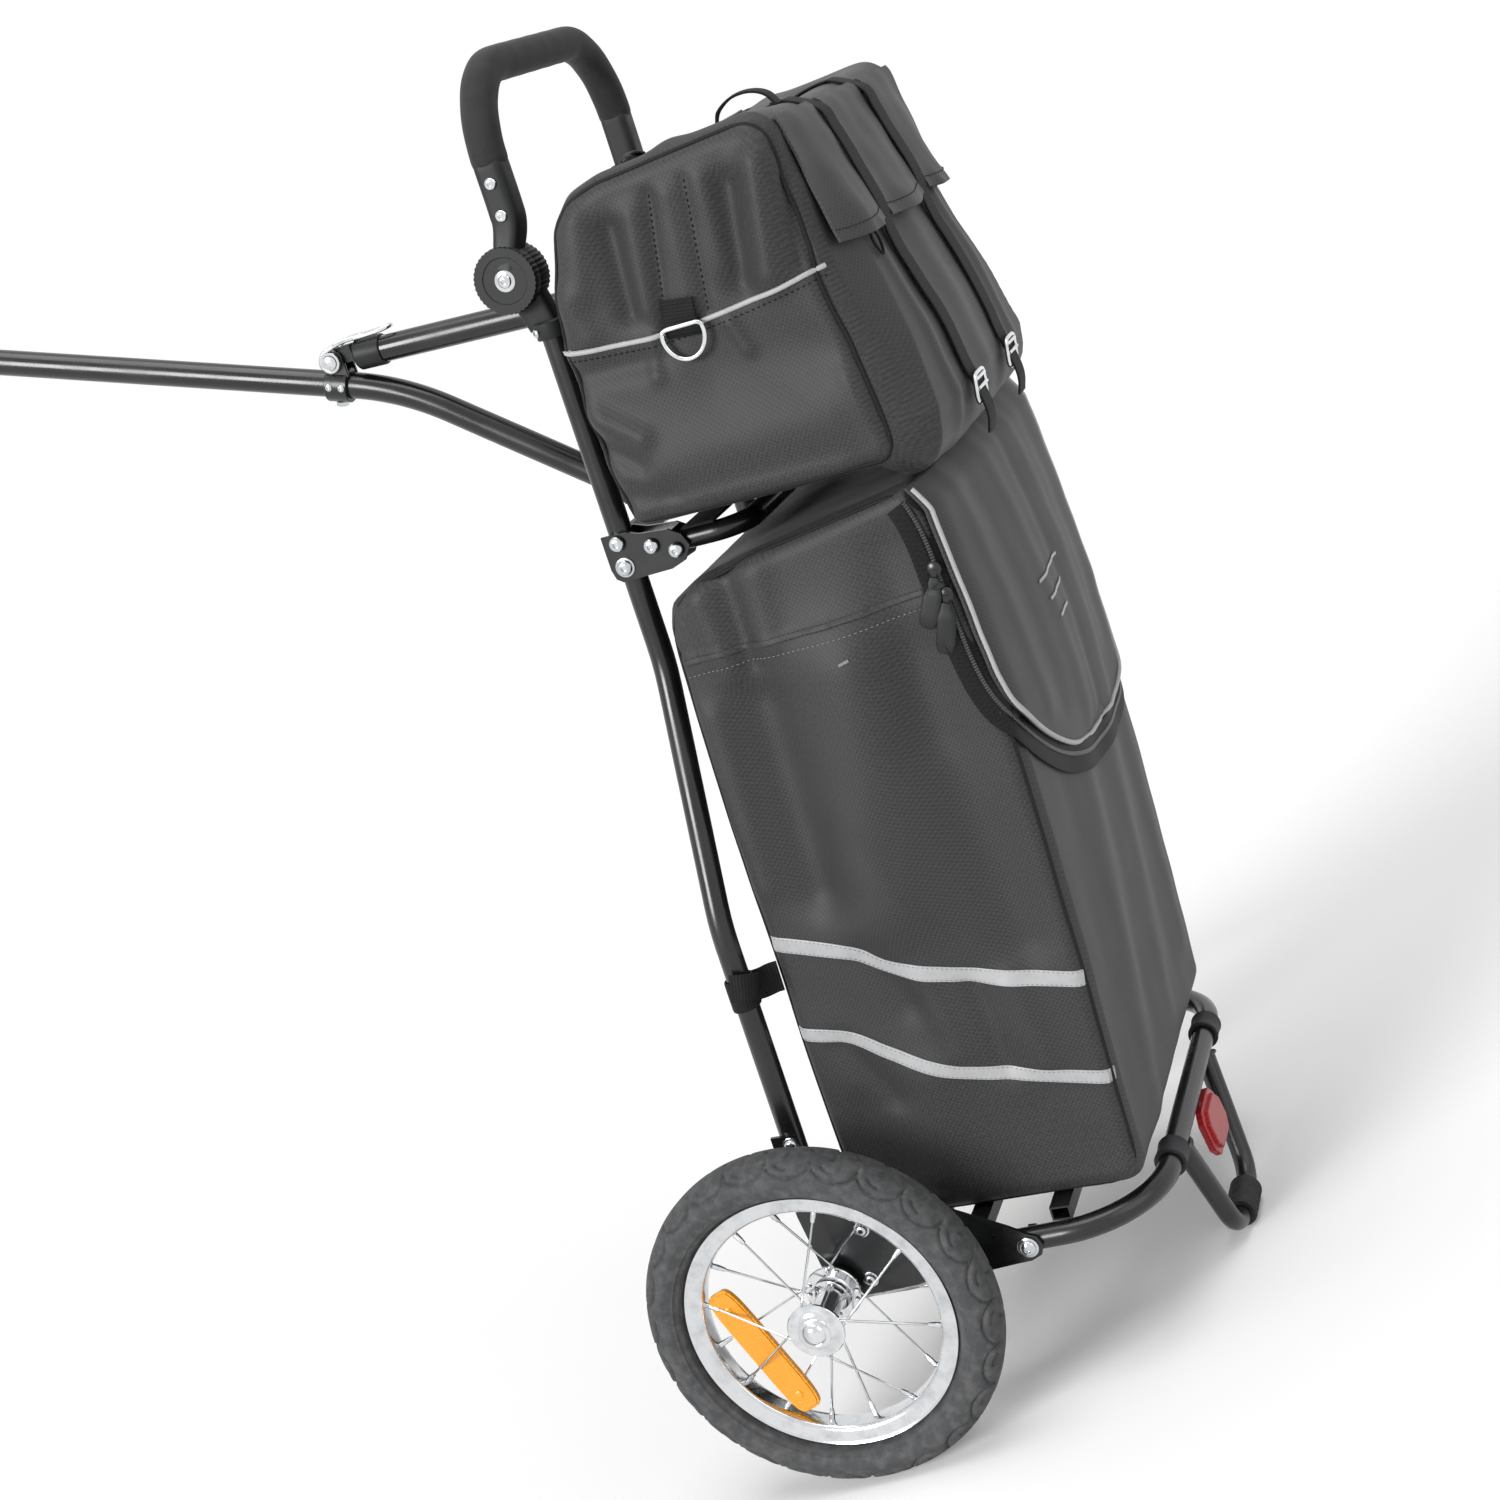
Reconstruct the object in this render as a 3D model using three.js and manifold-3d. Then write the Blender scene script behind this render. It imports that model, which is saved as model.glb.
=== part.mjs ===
// Two-wheeled folding shopping trailer: frame, wheels, folding platform, drawbar, brace, handle and two bags.
// Local frame while building: X to the trailer's left, Y to the rear, Z up along the uprights, axle at the origin.
import * as THREE from 'three';
import { mergeVertices } from 'three/addons/utils/BufferGeometryUtils.js';
import Module from 'manifold-3d';

const wasm = await Module();
wasm.setup();

// General
const GAP = 0.3;
const WELD = 0.0001;
const COORDINATES = 3;
const ROUND_SIDES = 10;
const FINE_SIDES = 14;
const BEND_STEPS = 4;
const SOFT_STEPS = 2;
const HALF_TURN_DEG = 180;
const QUARTER_TURN_DEG = 90;

// Wheels
const HALF_TRACK = 258;
const TYRE_RADIUS = 143.5;
const TYRE_HALF_WIDTH = 23;
const TYRE_SIDES = 32;
const RIM_LIP_RADIUS = 109.6;
const RIM_INNER_RADIUS = 95;
const RIM_HALF_WIDTH = 13;
const RIM_WALL = 1.6;
const RIM_SEAT_HALF_WIDTH = 8;
const TYRE_BEAD_RADIUS = 101.5;
const TYRE_WALL = 4;
const TYRE_NECK_SHARE = 0.7;
const TYRE_TOE_SHARE = 0.6;
const TYRE_NECK_RISE_SHARES = [0.2, 0.24];
const TYRE_OUTER_SHARES = [[0.3, 0.76], [0.45, 0.96], [0.64, 1], [0.85, 0.81], [0.97, 0.42]];
const TYRE_INNER_SHARES = [[0.45, 0.78], [0.65, 0.8], [0.86, 0.4]];
const HUB_FLANGE_RADIUS = 23;
const HUB_BARREL_RADIUS = 13;
const HUB_FLANGE_THICKNESS = 3;
const HUB_OUTER_FLANGE = 22;
const HUB_INNER_FLANGE = 33;
const HUB_END = 4;
const AXLE_RADIUS = 6;
const CAP_RADIUS = 13;
const CAP_HEIGHT = 6;
const SPOKE_COUNT = 16;
const SPOKE_RADIUS = 1;
const SPOKE_SIDES = 4;
const SPOKE_CIRCLE_RADIUS = 20;
const SPOKE_LEAN_DEG = 34;
const SPOKE_TURN_DEG = 9;
const WHEEL_REFLECTOR_LENGTH = 121;
const WHEEL_REFLECTOR_WIDTH = 26;
const WHEEL_REFLECTOR_THICKNESS = 5.5;
const WHEEL_REFLECTOR_REACH = 63;
const WHEEL_REFLECTOR_OFFSET = -2.5;
const WHEEL_REFLECTOR_TURN_DEG = 23;

// Heights that the frame is set out from
const MAIN_BOTTOM_Z = 35;
const MAIN_HEIGHT = 571;
const PIVOT_DROP = 15;
const FRAME_PIVOT_Z = MAIN_BOTTOM_Z + MAIN_HEIGHT - PIVOT_DROP;

// Frame tubes
const TUBE_RADIUS = 9.5;
const TUBE_WALL = 1.5;
const UPRIGHT_INSET = 55;
const LOWER_X = HALF_TRACK - UPRIGHT_INSET;
const UPRIGHT_STEP = 62;
const UPPER_X = LOWER_X - UPRIGHT_STEP;
const UPRIGHT_FOOT_Z = 14;
const UPRIGHT_KNEE_Z = 311;
const UPRIGHT_NECK_DROP = 84;
const UPRIGHT_NECK_Z = FRAME_PIVOT_Z - UPRIGHT_NECK_DROP;
const UPRIGHT_TOP_RISE = 9;
const UPRIGHT_TOP_Z = FRAME_PIVOT_Z + UPRIGHT_TOP_RISE;
const UPRIGHT_BEND = 110;

// Axle brackets
const PLATE = 3;
const BRACKET_DEPTH = 188;
const BRACKET_HEIGHT = 149;
const BRACKET_FRONT_Y = -13;
const BRACKET_BOTTOM_Z = -14;
const BRACKET_SHARES = [
  [0, 0.53], [0.037, 0.174], [0.005, 0.027], [0.122, 0], [0.388, 0.013],
  [0.867, 0.08], [0.936, 0.087], [0.983, 0.114], [1, 0.168], [0.983, 0.221],
  [0.936, 0.248], [0.878, 0.295], [0.66, 0.443], [0.309, 0.51], [0.16, 0.58],
  [0.122, 0.7], [0.112, 1], [0, 1],
];
const BRACKET_SCREWS = [[35.8, 46], [30, 2]];
const STUB_RADIUS = 8.5;
const STUB_START_Y = 15;
const STUB_END_Y = 57;
const STUB_Z = -5;
const STUB_OFFSET = 3;
const STUB_X = LOWER_X + STUB_OFFSET;

// Platform and stand
const PLATFORM_PIVOT_Y = 163;
const PLATFORM_PIVOT_Z = 11;
const RAIL_START_Y = 150;
const RAIL_REAR_Y = 265;
const RAIL_RISE_DEG = 3;
const RAIL_BEND = 75;
const SLAT_WIDTH = 16;
const SLAT_HEIGHT = 11.5;
const SLAT_TOP_Z = 34.6;
const FIXED_SLATS_Y = [86, 127];
const PLATFORM_SLAT_Y = 192;
const COLLAR_INSET = 91;
const COLLAR_X = LOWER_X - COLLAR_INSET;
const COLLAR_WIDTH = 24;
const SLEEVE_THICKNESS = 3;
const STAND_RADIUS = 8.5;
const STAND_INSET = 28;
const STAND_ROOT_X = COLLAR_X - STAND_INSET;
const STAND_FOOT_X = 45;
const STAND_FOOT_Y = 283;
const STAND_FOOT_Z = -92;
const STAND_BEND = 30;
const FOOT_SLEEVE_RADIUS = 13.5;
const FOOT_SLEEVE_LENGTH = 44;
const REFLECTOR_WIDTH = 60;
const REFLECTOR_HEIGHT = 42;
const REFLECTOR_THICKNESS = 10;
const REFLECTOR_DROP = 12;
const STRIP_WIDTH = 18;
const STRIP_THICKNESS = 2;
const STRIP_HEIGHT = 50;
const STAND_LEAN_DEG = 9;

// Hinges and bolts
const HINGE_FRONT_Y = -12;
const HINGE_REAR_Y = 55;
const HINGE_BOTTOM_DROP = 11;
const HINGE_BOTTOM_Z = FRAME_PIVOT_Z - HINGE_BOTTOM_DROP;
const HINGE_TOP_RISE = 26;
const HINGE_TOP_Z = FRAME_PIVOT_Z + HINGE_TOP_RISE;
const HINGE_SHARES = [
  [0.03, 0.09], [0.1, 0], [0.72, 0.03], [0.9, 0.14], [1, 0.42], [0.94, 0.68], [0.8, 0.84],
  [0.45, 0.9], [0.3, 1], [0, 1], [0, 0.3],
];
const BOLT_RADIUS = 4;
const BOLT_HEAD_RADIUS = 7;
const BOLT_HEAD_HEIGHT = 4;
const SCREW_HEAD_RADIUS = 5;
const SCREW_HEAD_HEIGHT = 3;
const HINGE_SCREWS = [[0, 19], [26, 11], [44, 3.5]];
const LIP_START_Y = 14;
const LIP_END_Y = 44;

// Upper frame
const UPPER_START_RISE = 13;
const UPPER_START_Z = FRAME_PIVOT_Z + UPPER_START_RISE;
const UPPER_END_RISE = 189;
const UPPER_END_Z = FRAME_PIVOT_Z + UPPER_END_RISE;
const SHELF_RADIUS = 8;
const SHELF_RISE = 7.5;
const SHELF_Z = FRAME_PIVOT_Z + SHELF_RISE;
const SHELF_START_Y = 14;
const SHELF_REAR_Y = 98;
const SHELF_BEND = 26;
const SHELF_STRAP_Y = 57;
const SHELF_STRAP_WIDTH = 40;
const SHELF_STRAP_THICKNESS = 2;
const ROOT_BAR_Y = -12;
const ROOT_BAR_RISE = 11;
const ROOT_BAR_Z = FRAME_PIVOT_Z + ROOT_BAR_RISE;
const TOP_BAR_Y = -10;
const TOP_BAR_RISE = 185;
const TOP_BAR_Z = FRAME_PIVOT_Z + TOP_BAR_RISE;
const TOP_BAR_RADIUS = 8;
const LUG_RADIUS = 9;

// Handle
const TILT_Y = -16;
const TILT_RISE = 229;
const TILT_Z = FRAME_PIVOT_Z + TILT_RISE;
const TILT_RADIUS = 25;
const TILT_OUTSET = 18;
const TILT_OUTER_X = UPPER_X + TILT_OUTSET;
const TILT_SPLIT_OUTSET = 7;
const TILT_SPLIT_X = UPPER_X + TILT_SPLIT_OUTSET;
const SOCKET_INSET = 12;
const SOCKET_INNER_X = UPPER_X - SOCKET_INSET;
const SOCKET_STEM_DEPTH = 22;
const ARM_DEPTH = 15;
const ARM_WIDTH = 25;
const ARM_START_RISE = 255;
const ARM_START_Z = FRAME_PIVOT_Z + ARM_START_RISE;
const ARM_END_RISE = 309;
const ARM_END_Z = FRAME_PIVOT_Z + ARM_END_RISE;
const ARM_Y = -4;
const GRIP_RADIUS = 13.5;
const GRIP_CORE_RADIUS = 6;
const GRIP_TOP_RISE = 378;
const GRIP_TOP_Z = FRAME_PIVOT_Z + GRIP_TOP_RISE;
const GRIP_BEND = 66;
const CORE_START_RISE = 267;
const CORE_START_Z = FRAME_PIVOT_Z + CORE_START_RISE;

// Drawbar, brace and latch
const BAR_RADIUS = 11;
const DRAWBAR_PIVOT_Y = -36;
const DRAWBAR_PIVOT_RISE = 30;
const DRAWBAR_PIVOT_Z = FRAME_PIVOT_Z + DRAWBAR_PIVOT_RISE;
const DRAWBAR_ROOT_DEG = 38;
const DRAWBAR_ROOT_TAIL = 8;
const DRAWBAR_ROOT_LENGTH = 211;
const DRAWBAR_FRONT_DEG = 18.3;
const DRAWBAR_FRONT_LENGTH = 432;
const DRAWBAR_BEND = 250;
const BRACE_PIVOT_Y = -34;
const BRACE_PIVOT_RISE = 187;
const BRACE_PIVOT_Z = FRAME_PIVOT_Z + BRACE_PIVOT_RISE;
const BRACE_TAIL = 8;
const BRACE_END_REACH = 196;
const LATCH_REACH = 217;
const LATCH_RISE = 10.5;
const LATCH_PIN_RADIUS = 6;
const LATCH_PIN_HALF_LENGTH = 16;
const LATCH_PLATE_RADIUS = 10;
const TONGUE_HALF_WIDTH = 6.5;
const TONGUE_TAIL = 36;
const TONGUE_LIP = 7;
const TONGUE_NECK = 18;
const TONGUE_TOP = 9.5;
const TONGUE_PLUG = 4;
const SADDLE_START = 6;
const SADDLE_LENGTH = 20;
const LEVER_LENGTH = 57;
const LEVER_LIFT = 11;
const LEVER_HALF_WIDTH = 14.6;

// Hitch, in a frame along the front of the drawbar
const HITCH_PIN_RADIUS = 4;
const HITCH_TAIL = 8;
const YOKE_WEB_REACH = 24;
const YOKE_WEB = 8;
const KNUCKLE_RADIUS = 9;
const KNUCKLE_HEIGHT = 20;
const KNUCKLE_REACH = 44;
const CLAMP_REACH = 82;
const CLAMP_BORE_RADIUS = 13.9;
const CLAMP_WALL = 6;
const CLAMP_HEIGHT = 28;
const CLAMP_SLIT = 4;
const CLAMP_EAR = 14;
const EAR_THICKNESS = 4;

// Main bag
const BAG_INSET = 14;
const BAG_HALF_WIDTH = LOWER_X - BAG_INSET;
const BAG_WALL = 3;
const BAG_ROUNDING = 12;
const UPPER_ROUNDING = 16;
const MAIN_FRONT_Y = 24;
const MAIN_DEPTH = 251;
const MAIN_SHARES = [
  [0, 0.018], [0.03, 0], [0.9, 0], [0.936, 0.018], [0.948, 0.289], [0.952, 0.508],
  [0.948, 0.674], [0.928, 0.814], [0.896, 0.963], [0.845, 1], [0.343, 0.961],
  [0.143, 0.944], [0.04, 0.919], [0.012, 0.884], [0, 0.464],
];
const FLAP_SHARES = [
  [1, 0.552], [0.984, 0.674], [0.968, 0.814], [0.94, 0.963], [0.908, 0.996], [0.872, 1.003],
  [0.866, 1], [0.904, 0.966], [0.934, 0.814], [0.954, 0.674], [0.958, 0.552], [0.958, 0.538], [0.99, 0.538],
];
const FLAP_REAR_SHARES = [
  [1, 1.05], [-1, 1.05], [-1, 0.67], [-0.95, 0.61], [-0.84, 0.56], [-0.68, 0.53],
  [0.68, 0.53], [0.84, 0.56], [0.95, 0.61], [1, 0.67],
];
const FLAP_SEAT = 1.2;
const DOOR_HALF_WIDTH = 150;
const DOOR_BOTTOM_Z = 370;
const DOOR_TOP_Z = 580;

// Upper bag
const UPPER_FRONT_Y = 17;
const UPPER_DEPTH = 224;
const UPPER_BOTTOM_RISE = 29;
const UPPER_BOTTOM_Z = FRAME_PIVOT_Z + UPPER_BOTTOM_RISE;
const UPPER_HEIGHT = 263;
const UPPER_SHARES = [
  [0.05, 0.01], [0.08, 0], [0.96, 0], [1, 0.03], [0.978, 0.266], [0.933, 0.563],
  [0.922, 0.741], [0.905, 0.95], [0.86, 0.99], [0.82, 1], [0.3, 0.966], [0.18, 0.935], [0.103, 0.867],
  [0.04, 0.684], [0, 0.532], [0.02, 0.2],
];
const POCKET_HALF_WIDTH = 124;
const POCKET_SHARES = [
  [0.817, 0.076], [1.12, 0.076], [1.138, 0.152], [1.094, 0.304], [1.04, 0.57],
  [0.987, 0.684], [0.884, 0.875], [0.817, 0.875],
];
const ZIP_START_SHARES = [0.32, 0.967];
const ZIP_END_SHARES = [0.39, 0.972];
const ZIP_INSET = 39;
const ZIP_HALF_LENGTH = BAG_HALF_WIDTH - ZIP_INSET;
const ZIP_THICKNESS = 2;
const ZIP_PULL_INSET = 12;
const ZIP_PULL_X = ZIP_HALF_LENGTH - ZIP_PULL_INSET;
const ZIP_PULL_LENGTH = 14;
const ZIP_PULL_HEIGHT = 4;
const RING_WIRE = 1.8;
const RING_HALF_WIDTH = 16;
const RING_DROP = 12;
const RING_Y = 116;
const RING_RISE = 166;
const RING_Z = FRAME_PIVOT_Z + RING_RISE;
const TAB_THICKNESS = 7;
const TAB_HEIGHT = 14;
const TAB_HALF_WIDTH = 11;
const STRAP_RING_HEIGHT = 25;
const STRAP_RING_Z = 268;
const UPPER_STRAP_RISE = 157;
const UPPER_STRAP_Z = FRAME_PIVOT_Z + UPPER_STRAP_RISE;
const UPPER_STRAP_HEIGHT = 20;

const COLOURS = {
  frame: [0x1b1c1d, 0.28, 0.6],
  steel: [0xb9bbbd, 0.35, 1],
  chrome: [0xd5d7d8, 0.12, 1],
  rim: [0xc4c6c8, 0.22, 1],
  tyre: [0x2f3031, 0.85, 0],
  rubber: [0x202122, 0.9, 0],
  plastic: [0x242526, 0.55, 0],
  foam: [0x1d1e1f, 0.95, 0],
  fabric: [0x3d3e3f, 0.95, 0],
  webbing: [0x1a1b1b, 0.9, 0],
  amber: [0xf0a81e, 0.3, 0],
  red: [0xd42a2c, 0.3, 0],
};

/** Vector from local coordinates. */
function at(x, y, z) {
  return new THREE.Vector3(x, y, z);
}

/** Radians from degrees. */
function rad(degrees) {
  return degrees * Math.PI / HALF_TURN_DEG;
}

/** Curve that runs through listed points, one step to a point. */
class PointPath extends THREE.Curve {
  constructor(points) {
    super();
    this.points = points;
  }

  getPoint(share) {
    const place = share * (this.points.length - 1);
    const index = Math.min(Math.round(place), this.points.length - 1);
    return this.points[index].clone();
  }

  getPointAt(share) {
    return this.getPoint(share);
  }

  getTangentAt(share) {
    const index = Math.round(share * (this.points.length - 1));
    const tangent = at(0, 0, 0);
    if (index > 0) tangent.add(this.points[index].clone().sub(this.points[index - 1]).normalize());
    if (index < this.points.length - 1) tangent.add(this.points[index + 1].clone().sub(this.points[index]).normalize());
    return tangent.normalize();
  }
}

/** Corner points with each inner corner turned into an arc of one radius. */
function rounded(corners, radius) {
  const points = [corners[0]];
  for (let i = 1; i < corners.length - 1; i += 1) {
    const back = corners[i - 1].clone().sub(corners[i]).normalize();
    const ahead = corners[i + 1].clone().sub(corners[i]).normalize();
    const half = back.angleTo(ahead) / 2;
    const middle = back.clone().add(ahead).normalize();
    const centre = corners[i].clone().addScaledVector(middle, radius / Math.sin(half));
    const from = corners[i].clone().addScaledVector(back, radius / Math.tan(half)).sub(centre);
    const to = corners[i].clone().addScaledVector(ahead, radius / Math.tan(half)).sub(centre);
    const sweep = from.angleTo(to);
    const axis = from.clone().cross(to).normalize();
    const steps = Math.max(Math.ceil(sweep / (Math.PI / 2) * BEND_STEPS), 2);
    for (let k = 0; k <= steps; k += 1) {
      points.push(centre.clone().add(from.clone().applyAxisAngle(axis, sweep * k / steps)));
    }
  }
  points.push(corners[corners.length - 1]);
  return points;
}

/** Regular polygon as 2-D points. */
function circlePoints(radius, sides) {
  return Array.from({ length: sides }, (_, i) => {
    const angle = (i + 1 / 2) / sides * Math.PI * 2;
    return new THREE.Vector2(radius * Math.cos(angle), radius * Math.sin(angle));
  });
}

/** Round tube or rod along corner points. */
function tube(corners, radius, wall = 0, bend = 0, sides = ROUND_SIDES) {
  const points = bend > 0 ? rounded(corners, bend) : corners;
  const shape = new THREE.Shape(circlePoints(radius, sides));
  if (wall > 0) shape.holes.push(new THREE.Path(circlePoints(radius - wall, sides)));
  const settings = { steps: points.length - 1, extrudePath: new PointPath(points), bevelEnabled: false };
  return new THREE.ExtrudeGeometry(shape, settings);
}

/** Radius whose polygon clears a round tube by the gap. */
function clear(radius) {
  return (radius + GAP) / Math.cos(Math.PI / ROUND_SIDES);
}

/** Plate from a Y-Z outline, reaching from one X to the other. */
function plate(outline, fromX, toX) {
  const shape = new THREE.Shape(outline.map(([y, z]) => new THREE.Vector2(y, z)));
  const geometry = new THREE.ExtrudeGeometry(shape, { depth: toX - fromX, bevelEnabled: false });
  geometry.translate(0, 0, fromX);
  const turn = new THREE.Matrix4().makeBasis(at(0, 1, 0), at(0, 0, 1), at(1, 0, 0));
  return geometry.applyMatrix4(turn);
}

/** Y-Z outline from shares of a box. */
function outline(shares, y, z, depth, height) {
  return shares.map(([a, b]) => [y + a * depth, z + b * height]);
}

/** Box between two corners. */
function block(x0, x1, y0, y1, z0, z1) {
  const geometry = new THREE.BoxGeometry(x1 - x0, y1 - y0, z1 - z0);
  return geometry.translate((x0 + x1) / 2, (y0 + y1) / 2, (z0 + z1) / 2);
}

/** Solid turned about the X axis from radius and X pairs. */
function turned(profile, sides) {
  const points = profile.map(([r, x]) => new THREE.Vector2(r, x));
  if (THREE.ShapeUtils.area(points) < 0) points.reverse();
  if (points[0].x > 0) points.push(points[0].clone());
  const geometry = new THREE.LatheGeometry(points, sides);
  return geometry.applyMatrix4(new THREE.Matrix4().makeBasis(at(0, 0, 1), at(1, 0, 0), at(0, 1, 0)));
}

/** Disc or pin along X at a Y-Z place. */
function pinX(x0, x1, y, z, radius, sides = ROUND_SIDES) {
  return tube([at(x0, y, z), at(x1, y, z)], radius, 0, 0, sides);
}

/** Round screw head on a plate that starts at an X. */
function screwHead(x, y, z) {
  return pinX(x, x + PLATE + SCREW_HEAD_HEIGHT, y, z, SCREW_HEAD_RADIUS);
}

/** Manifold solid of a geometry. */
function solidOf(geometry) {
  const bare = new THREE.BufferGeometry();
  bare.setAttribute('position', geometry.getAttribute('position').clone());
  if (geometry.index) bare.setIndex(geometry.index.clone());
  const welded = mergeVertices(bare, WELD);
  const kept = [];
  const index = welded.index.array;
  for (let i = 0; i < index.length; i += COORDINATES) {
    const [a, b, c] = [index[i], index[i + 1], index[i + 2]];
    if (a !== b && b !== c && c !== a) kept.push(a, b, c);
  }
  const vertProperties = new Float32Array(welded.getAttribute('position').array);
  const mesh = new wasm.Mesh({ numProp: COORDINATES, vertProperties, triVerts: new Uint32Array(kept) });
  return new wasm.Manifold(mesh);
}

/** Geometry of a manifold solid. */
function geometryOf(solid) {
  const mesh = solid.getMesh();
  const geometry = new THREE.BufferGeometry();
  geometry.setAttribute(
    'position', new THREE.BufferAttribute(new Float32Array(mesh.vertProperties), COORDINATES),
  );
  geometry.setIndex(new THREE.BufferAttribute(new Uint32Array(mesh.triVerts), 1));
  return geometry;
}

/** Union of geometries. */
function join(...geometries) {
  return geometryOf(geometries.map(solidOf).reduce((sum, next) => sum.add(next)));
}

/** First geometry less the others. */
function cut(geometry, ...tools) {
  return geometryOf(tools.map(solidOf).reduce((rest, tool) => rest.subtract(tool), solidOf(geometry)));
}

/** Common part of two geometries. */
function common(first, second) {
  return geometryOf(solidOf(first).intersect(solidOf(second)));
}

/** Mirror image across the middle plane. */
function mirrored(geometry) {
  const solid = solidOf(geometry).mirror([1, 0, 0]);
  return geometryOf(solid);
}

/** Named mesh with its own material. */
function mesh(name, geometry, finish) {
  const [color, roughness, metalness] = COLOURS[finish];
  const piece = new THREE.Mesh(geometry, new THREE.MeshStandardMaterial({ color, roughness, metalness }));
  piece.name = name;
  geometry.computeVertexNormals();
  return piece;
}

/** Left and right copies of one geometry built on the left. */
function pair(name, geometry, finish) {
  return [mesh(`${name}_left`, geometry, finish), mesh(`${name}_right`, mirrored(geometry), finish)];
}

/** Tyre section: outer skin, then the inside back to the first bead. */
function tyre() {
  const w = TYRE_HALF_WIDTH;
  const seat = RIM_SEAT_HALF_WIDTH + GAP;
  const neck = seat + TYRE_WALL * TYRE_NECK_SHARE;
  const depth = TYRE_RADIUS - TYRE_BEAD_RADIUS;
  const wide = ([share, widthShare]) => [share, w * widthShare];
  const place = ([share, x]) => [TYRE_BEAD_RADIUS + share * depth, x];
  const [outerRise, innerRise] = TYRE_NECK_RISE_SHARES;
  const side = [[0, seat], [outerRise, neck], ...TYRE_OUTER_SHARES.map(wide)].map(place);
  const toe = seat - TYRE_WALL * TYRE_TOE_SHARE;
  const inner = [[0, toe], [innerRise, neck - TYRE_WALL], ...TYRE_INNER_SHARES.map(wide)].map(place);
  const flip = (list) => list.map(([r, x]) => [r, -x]);
  const crown = [[TYRE_RADIUS, 0]];
  const hollow = [...flip(inner), ...[...inner].reverse()];
  const skin = [...side, ...crown, ...flip([...side].reverse())];
  return turned([...skin, ...hollow], TYRE_SIDES);
}

/** Hollow channel rim. */
function rim() {
  const side = [
    [RIM_INNER_RADIUS + RIM_WALL * 0.5, RIM_SEAT_HALF_WIDTH + RIM_WALL], [RIM_LIP_RADIUS, RIM_HALF_WIDTH],
    [RIM_LIP_RADIUS, RIM_HALF_WIDTH - RIM_WALL], [RIM_INNER_RADIUS + RIM_WALL * 3, RIM_SEAT_HALF_WIDTH],
  ];
  const well = [[RIM_INNER_RADIUS + RIM_WALL, 0]];
  const flipped = side.map(([r, x]) => [r, -x]).reverse();
  return turned([[RIM_INNER_RADIUS, 0], ...side, ...well, ...flipped], TYRE_SIDES);
}

/** Hub with its two flanges and all the spokes. */
function hub() {
  const outer = HUB_OUTER_FLANGE;
  const inner = -HUB_INNER_FLANGE;
  const bore = AXLE_RADIUS + GAP;
  const profile = [
    [bore, outer + HUB_END], [bore, inner - HUB_END], [HUB_BARREL_RADIUS, inner - HUB_END],
    [HUB_FLANGE_RADIUS, inner - HUB_FLANGE_THICKNESS / 2], [
      HUB_FLANGE_RADIUS, inner + HUB_FLANGE_THICKNESS / 2,
    ],
    [HUB_BARREL_RADIUS, inner + HUB_FLANGE_THICKNESS / 2], [
      HUB_BARREL_RADIUS, outer - HUB_FLANGE_THICKNESS / 2,
    ],
    [HUB_FLANGE_RADIUS, outer - HUB_FLANGE_THICKNESS / 2], [
      HUB_FLANGE_RADIUS, outer + HUB_FLANGE_THICKNESS / 2,
    ],
    [HUB_BARREL_RADIUS, outer + HUB_FLANGE_THICKNESS / 2], [HUB_BARREL_RADIUS, outer + HUB_END],
  ];
  const spokes = Array.from({ length: SPOKE_COUNT }, (_, k) => spoke(k));
  return join(turned(profile, FINE_SIDES), ...spokes);
}

/** One spoke from its flange to the rim. */
function spoke(k, radius = SPOKE_RADIUS) {
  const offset = k % 2 ? HUB_OUTER_FLANGE : -HUB_INNER_FLANGE;
  const rimAngle = rad(SPOKE_TURN_DEG) + k / SPOKE_COUNT * Math.PI * 2;
  const lean = rad(SPOKE_LEAN_DEG) * (Math.floor(k / 2) % 2 ? 1 : -1);
  const place = (radius, angle, x) => at(x, radius * Math.cos(angle), radius * Math.sin(angle));
  const root = place(SPOKE_CIRCLE_RADIUS, rimAngle + lean, offset);
  const tip = place(RIM_INNER_RADIUS - SPOKE_RADIUS - GAP, rimAngle, 0);
  return tube([root, tip], radius, 0, 0, SPOKE_SIDES);
}

/** Domed axle cap. */
function cap() {
  const start = HUB_OUTER_FLANGE + HUB_END + GAP;
  const profile = [[0, start], [CAP_RADIUS, start]];
  for (let i = 0; i <= BEND_STEPS; i += 1) {
    const angle = i / BEND_STEPS * Math.PI / 2;
    const rise = CAP_HEIGHT / 3 + CAP_HEIGHT * 2 / 3 * Math.sin(angle);
    profile.push([CAP_RADIUS * Math.cos(angle), start + rise]);
  }
  return turned(profile, FINE_SIDES);
}

/** Long reflector between the two rows of spokes, notched where a spoke passes. */
function wheelReflector() {
  const x = WHEEL_REFLECTOR_OFFSET;
  const half = WHEEL_REFLECTOR_LENGTH / 2;
  const low = WHEEL_REFLECTOR_REACH - WHEEL_REFLECTOR_WIDTH / 2;
  const high = WHEEL_REFLECTOR_REACH + WHEEL_REFLECTOR_WIDTH / 2;
  const chamfer = WHEEL_REFLECTOR_WIDTH / 4;
  const edge = [
    [-half, low + chamfer], [-half + chamfer, low], [half - chamfer, low], [half, low + chamfer],
    [half, high - chamfer], [half - chamfer, high], [-half + chamfer, high], [-half, high - chamfer],
  ];
  const body = plate(edge, x, x + WHEEL_REFLECTOR_THICKNESS);
  body.rotateX(rad(QUARTER_TURN_DEG + WHEEL_REFLECTOR_TURN_DEG));
  const passes = Array.from({ length: SPOKE_COUNT }, (_, k) => spoke(k, SPOKE_RADIUS + GAP));
  return cut(body, ...passes);
}

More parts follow.
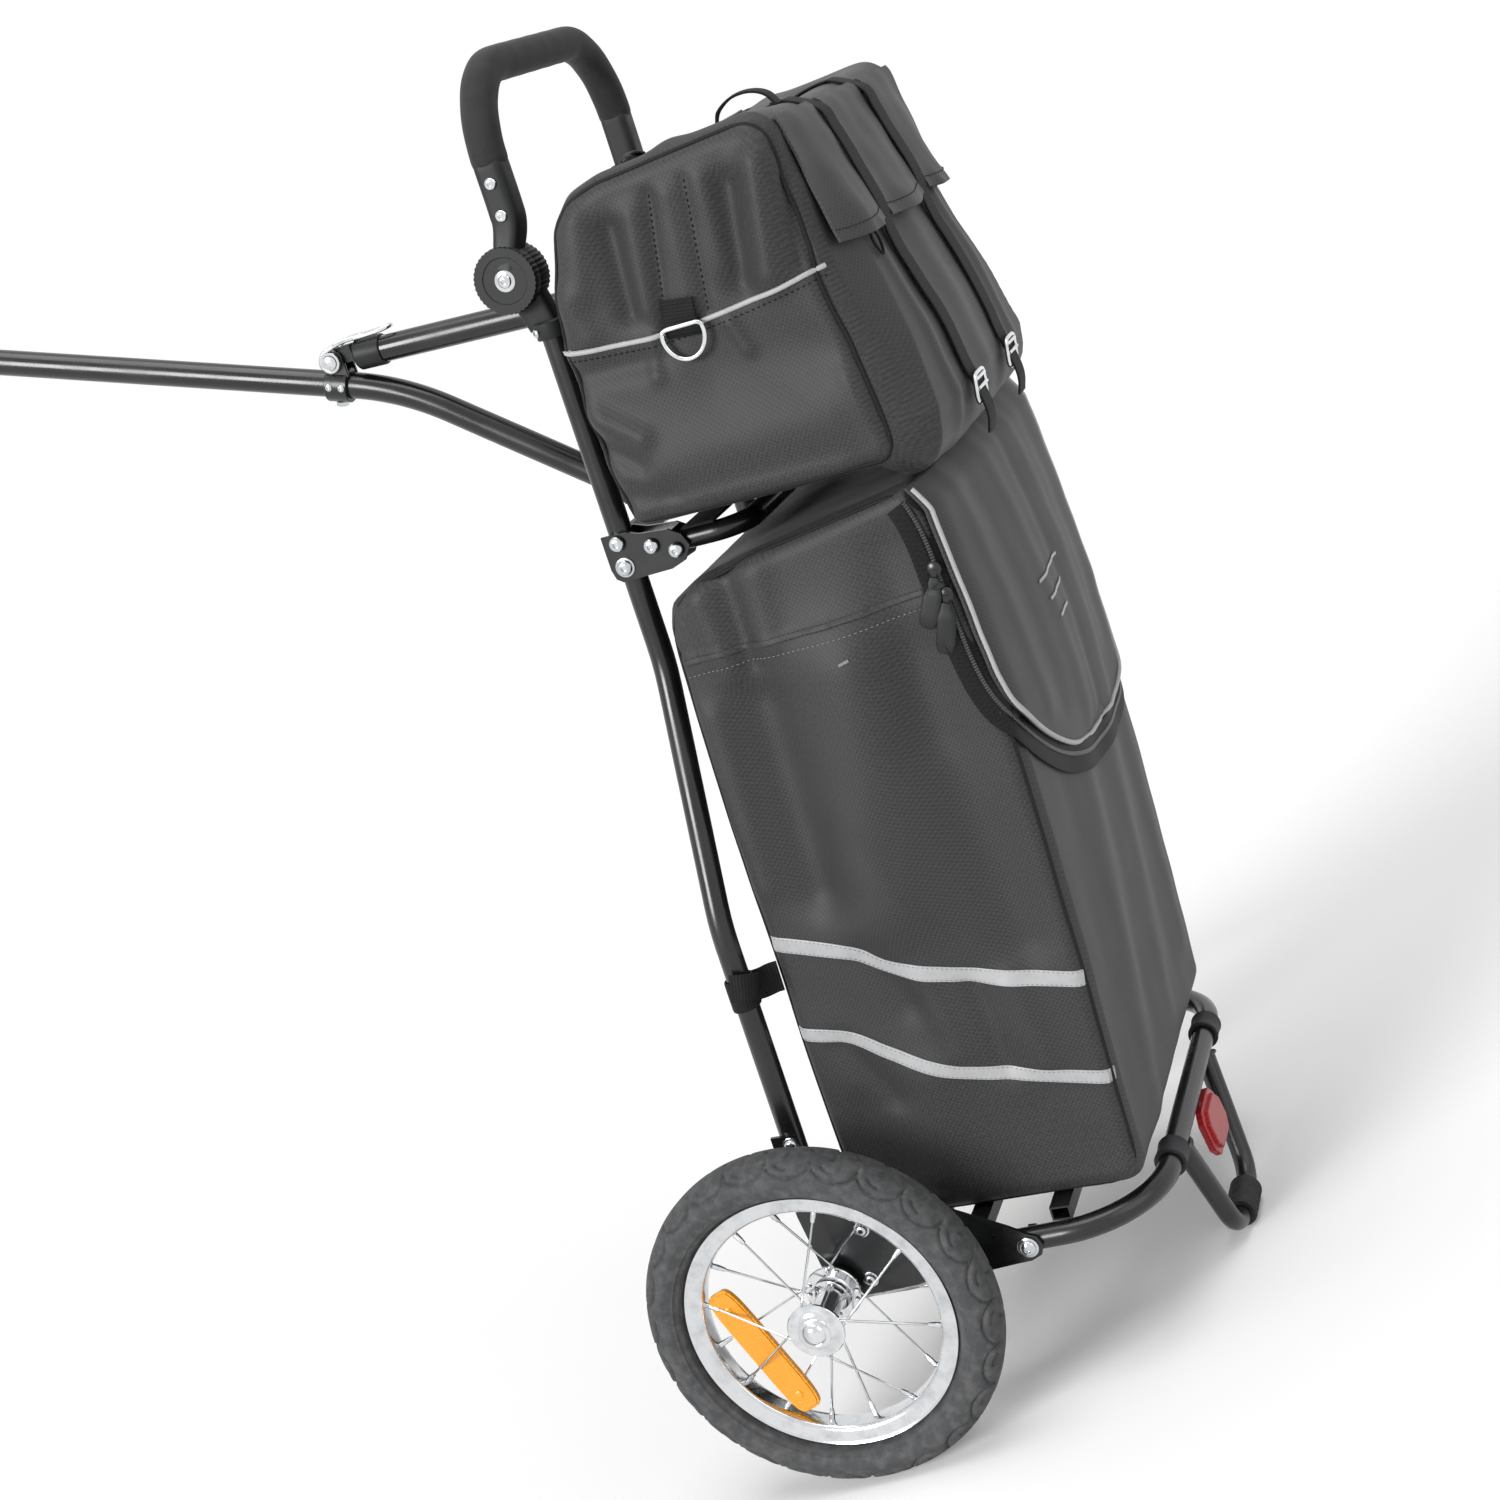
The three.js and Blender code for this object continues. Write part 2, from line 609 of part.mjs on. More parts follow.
/** All the pieces of both wheels. */
function wheels() {
  const parts = [
    ['tyre', tyre(), 'tyre'], ['rim', rim(), 'rim'], ['hub', hub(), 'chrome'],
    ['hub_cap', cap(), 'chrome'], ['wheel_reflector', wheelReflector(), 'amber'],
  ];
  return parts.flatMap(([name, geometry, finish]) => pair(
    name, geometry.translate(HALF_TRACK, 0, 0), finish,
  ));
}

/** Left lower upright with its pivot bore. */
function lowerUpright() {
  const corners = [
    at(LOWER_X, 0, UPRIGHT_FOOT_Z), at(LOWER_X, 0, UPRIGHT_KNEE_Z),
    at(UPPER_X, 0, UPRIGHT_NECK_Z), at(UPPER_X, 0, UPRIGHT_TOP_Z),
  ];
  const bore = pinX(0, LOWER_X, 0, FRAME_PIVOT_Z, BOLT_RADIUS + GAP);
  return cut(tube(corners, TUBE_RADIUS, TUBE_WALL, UPRIGHT_BEND), bore);
}

/** Left axle bracket with the axle boss, the platform pivot bore, the stub tube and screw heads. */
function axleBracket() {
  const x = LOWER_X + TUBE_RADIUS + GAP;
  const face = outline(BRACKET_SHARES, BRACKET_FRONT_Y, BRACKET_BOTTOM_Z, BRACKET_DEPTH, BRACKET_HEIGHT);
  const bossEnd = HALF_TRACK - HUB_INNER_FLANGE - HUB_END - GAP;
  const boss = pinX(x, bossEnd, 0, 0, AXLE_RADIUS + PLATE);
  const stub = tube(
    [at(STUB_X, STUB_START_Y, STUB_Z), at(STUB_X, STUB_END_Y, STUB_Z)], STUB_RADIUS, TUBE_WALL,
  );
  const screws = BRACKET_SCREWS.map(([y, z]) => screwHead(x, y, z));
  const body = join(plate(face, x, x + PLATE), boss, stub, ...screws);
  const bores = [
    pinX(0, HALF_TRACK, 0, 0, AXLE_RADIUS + GAP),
    pinX(x - PLATE, HALF_TRACK, PLATFORM_PIVOT_Y, PLATFORM_PIVOT_Z, BOLT_RADIUS + GAP),
  ];
  return cut(body, ...bores);
}

/** Rectangular tube across the trailer. */
function slat(y, halfLength) {
  const low = SLAT_TOP_Z - SLAT_HEIGHT;
  const outer = block(-halfLength, halfLength, y - SLAT_WIDTH / 2, y + SLAT_WIDTH / 2, low, SLAT_TOP_Z);
  const reach = halfLength + TUBE_WALL;
  const half = SLAT_WIDTH / 2 - TUBE_WALL;
  return cut(outer, block(-reach, reach, y - half, y + half, low + TUBE_WALL, SLAT_TOP_Z - TUBE_WALL));
}

/** Fabric loop round a tube with a tab to the bag. */
function tubeStrap(x, z, height, tab) {
  const ring = tube(
    [at(x, 0, z), at(x, 0, z + height)], clear(TUBE_RADIUS) + SLEEVE_THICKNESS, SLEEVE_THICKNESS,
  );
  return join(ring, block(...tab, z, z + height));
}

/** Fixed pieces of the frame. */
function chassis() {
  const slatReach = LOWER_X + TUBE_RADIUS;
  const axleEnd = HALF_TRACK + HUB_OUTER_FLANGE + HUB_END;
  const strapTab = [
    LOWER_X - TUBE_RADIUS * 2, LOWER_X - 2 * SLEEVE_THICKNESS, TUBE_RADIUS, MAIN_FRONT_Y - GAP,
  ];
  return [
    ...pair('upright_lower', lowerUpright(), 'frame'),
    ...pair('axle_bracket', axleBracket(), 'frame'),
    mesh('axle', pinX(-axleEnd, axleEnd, 0, 0, AXLE_RADIUS), 'steel'),
    mesh('slat_front', slat(FIXED_SLATS_Y[0], slatReach), 'frame'),
    mesh('slat_middle', slat(FIXED_SLATS_Y[1], slatReach), 'frame'),
    ...pair(
      'bag_strap', tubeStrap(LOWER_X, STRAP_RING_Z - STRAP_RING_HEIGHT, STRAP_RING_HEIGHT, strapTab),
      'webbing',
    ),
  ];
}

/** Folding platform with its bent rail, slat, stand, foot and rear reflector. */
function platform() {
  const rise = (y) => PLATFORM_PIVOT_Z + (y - PLATFORM_PIVOT_Y) * Math.tan(rad(RAIL_RISE_DEG));
  const rearZ = rise(RAIL_REAR_Y);
  const corners = [
    at(LOWER_X, RAIL_START_Y, rise(RAIL_START_Y)), at(LOWER_X, RAIL_REAR_Y, rearZ),
    at(-LOWER_X, RAIL_REAR_Y, rearZ), at(-LOWER_X, RAIL_START_Y, rise(RAIL_START_Y)),
  ];
  const boltBore = pinX(-HALF_TRACK, HALF_TRACK, PLATFORM_PIVOT_Y, PLATFORM_PIVOT_Z, BOLT_RADIUS + GAP);
  const rail = cut(tube(corners, TUBE_RADIUS, TUBE_WALL, RAIL_BEND), boltBore);
  const loop = [
    at(STAND_ROOT_X, RAIL_REAR_Y, rearZ), at(STAND_FOOT_X, STAND_FOOT_Y, STAND_FOOT_Z),
    at(-STAND_FOOT_X, STAND_FOOT_Y, STAND_FOOT_Z), at(-STAND_ROOT_X, RAIL_REAR_Y, rearZ),
  ];
  const cope = tube([at(-LOWER_X, RAIL_REAR_Y, rearZ), at(LOWER_X, RAIL_REAR_Y, rearZ)], clear(TUBE_RADIUS));
  const stand = cut(tube(loop, STAND_RADIUS, TUBE_WALL, STAND_BEND), cope);
  const foot = tube([at(-FOOT_SLEEVE_LENGTH / 2, STAND_FOOT_Y, STAND_FOOT_Z), at(FOOT_SLEEVE_LENGTH / 2, STAND_FOOT_Y, STAND_FOOT_Z)],
    FOOT_SLEEVE_RADIUS, FOOT_SLEEVE_RADIUS - STAND_RADIUS - GAP, 0, FINE_SIDES);
  const outerX = LOWER_X + TUBE_RADIUS + GAP + PLATE + GAP;
  const shankX = LOWER_X - TUBE_RADIUS - BOLT_HEAD_HEIGHT;
  const bolt = join(pinX(shankX, outerX + BOLT_HEAD_HEIGHT, PLATFORM_PIVOT_Y, PLATFORM_PIVOT_Z, BOLT_RADIUS),
    pinX(outerX, outerX + BOLT_HEAD_HEIGHT, PLATFORM_PIVOT_Y, PLATFORM_PIVOT_Z, BOLT_HEAD_RADIUS));
  const collar = tube([at(COLLAR_X - COLLAR_WIDTH / 2, RAIL_REAR_Y, rearZ), at(COLLAR_X + COLLAR_WIDTH / 2, RAIL_REAR_Y, rearZ)],
    clear(TUBE_RADIUS) + SLEEVE_THICKNESS, SLEEVE_THICKNESS);
  return [
    mesh('platform_rail', rail, 'frame'),
    mesh('platform_slat', slat(PLATFORM_SLAT_Y, LOWER_X), 'frame'),
    mesh('stand_loop', stand, 'frame'),
    mesh('stand_foot', foot, 'rubber'),
    ...pair('platform_bolt', bolt, 'steel'),
    ...pair('rail_collar', collar, 'rubber'),
    ...rearReflector(rearZ),
  ];
}

/** Reflector strip under the rear rail with its red reflector. */
function rearReflector(rearZ) {
  const top = -TUBE_RADIUS - GAP;
  const strip = block(-STRIP_WIDTH / 2, STRIP_WIDTH / 2, 0, STRIP_THICKNESS, top - STRIP_HEIGHT, top);
  const bottom = -REFLECTOR_DROP - REFLECTOR_HEIGHT;
  const red = block(-REFLECTOR_WIDTH / 2, REFLECTOR_WIDTH / 2, STRIP_THICKNESS + GAP,
    STRIP_THICKNESS + GAP + REFLECTOR_THICKNESS, bottom, -REFLECTOR_DROP);
  return [['reflector_strip', strip, 'frame'], ['reflector_rear', red, 'red']].map(([name, geometry, finish]) => {
    geometry.rotateX(rad(STAND_LEAN_DEG));
    geometry.translate(0, RAIL_REAR_Y, rearZ);
    return mesh(name, geometry, finish);
  });
}

/** Left hinge channel that joins the upper upright, the shelf arm and the pivot bolt. */
function hingeChannel() {
  const depth = HINGE_REAR_Y - HINGE_FRONT_Y;
  const face = outline(HINGE_SHARES, HINGE_FRONT_Y, HINGE_BOTTOM_Z, depth, HINGE_TOP_Z - HINGE_BOTTOM_Z);
  const outerX = UPPER_X + TUBE_RADIUS + GAP;
  const innerX = UPPER_X - TUBE_RADIUS - GAP;
  const lipZ = SHELF_Z + SHELF_RADIUS + GAP;
  const lip = block(innerX - PLATE, outerX + PLATE, LIP_START_Y, LIP_END_Y, lipZ, lipZ + PLATE);
  const heads = HINGE_SCREWS.map(([y, rise]) => screwHead(outerX, y, FRAME_PIVOT_Z + rise));
  const body = join(plate(face, outerX, outerX + PLATE), plate(face, innerX - PLATE, innerX), lip, ...heads);
  return cut(body, pinX(0, LOWER_X, 0, FRAME_PIVOT_Z, BOLT_RADIUS + GAP));
}

/** Left pivot bolt of the folding frame. */
function framePivotBolt() {
  const outerX = UPPER_X + TUBE_RADIUS + GAP + PLATE + GAP;
  const innerX = UPPER_X - TUBE_RADIUS - GAP - PLATE - GAP;
  const shank = pinX(innerX - BOLT_HEAD_HEIGHT, outerX + BOLT_HEAD_HEIGHT, 0, FRAME_PIVOT_Z, BOLT_RADIUS);
  const head = pinX(outerX, outerX + BOLT_HEAD_HEIGHT, 0, FRAME_PIVOT_Z, BOLT_HEAD_RADIUS);
  const nut = pinX(innerX - BOLT_HEAD_HEIGHT, innerX, 0, FRAME_PIVOT_Z, SCREW_HEAD_RADIUS);
  return join(shank, head, nut);
}

/** Crossbar with two lugs that hold a pivoting bar between them. */
function luggedBar(y, z, radius, halfLength, pivotY, pivotZ) {
  const bar = tube([at(-halfLength, y, z), at(halfLength, y, z)], radius, TUBE_WALL);
  const side = at(0, pivotZ - z, y - pivotY).normalize();
  const lug = [];
  for (let i = 0; i <= BEND_STEPS; i += 1) {
    const angle = Math.PI * i / BEND_STEPS;
    const ahead = at(0, pivotY - y, pivotZ - z).normalize();
    const arm = side.clone().multiplyScalar(Math.cos(angle)).addScaledVector(ahead, Math.sin(angle));
    lug.push([pivotY + arm.y * LUG_RADIUS, pivotZ + arm.z * LUG_RADIUS]);
  }
  lug.push(
    [y - side.y * radius * 0.7, z - side.z * radius * 0.7],
    [y + side.y * radius * 0.7, z + side.z * radius * 0.7],
  );
  const inner = BAR_RADIUS + GAP;
  const core = pinX(-halfLength - GAP, halfLength + GAP, y, z, radius - TUBE_WALL);
  const lugs = [plate(lug, inner, inner + PLATE), plate(lug, -inner - PLATE, -inner)].map((item) => cut(item, core));
  const pin = join(pinX(-inner - PLATE * 2, inner + PLATE * 2, pivotY, pivotZ, BOLT_RADIUS));
  return join(bar, ...lugs, pin);
}

/** Left tilt socket: sleeve on the upright's top, stem and toothed disc. */
function tiltSocket() {
  const innerX = SOCKET_INNER_X;
  const outerX = TILT_SPLIT_X - GAP;
  const sleeveLow = UPPER_END_Z - UPPER_STRAP_HEIGHT / 2;
  const sleeveTop = UPPER_END_Z + GAP;
  const sleeve = tube(
    [at(UPPER_X, 0, sleeveLow), at(UPPER_X, 0, sleeveTop + PLATE)], TUBE_RADIUS + GAP + PLATE, PLATE, 0,
    FINE_SIDES,
  );
  const stem = block(
    innerX, outerX, TILT_Y - TILT_RADIUS * 0.2, TILT_Y - TILT_RADIUS * 0.2 + SOCKET_STEM_DEPTH, sleeveTop,
    TILT_Z,
  );
  const lid = tube(
    [at(UPPER_X, 0, sleeveTop), at(UPPER_X, 0, sleeveTop + PLATE)], TUBE_RADIUS + PLATE, 0, 0, FINE_SIDES,
  );
  return join(sleeve, lid, stem, pinX(innerX, outerX, TILT_Y, TILT_Z, TILT_RADIUS, FINE_SIDES));
}

/** Pieces fixed to the folding upper frame. */
function upperFrame() {
  const upright = tube([at(UPPER_X, 0, UPPER_START_Z), at(UPPER_X, 0, UPPER_END_Z)], TUBE_RADIUS, TUBE_WALL);
  const shelf = [
    at(UPPER_X, SHELF_START_Y, SHELF_Z), at(UPPER_X, SHELF_REAR_Y, SHELF_Z),
    at(-UPPER_X, SHELF_REAR_Y, SHELF_Z), at(-UPPER_X, SHELF_START_Y, SHELF_Z),
  ];
  const strapX = UPPER_X + SHELF_RADIUS;
  const strapZ = SHELF_Z + SHELF_RADIUS + GAP;
  const strap = block(-strapX, strapX, SHELF_STRAP_Y - SHELF_STRAP_WIDTH / 2 + LIP_START_Y, SHELF_STRAP_Y + SHELF_STRAP_WIDTH / 2,
    strapZ, strapZ + SHELF_STRAP_THICKNESS);
  const rootReach = UPPER_X - TUBE_RADIUS - GAP - PLATE - GAP;
  const topReach = UPPER_X - TUBE_RADIUS - GAP - PLATE - GAP;
  return [
    ...pair('upright_upper', upright, 'frame'),
    ...pair('hinge_channel', hingeChannel(), 'frame'),
    ...pair('frame_bolt', framePivotBolt(), 'steel'),
    mesh('shelf_loop', tube(shelf, SHELF_RADIUS, TUBE_WALL, SHELF_BEND), 'frame'),
    mesh('shelf_strap', strap, 'webbing'),
    mesh(
      'root_bar',
      luggedBar(ROOT_BAR_Y, ROOT_BAR_Z, TUBE_RADIUS, rootReach, DRAWBAR_PIVOT_Y, DRAWBAR_PIVOT_Z), 'frame',
    ),
    mesh(
      'top_bar', luggedBar(TOP_BAR_Y, TOP_BAR_Z, TOP_BAR_RADIUS, topReach, BRACE_PIVOT_Y, BRACE_PIVOT_Z),
      'frame',
    ),
    ...pair('tilt_socket', tiltSocket(), 'plastic'),
  ];
}

/** Left handle arm with its toothed disc and the bore for the bow. */
function handleArm() {
  const innerX = UPPER_X - ARM_WIDTH / 2;
  const outerX = UPPER_X + ARM_WIDTH / 2;
  const disc = pinX(TILT_SPLIT_X, TILT_OUTER_X, TILT_Y, TILT_Z, TILT_RADIUS, FINE_SIDES);
  const screw = pinX(TILT_OUTER_X, TILT_OUTER_X + GAP * 2, TILT_Y, TILT_Z, SCREW_HEAD_RADIUS);
  const arm = block(innerX, outerX, ARM_Y - ARM_DEPTH / 2, ARM_Y + ARM_DEPTH / 2, ARM_START_Z, ARM_END_Z);
  const link = block(
    TILT_SPLIT_X, outerX, ARM_Y - ARM_DEPTH, ARM_Y + ARM_DEPTH / 2, TILT_Z, ARM_START_Z + PLATE,
  );
  const bore = tube(
    [at(UPPER_X, ARM_Y, CORE_START_Z - GAP), at(UPPER_X, ARM_Y, GRIP_TOP_Z)], GRIP_CORE_RADIUS + GAP,
  );
  return cut(join(disc, screw, arm, link), bore);
}

/** Tilting handle with its arms, steel bow and foam grip. */
function handle() {
  const bow = (z) => [
    at(UPPER_X, ARM_Y, z), at(UPPER_X, ARM_Y, GRIP_TOP_Z), at(-UPPER_X, ARM_Y, GRIP_TOP_Z),
    at(-UPPER_X, ARM_Y, z),
  ];
  const foamWall = GRIP_RADIUS - GRIP_CORE_RADIUS - GAP;
  return [
    ...pair('handle_arm', handleArm(), 'plastic'),
    mesh('handle_bow', tube(bow(CORE_START_Z), GRIP_CORE_RADIUS, TUBE_WALL, GRIP_BEND), 'frame'),
    mesh('handle_grip', tube(bow(ARM_END_Z + GAP), GRIP_RADIUS, foamWall, GRIP_BEND, FINE_SIDES), 'foam'),
  ];
}

/** Points of the drawbar's middle line. */
function drawbarLine() {
  const root = rad(DRAWBAR_ROOT_DEG);
  const front = rad(DRAWBAR_FRONT_DEG);
  const pivot = at(0, DRAWBAR_PIVOT_Y, DRAWBAR_PIVOT_Z);
  const tail = pivot.clone().add(at(0, Math.cos(root), -Math.sin(root)).multiplyScalar(DRAWBAR_ROOT_TAIL));
  const corner = pivot.clone().add(at(0, -Math.cos(root), Math.sin(root)).multiplyScalar(DRAWBAR_ROOT_LENGTH));
  const end = corner.clone().add(at(0, -Math.cos(front), Math.sin(front)).multiplyScalar(DRAWBAR_FRONT_LENGTH));
  return [tail, corner, end];
}

/** Place of the hitch pivot, just inside the drawbar's end. */
function hitchPivot() {
  const [, corner, end] = drawbarLine();
  return end.clone().addScaledVector(end.clone().sub(corner).normalize(), -HITCH_TAIL);
}

/** Turns a piece built along the front of the drawbar into the local frame. */
function alongDrawbar(geometry) {
  const pivot = hitchPivot();
  geometry.rotateX(-rad(DRAWBAR_FRONT_DEG));
  return geometry.translate(pivot.x, pivot.y, pivot.z);
}

/** Drawbar with the latch saddle, pin and lever. */
function drawbar() {
  const [tail, corner, end] = drawbarLine();
  const pivot = hitchPivot();
  const rootBore = pinX(-HALF_TRACK, HALF_TRACK, DRAWBAR_PIVOT_Y, DRAWBAR_PIVOT_Z, BOLT_RADIUS + GAP);
  const hitchBore = pinX(-HALF_TRACK, HALF_TRACK, pivot.y, pivot.z, HITCH_PIN_RADIUS + GAP);
  const bar = cut(tube([tail, corner, end], BAR_RADIUS, TUBE_WALL, DRAWBAR_BEND), rootBore, hitchBore);
  return [mesh('drawbar', bar, 'frame'), ...latch()];
}

/** Latch on the drawbar: saddle with two cheeks, barrel pin and lever. */
function latch() {
  const y = BRACE_PIVOT_Y - LATCH_REACH;
  const z = BRACE_PIVOT_Z + LATCH_RISE;
  const front = rad(DRAWBAR_FRONT_DEG);
  const [, corner] = drawbarLine();
  const reach = (corner.y - y) / Math.cos(front);
  const along = (d) => corner.clone().add(at(0, -Math.cos(front) * d, Math.sin(front) * d));
  const ring = tube(
    [along(reach - SADDLE_START), along(reach - SADDLE_START + SADDLE_LENGTH)], BAR_RADIUS + GAP + PLATE,
    PLATE, 0, FINE_SIDES,
  );
  const inner = TONGUE_HALF_WIDTH + GAP;
  const r = LATCH_PLATE_RADIUS;
  const floor = along(reach).z + BAR_RADIUS * 0.8;
  const cheek = [
    [y - r, floor], [y + r, floor - PLATE], [y + r, z], [y + r * 0.7, z + r * 0.7], [y, z + r],
    [y - r * 0.7, z + r * 0.7], [y - r, z],
  ];
  const cheeks = [plate(cheek, inner, inner + PLATE), plate(cheek, -inner - PLATE, -inner)];
  const barBore = tube([along(0), along(reach * 2)], BAR_RADIUS + GAP, 0, 0, FINE_SIDES);
  const pinBore = pinX(-BAR_RADIUS * 2, BAR_RADIUS * 2, y, z, LATCH_PIN_RADIUS + GAP);
  const saddle = cut(join(ring, ...cheeks), barBore, pinBore);
  return [
    mesh('latch_saddle', saddle, 'frame'),
    mesh('latch_pin', pinX(-LATCH_PIN_HALF_LENGTH, LATCH_PIN_HALF_LENGTH, y, z, LATCH_PIN_RADIUS), 'chrome'),
    mesh('latch_lever', lever(y, z, inner + PLATE + GAP), 'chrome'),
  ];
}

/** Latch lever: two cheeks on the pin and a strap over the brace. */
function lever(y, z, innerX) {
  const r = LATCH_PIN_RADIUS + PLATE;
  const low = z + LEVER_LIFT;
  const top = low + PLATE;
  const side = [
    [y - r, z], [y - r * 0.7, z - r * 0.7], [y, z - r], [y + r * 0.7, z - r * 0.7], [y + r, z],
    [y + r * 1.6, top], [y - r * 0.4, top],
  ];
  const strap = block(-LEVER_HALF_WIDTH, LEVER_HALF_WIDTH, y - r * 0.4, y + r * 1.6, low, top);
  const tongue = block(-LATCH_PIN_RADIUS, LATCH_PIN_RADIUS, y, y + LEVER_LENGTH, low, top);
  const sides = [plate(side, innerX, LEVER_HALF_WIDTH), plate(side, -LEVER_HALF_WIDTH, -innerX)];
  const bore = pinX(-BAR_RADIUS * 2, BAR_RADIUS * 2, y, z, clear(LATCH_PIN_RADIUS));
  return cut(join(strap, tongue, ...sides), bore);
}

/** Folding brace with the open hook that sits on the latch pin. */
function brace() {
  const run = at(0, -LATCH_REACH, LATCH_RISE).normalize();
  const pivot = at(0, BRACE_PIVOT_Y, BRACE_PIVOT_Z);
  const start = pivot.clone().addScaledVector(run, -BRACE_TAIL);
  const end = pivot.clone().addScaledVector(run, BRACE_END_REACH);
  const bore = pinX(-HALF_TRACK, HALF_TRACK, BRACE_PIVOT_Y, BRACE_PIVOT_Z, BOLT_RADIUS + GAP);
  const bar = cut(tube([start, end], BAR_RADIUS, TUBE_WALL), bore);
  return [mesh('brace', bar, 'frame'), mesh('brace_hook', hook(), 'plastic')];
}

/** Hook plate in the brace's end, open below and to the front. */
function hook() {
  const y = BRACE_PIVOT_Y - LATCH_REACH;
  const z = BRACE_PIVOT_Z + LATCH_RISE;
  const seat = LATCH_PIN_RADIUS + GAP;
  const arc = [142, 115, 90, 65, 40, 20, 0].map((degrees) => {
    return [y + seat * Math.cos(rad(degrees)), z + seat * Math.sin(rad(degrees))];
  });
  const shape = [
    ...arc, [y + seat, z - TONGUE_PLUG], [y + TONGUE_TAIL, z - TONGUE_PLUG - GAP], [
      y + TONGUE_TAIL, z + TONGUE_PLUG - PLATE / 2,
    ],
    [y + TONGUE_NECK, z + TONGUE_PLUG - PLATE / 2], [y + TONGUE_NECK, z + TONGUE_TOP],
    [y, z + TONGUE_TOP], [y - TONGUE_LIP, z + TONGUE_LIP],
  ];
  return plate(shape.reverse(), -TONGUE_HALF_WIDTH, TONGUE_HALF_WIDTH);
}

/** Hitch yoke and seat-post clamp. */
function hitch() {
  const inner = BAR_RADIUS + GAP;
  const outer = inner + PLATE;
  const web = -YOKE_WEB_REACH - YOKE_WEB;
  const cheekFace = [
    [LUG_RADIUS * 0.7, -LUG_RADIUS * 0.7], [LUG_RADIUS, 0], [LUG_RADIUS * 0.7, LUG_RADIUS * 0.7],
    [0, LUG_RADIUS], [web, LUG_RADIUS], [web, -LUG_RADIUS], [0, -LUG_RADIUS],
  ];
  const cheeks = [plate(cheekFace, inner, outer), plate(cheekFace, -outer, -inner)];
  const bridge = block(-outer, outer, web, -YOKE_WEB_REACH, -LUG_RADIUS, LUG_RADIUS);
  const knuckleHalf = KNUCKLE_HEIGHT / 2;
  const knuckle = tube(
    [at(0, -KNUCKLE_REACH, -knuckleHalf), at(0, -KNUCKLE_REACH, knuckleHalf)], KNUCKLE_RADIUS,
  );
  const neck = block(
    -KNUCKLE_RADIUS / 2, KNUCKLE_RADIUS / 2, -KNUCKLE_REACH, web + GAP, -knuckleHalf, knuckleHalf,
  );
  const pin = pinX(-outer - PLATE, outer + PLATE, 0, 0, HITCH_PIN_RADIUS);
  const bore = tube(
    [at(0, -KNUCKLE_REACH, -KNUCKLE_HEIGHT), at(0, -KNUCKLE_REACH, KNUCKLE_HEIGHT)], HITCH_PIN_RADIUS + GAP,
  );
  const yoke = cut(join(...cheeks, bridge, knuckle, neck, pin), bore);
  return [
    mesh('hitch_yoke', alongDrawbar(yoke), 'frame'),
    mesh('hitch_clamp', alongDrawbar(clamp()), 'plastic'),
  ];
}

/** Split clamp for a seat post, with a fork that holds the yoke's knuckle. */
function clamp() {
  const outerR = CLAMP_BORE_RADIUS + CLAMP_WALL;
  const half = CLAMP_HEIGHT / 2;
  const centre = -CLAMP_REACH;
  const knuckleHalf = KNUCKLE_HEIGHT / 2 + GAP;
  const ring = tube([at(0, centre, -half), at(0, centre, half)], outerR, 0, 0, FINE_SIDES);
  const forkY = -KNUCKLE_REACH;
  const ears = [-1, 1].map((sign) => {
    const [low, high] = sign > 0 ? [knuckleHalf, knuckleHalf + EAR_THICKNESS] : [
      -knuckleHalf - EAR_THICKNESS, -knuckleHalf,
    ];
    const arm = block(-KNUCKLE_RADIUS, KNUCKLE_RADIUS, centre, forkY, low, high);
    return join(arm, tube([at(0, forkY, low), at(0, forkY, high)], KNUCKLE_RADIUS));
  });
  const pin = tube(
    [at(0, forkY, -knuckleHalf - EAR_THICKNESS), at(0, forkY, knuckleHalf + EAR_THICKNESS)],
    HITCH_PIN_RADIUS,
  );
  const lug = block(
    -CLAMP_SLIT - EAR_THICKNESS, CLAMP_SLIT + EAR_THICKNESS, centre - outerR - CLAMP_EAR, centre, -half,
    half,
  );
  const bore = tube(
    [at(0, centre, -CLAMP_HEIGHT), at(0, centre, CLAMP_HEIGHT)], CLAMP_BORE_RADIUS, 0, 0, FINE_SIDES,
  );
  const slit = block(
    -CLAMP_SLIT / 2, CLAMP_SLIT / 2, centre - outerR - CLAMP_EAR - GAP, centre, -CLAMP_HEIGHT, CLAMP_HEIGHT,
  );
  return join(cut(join(ring, lug, ...ears), bore, slit), pin);
}

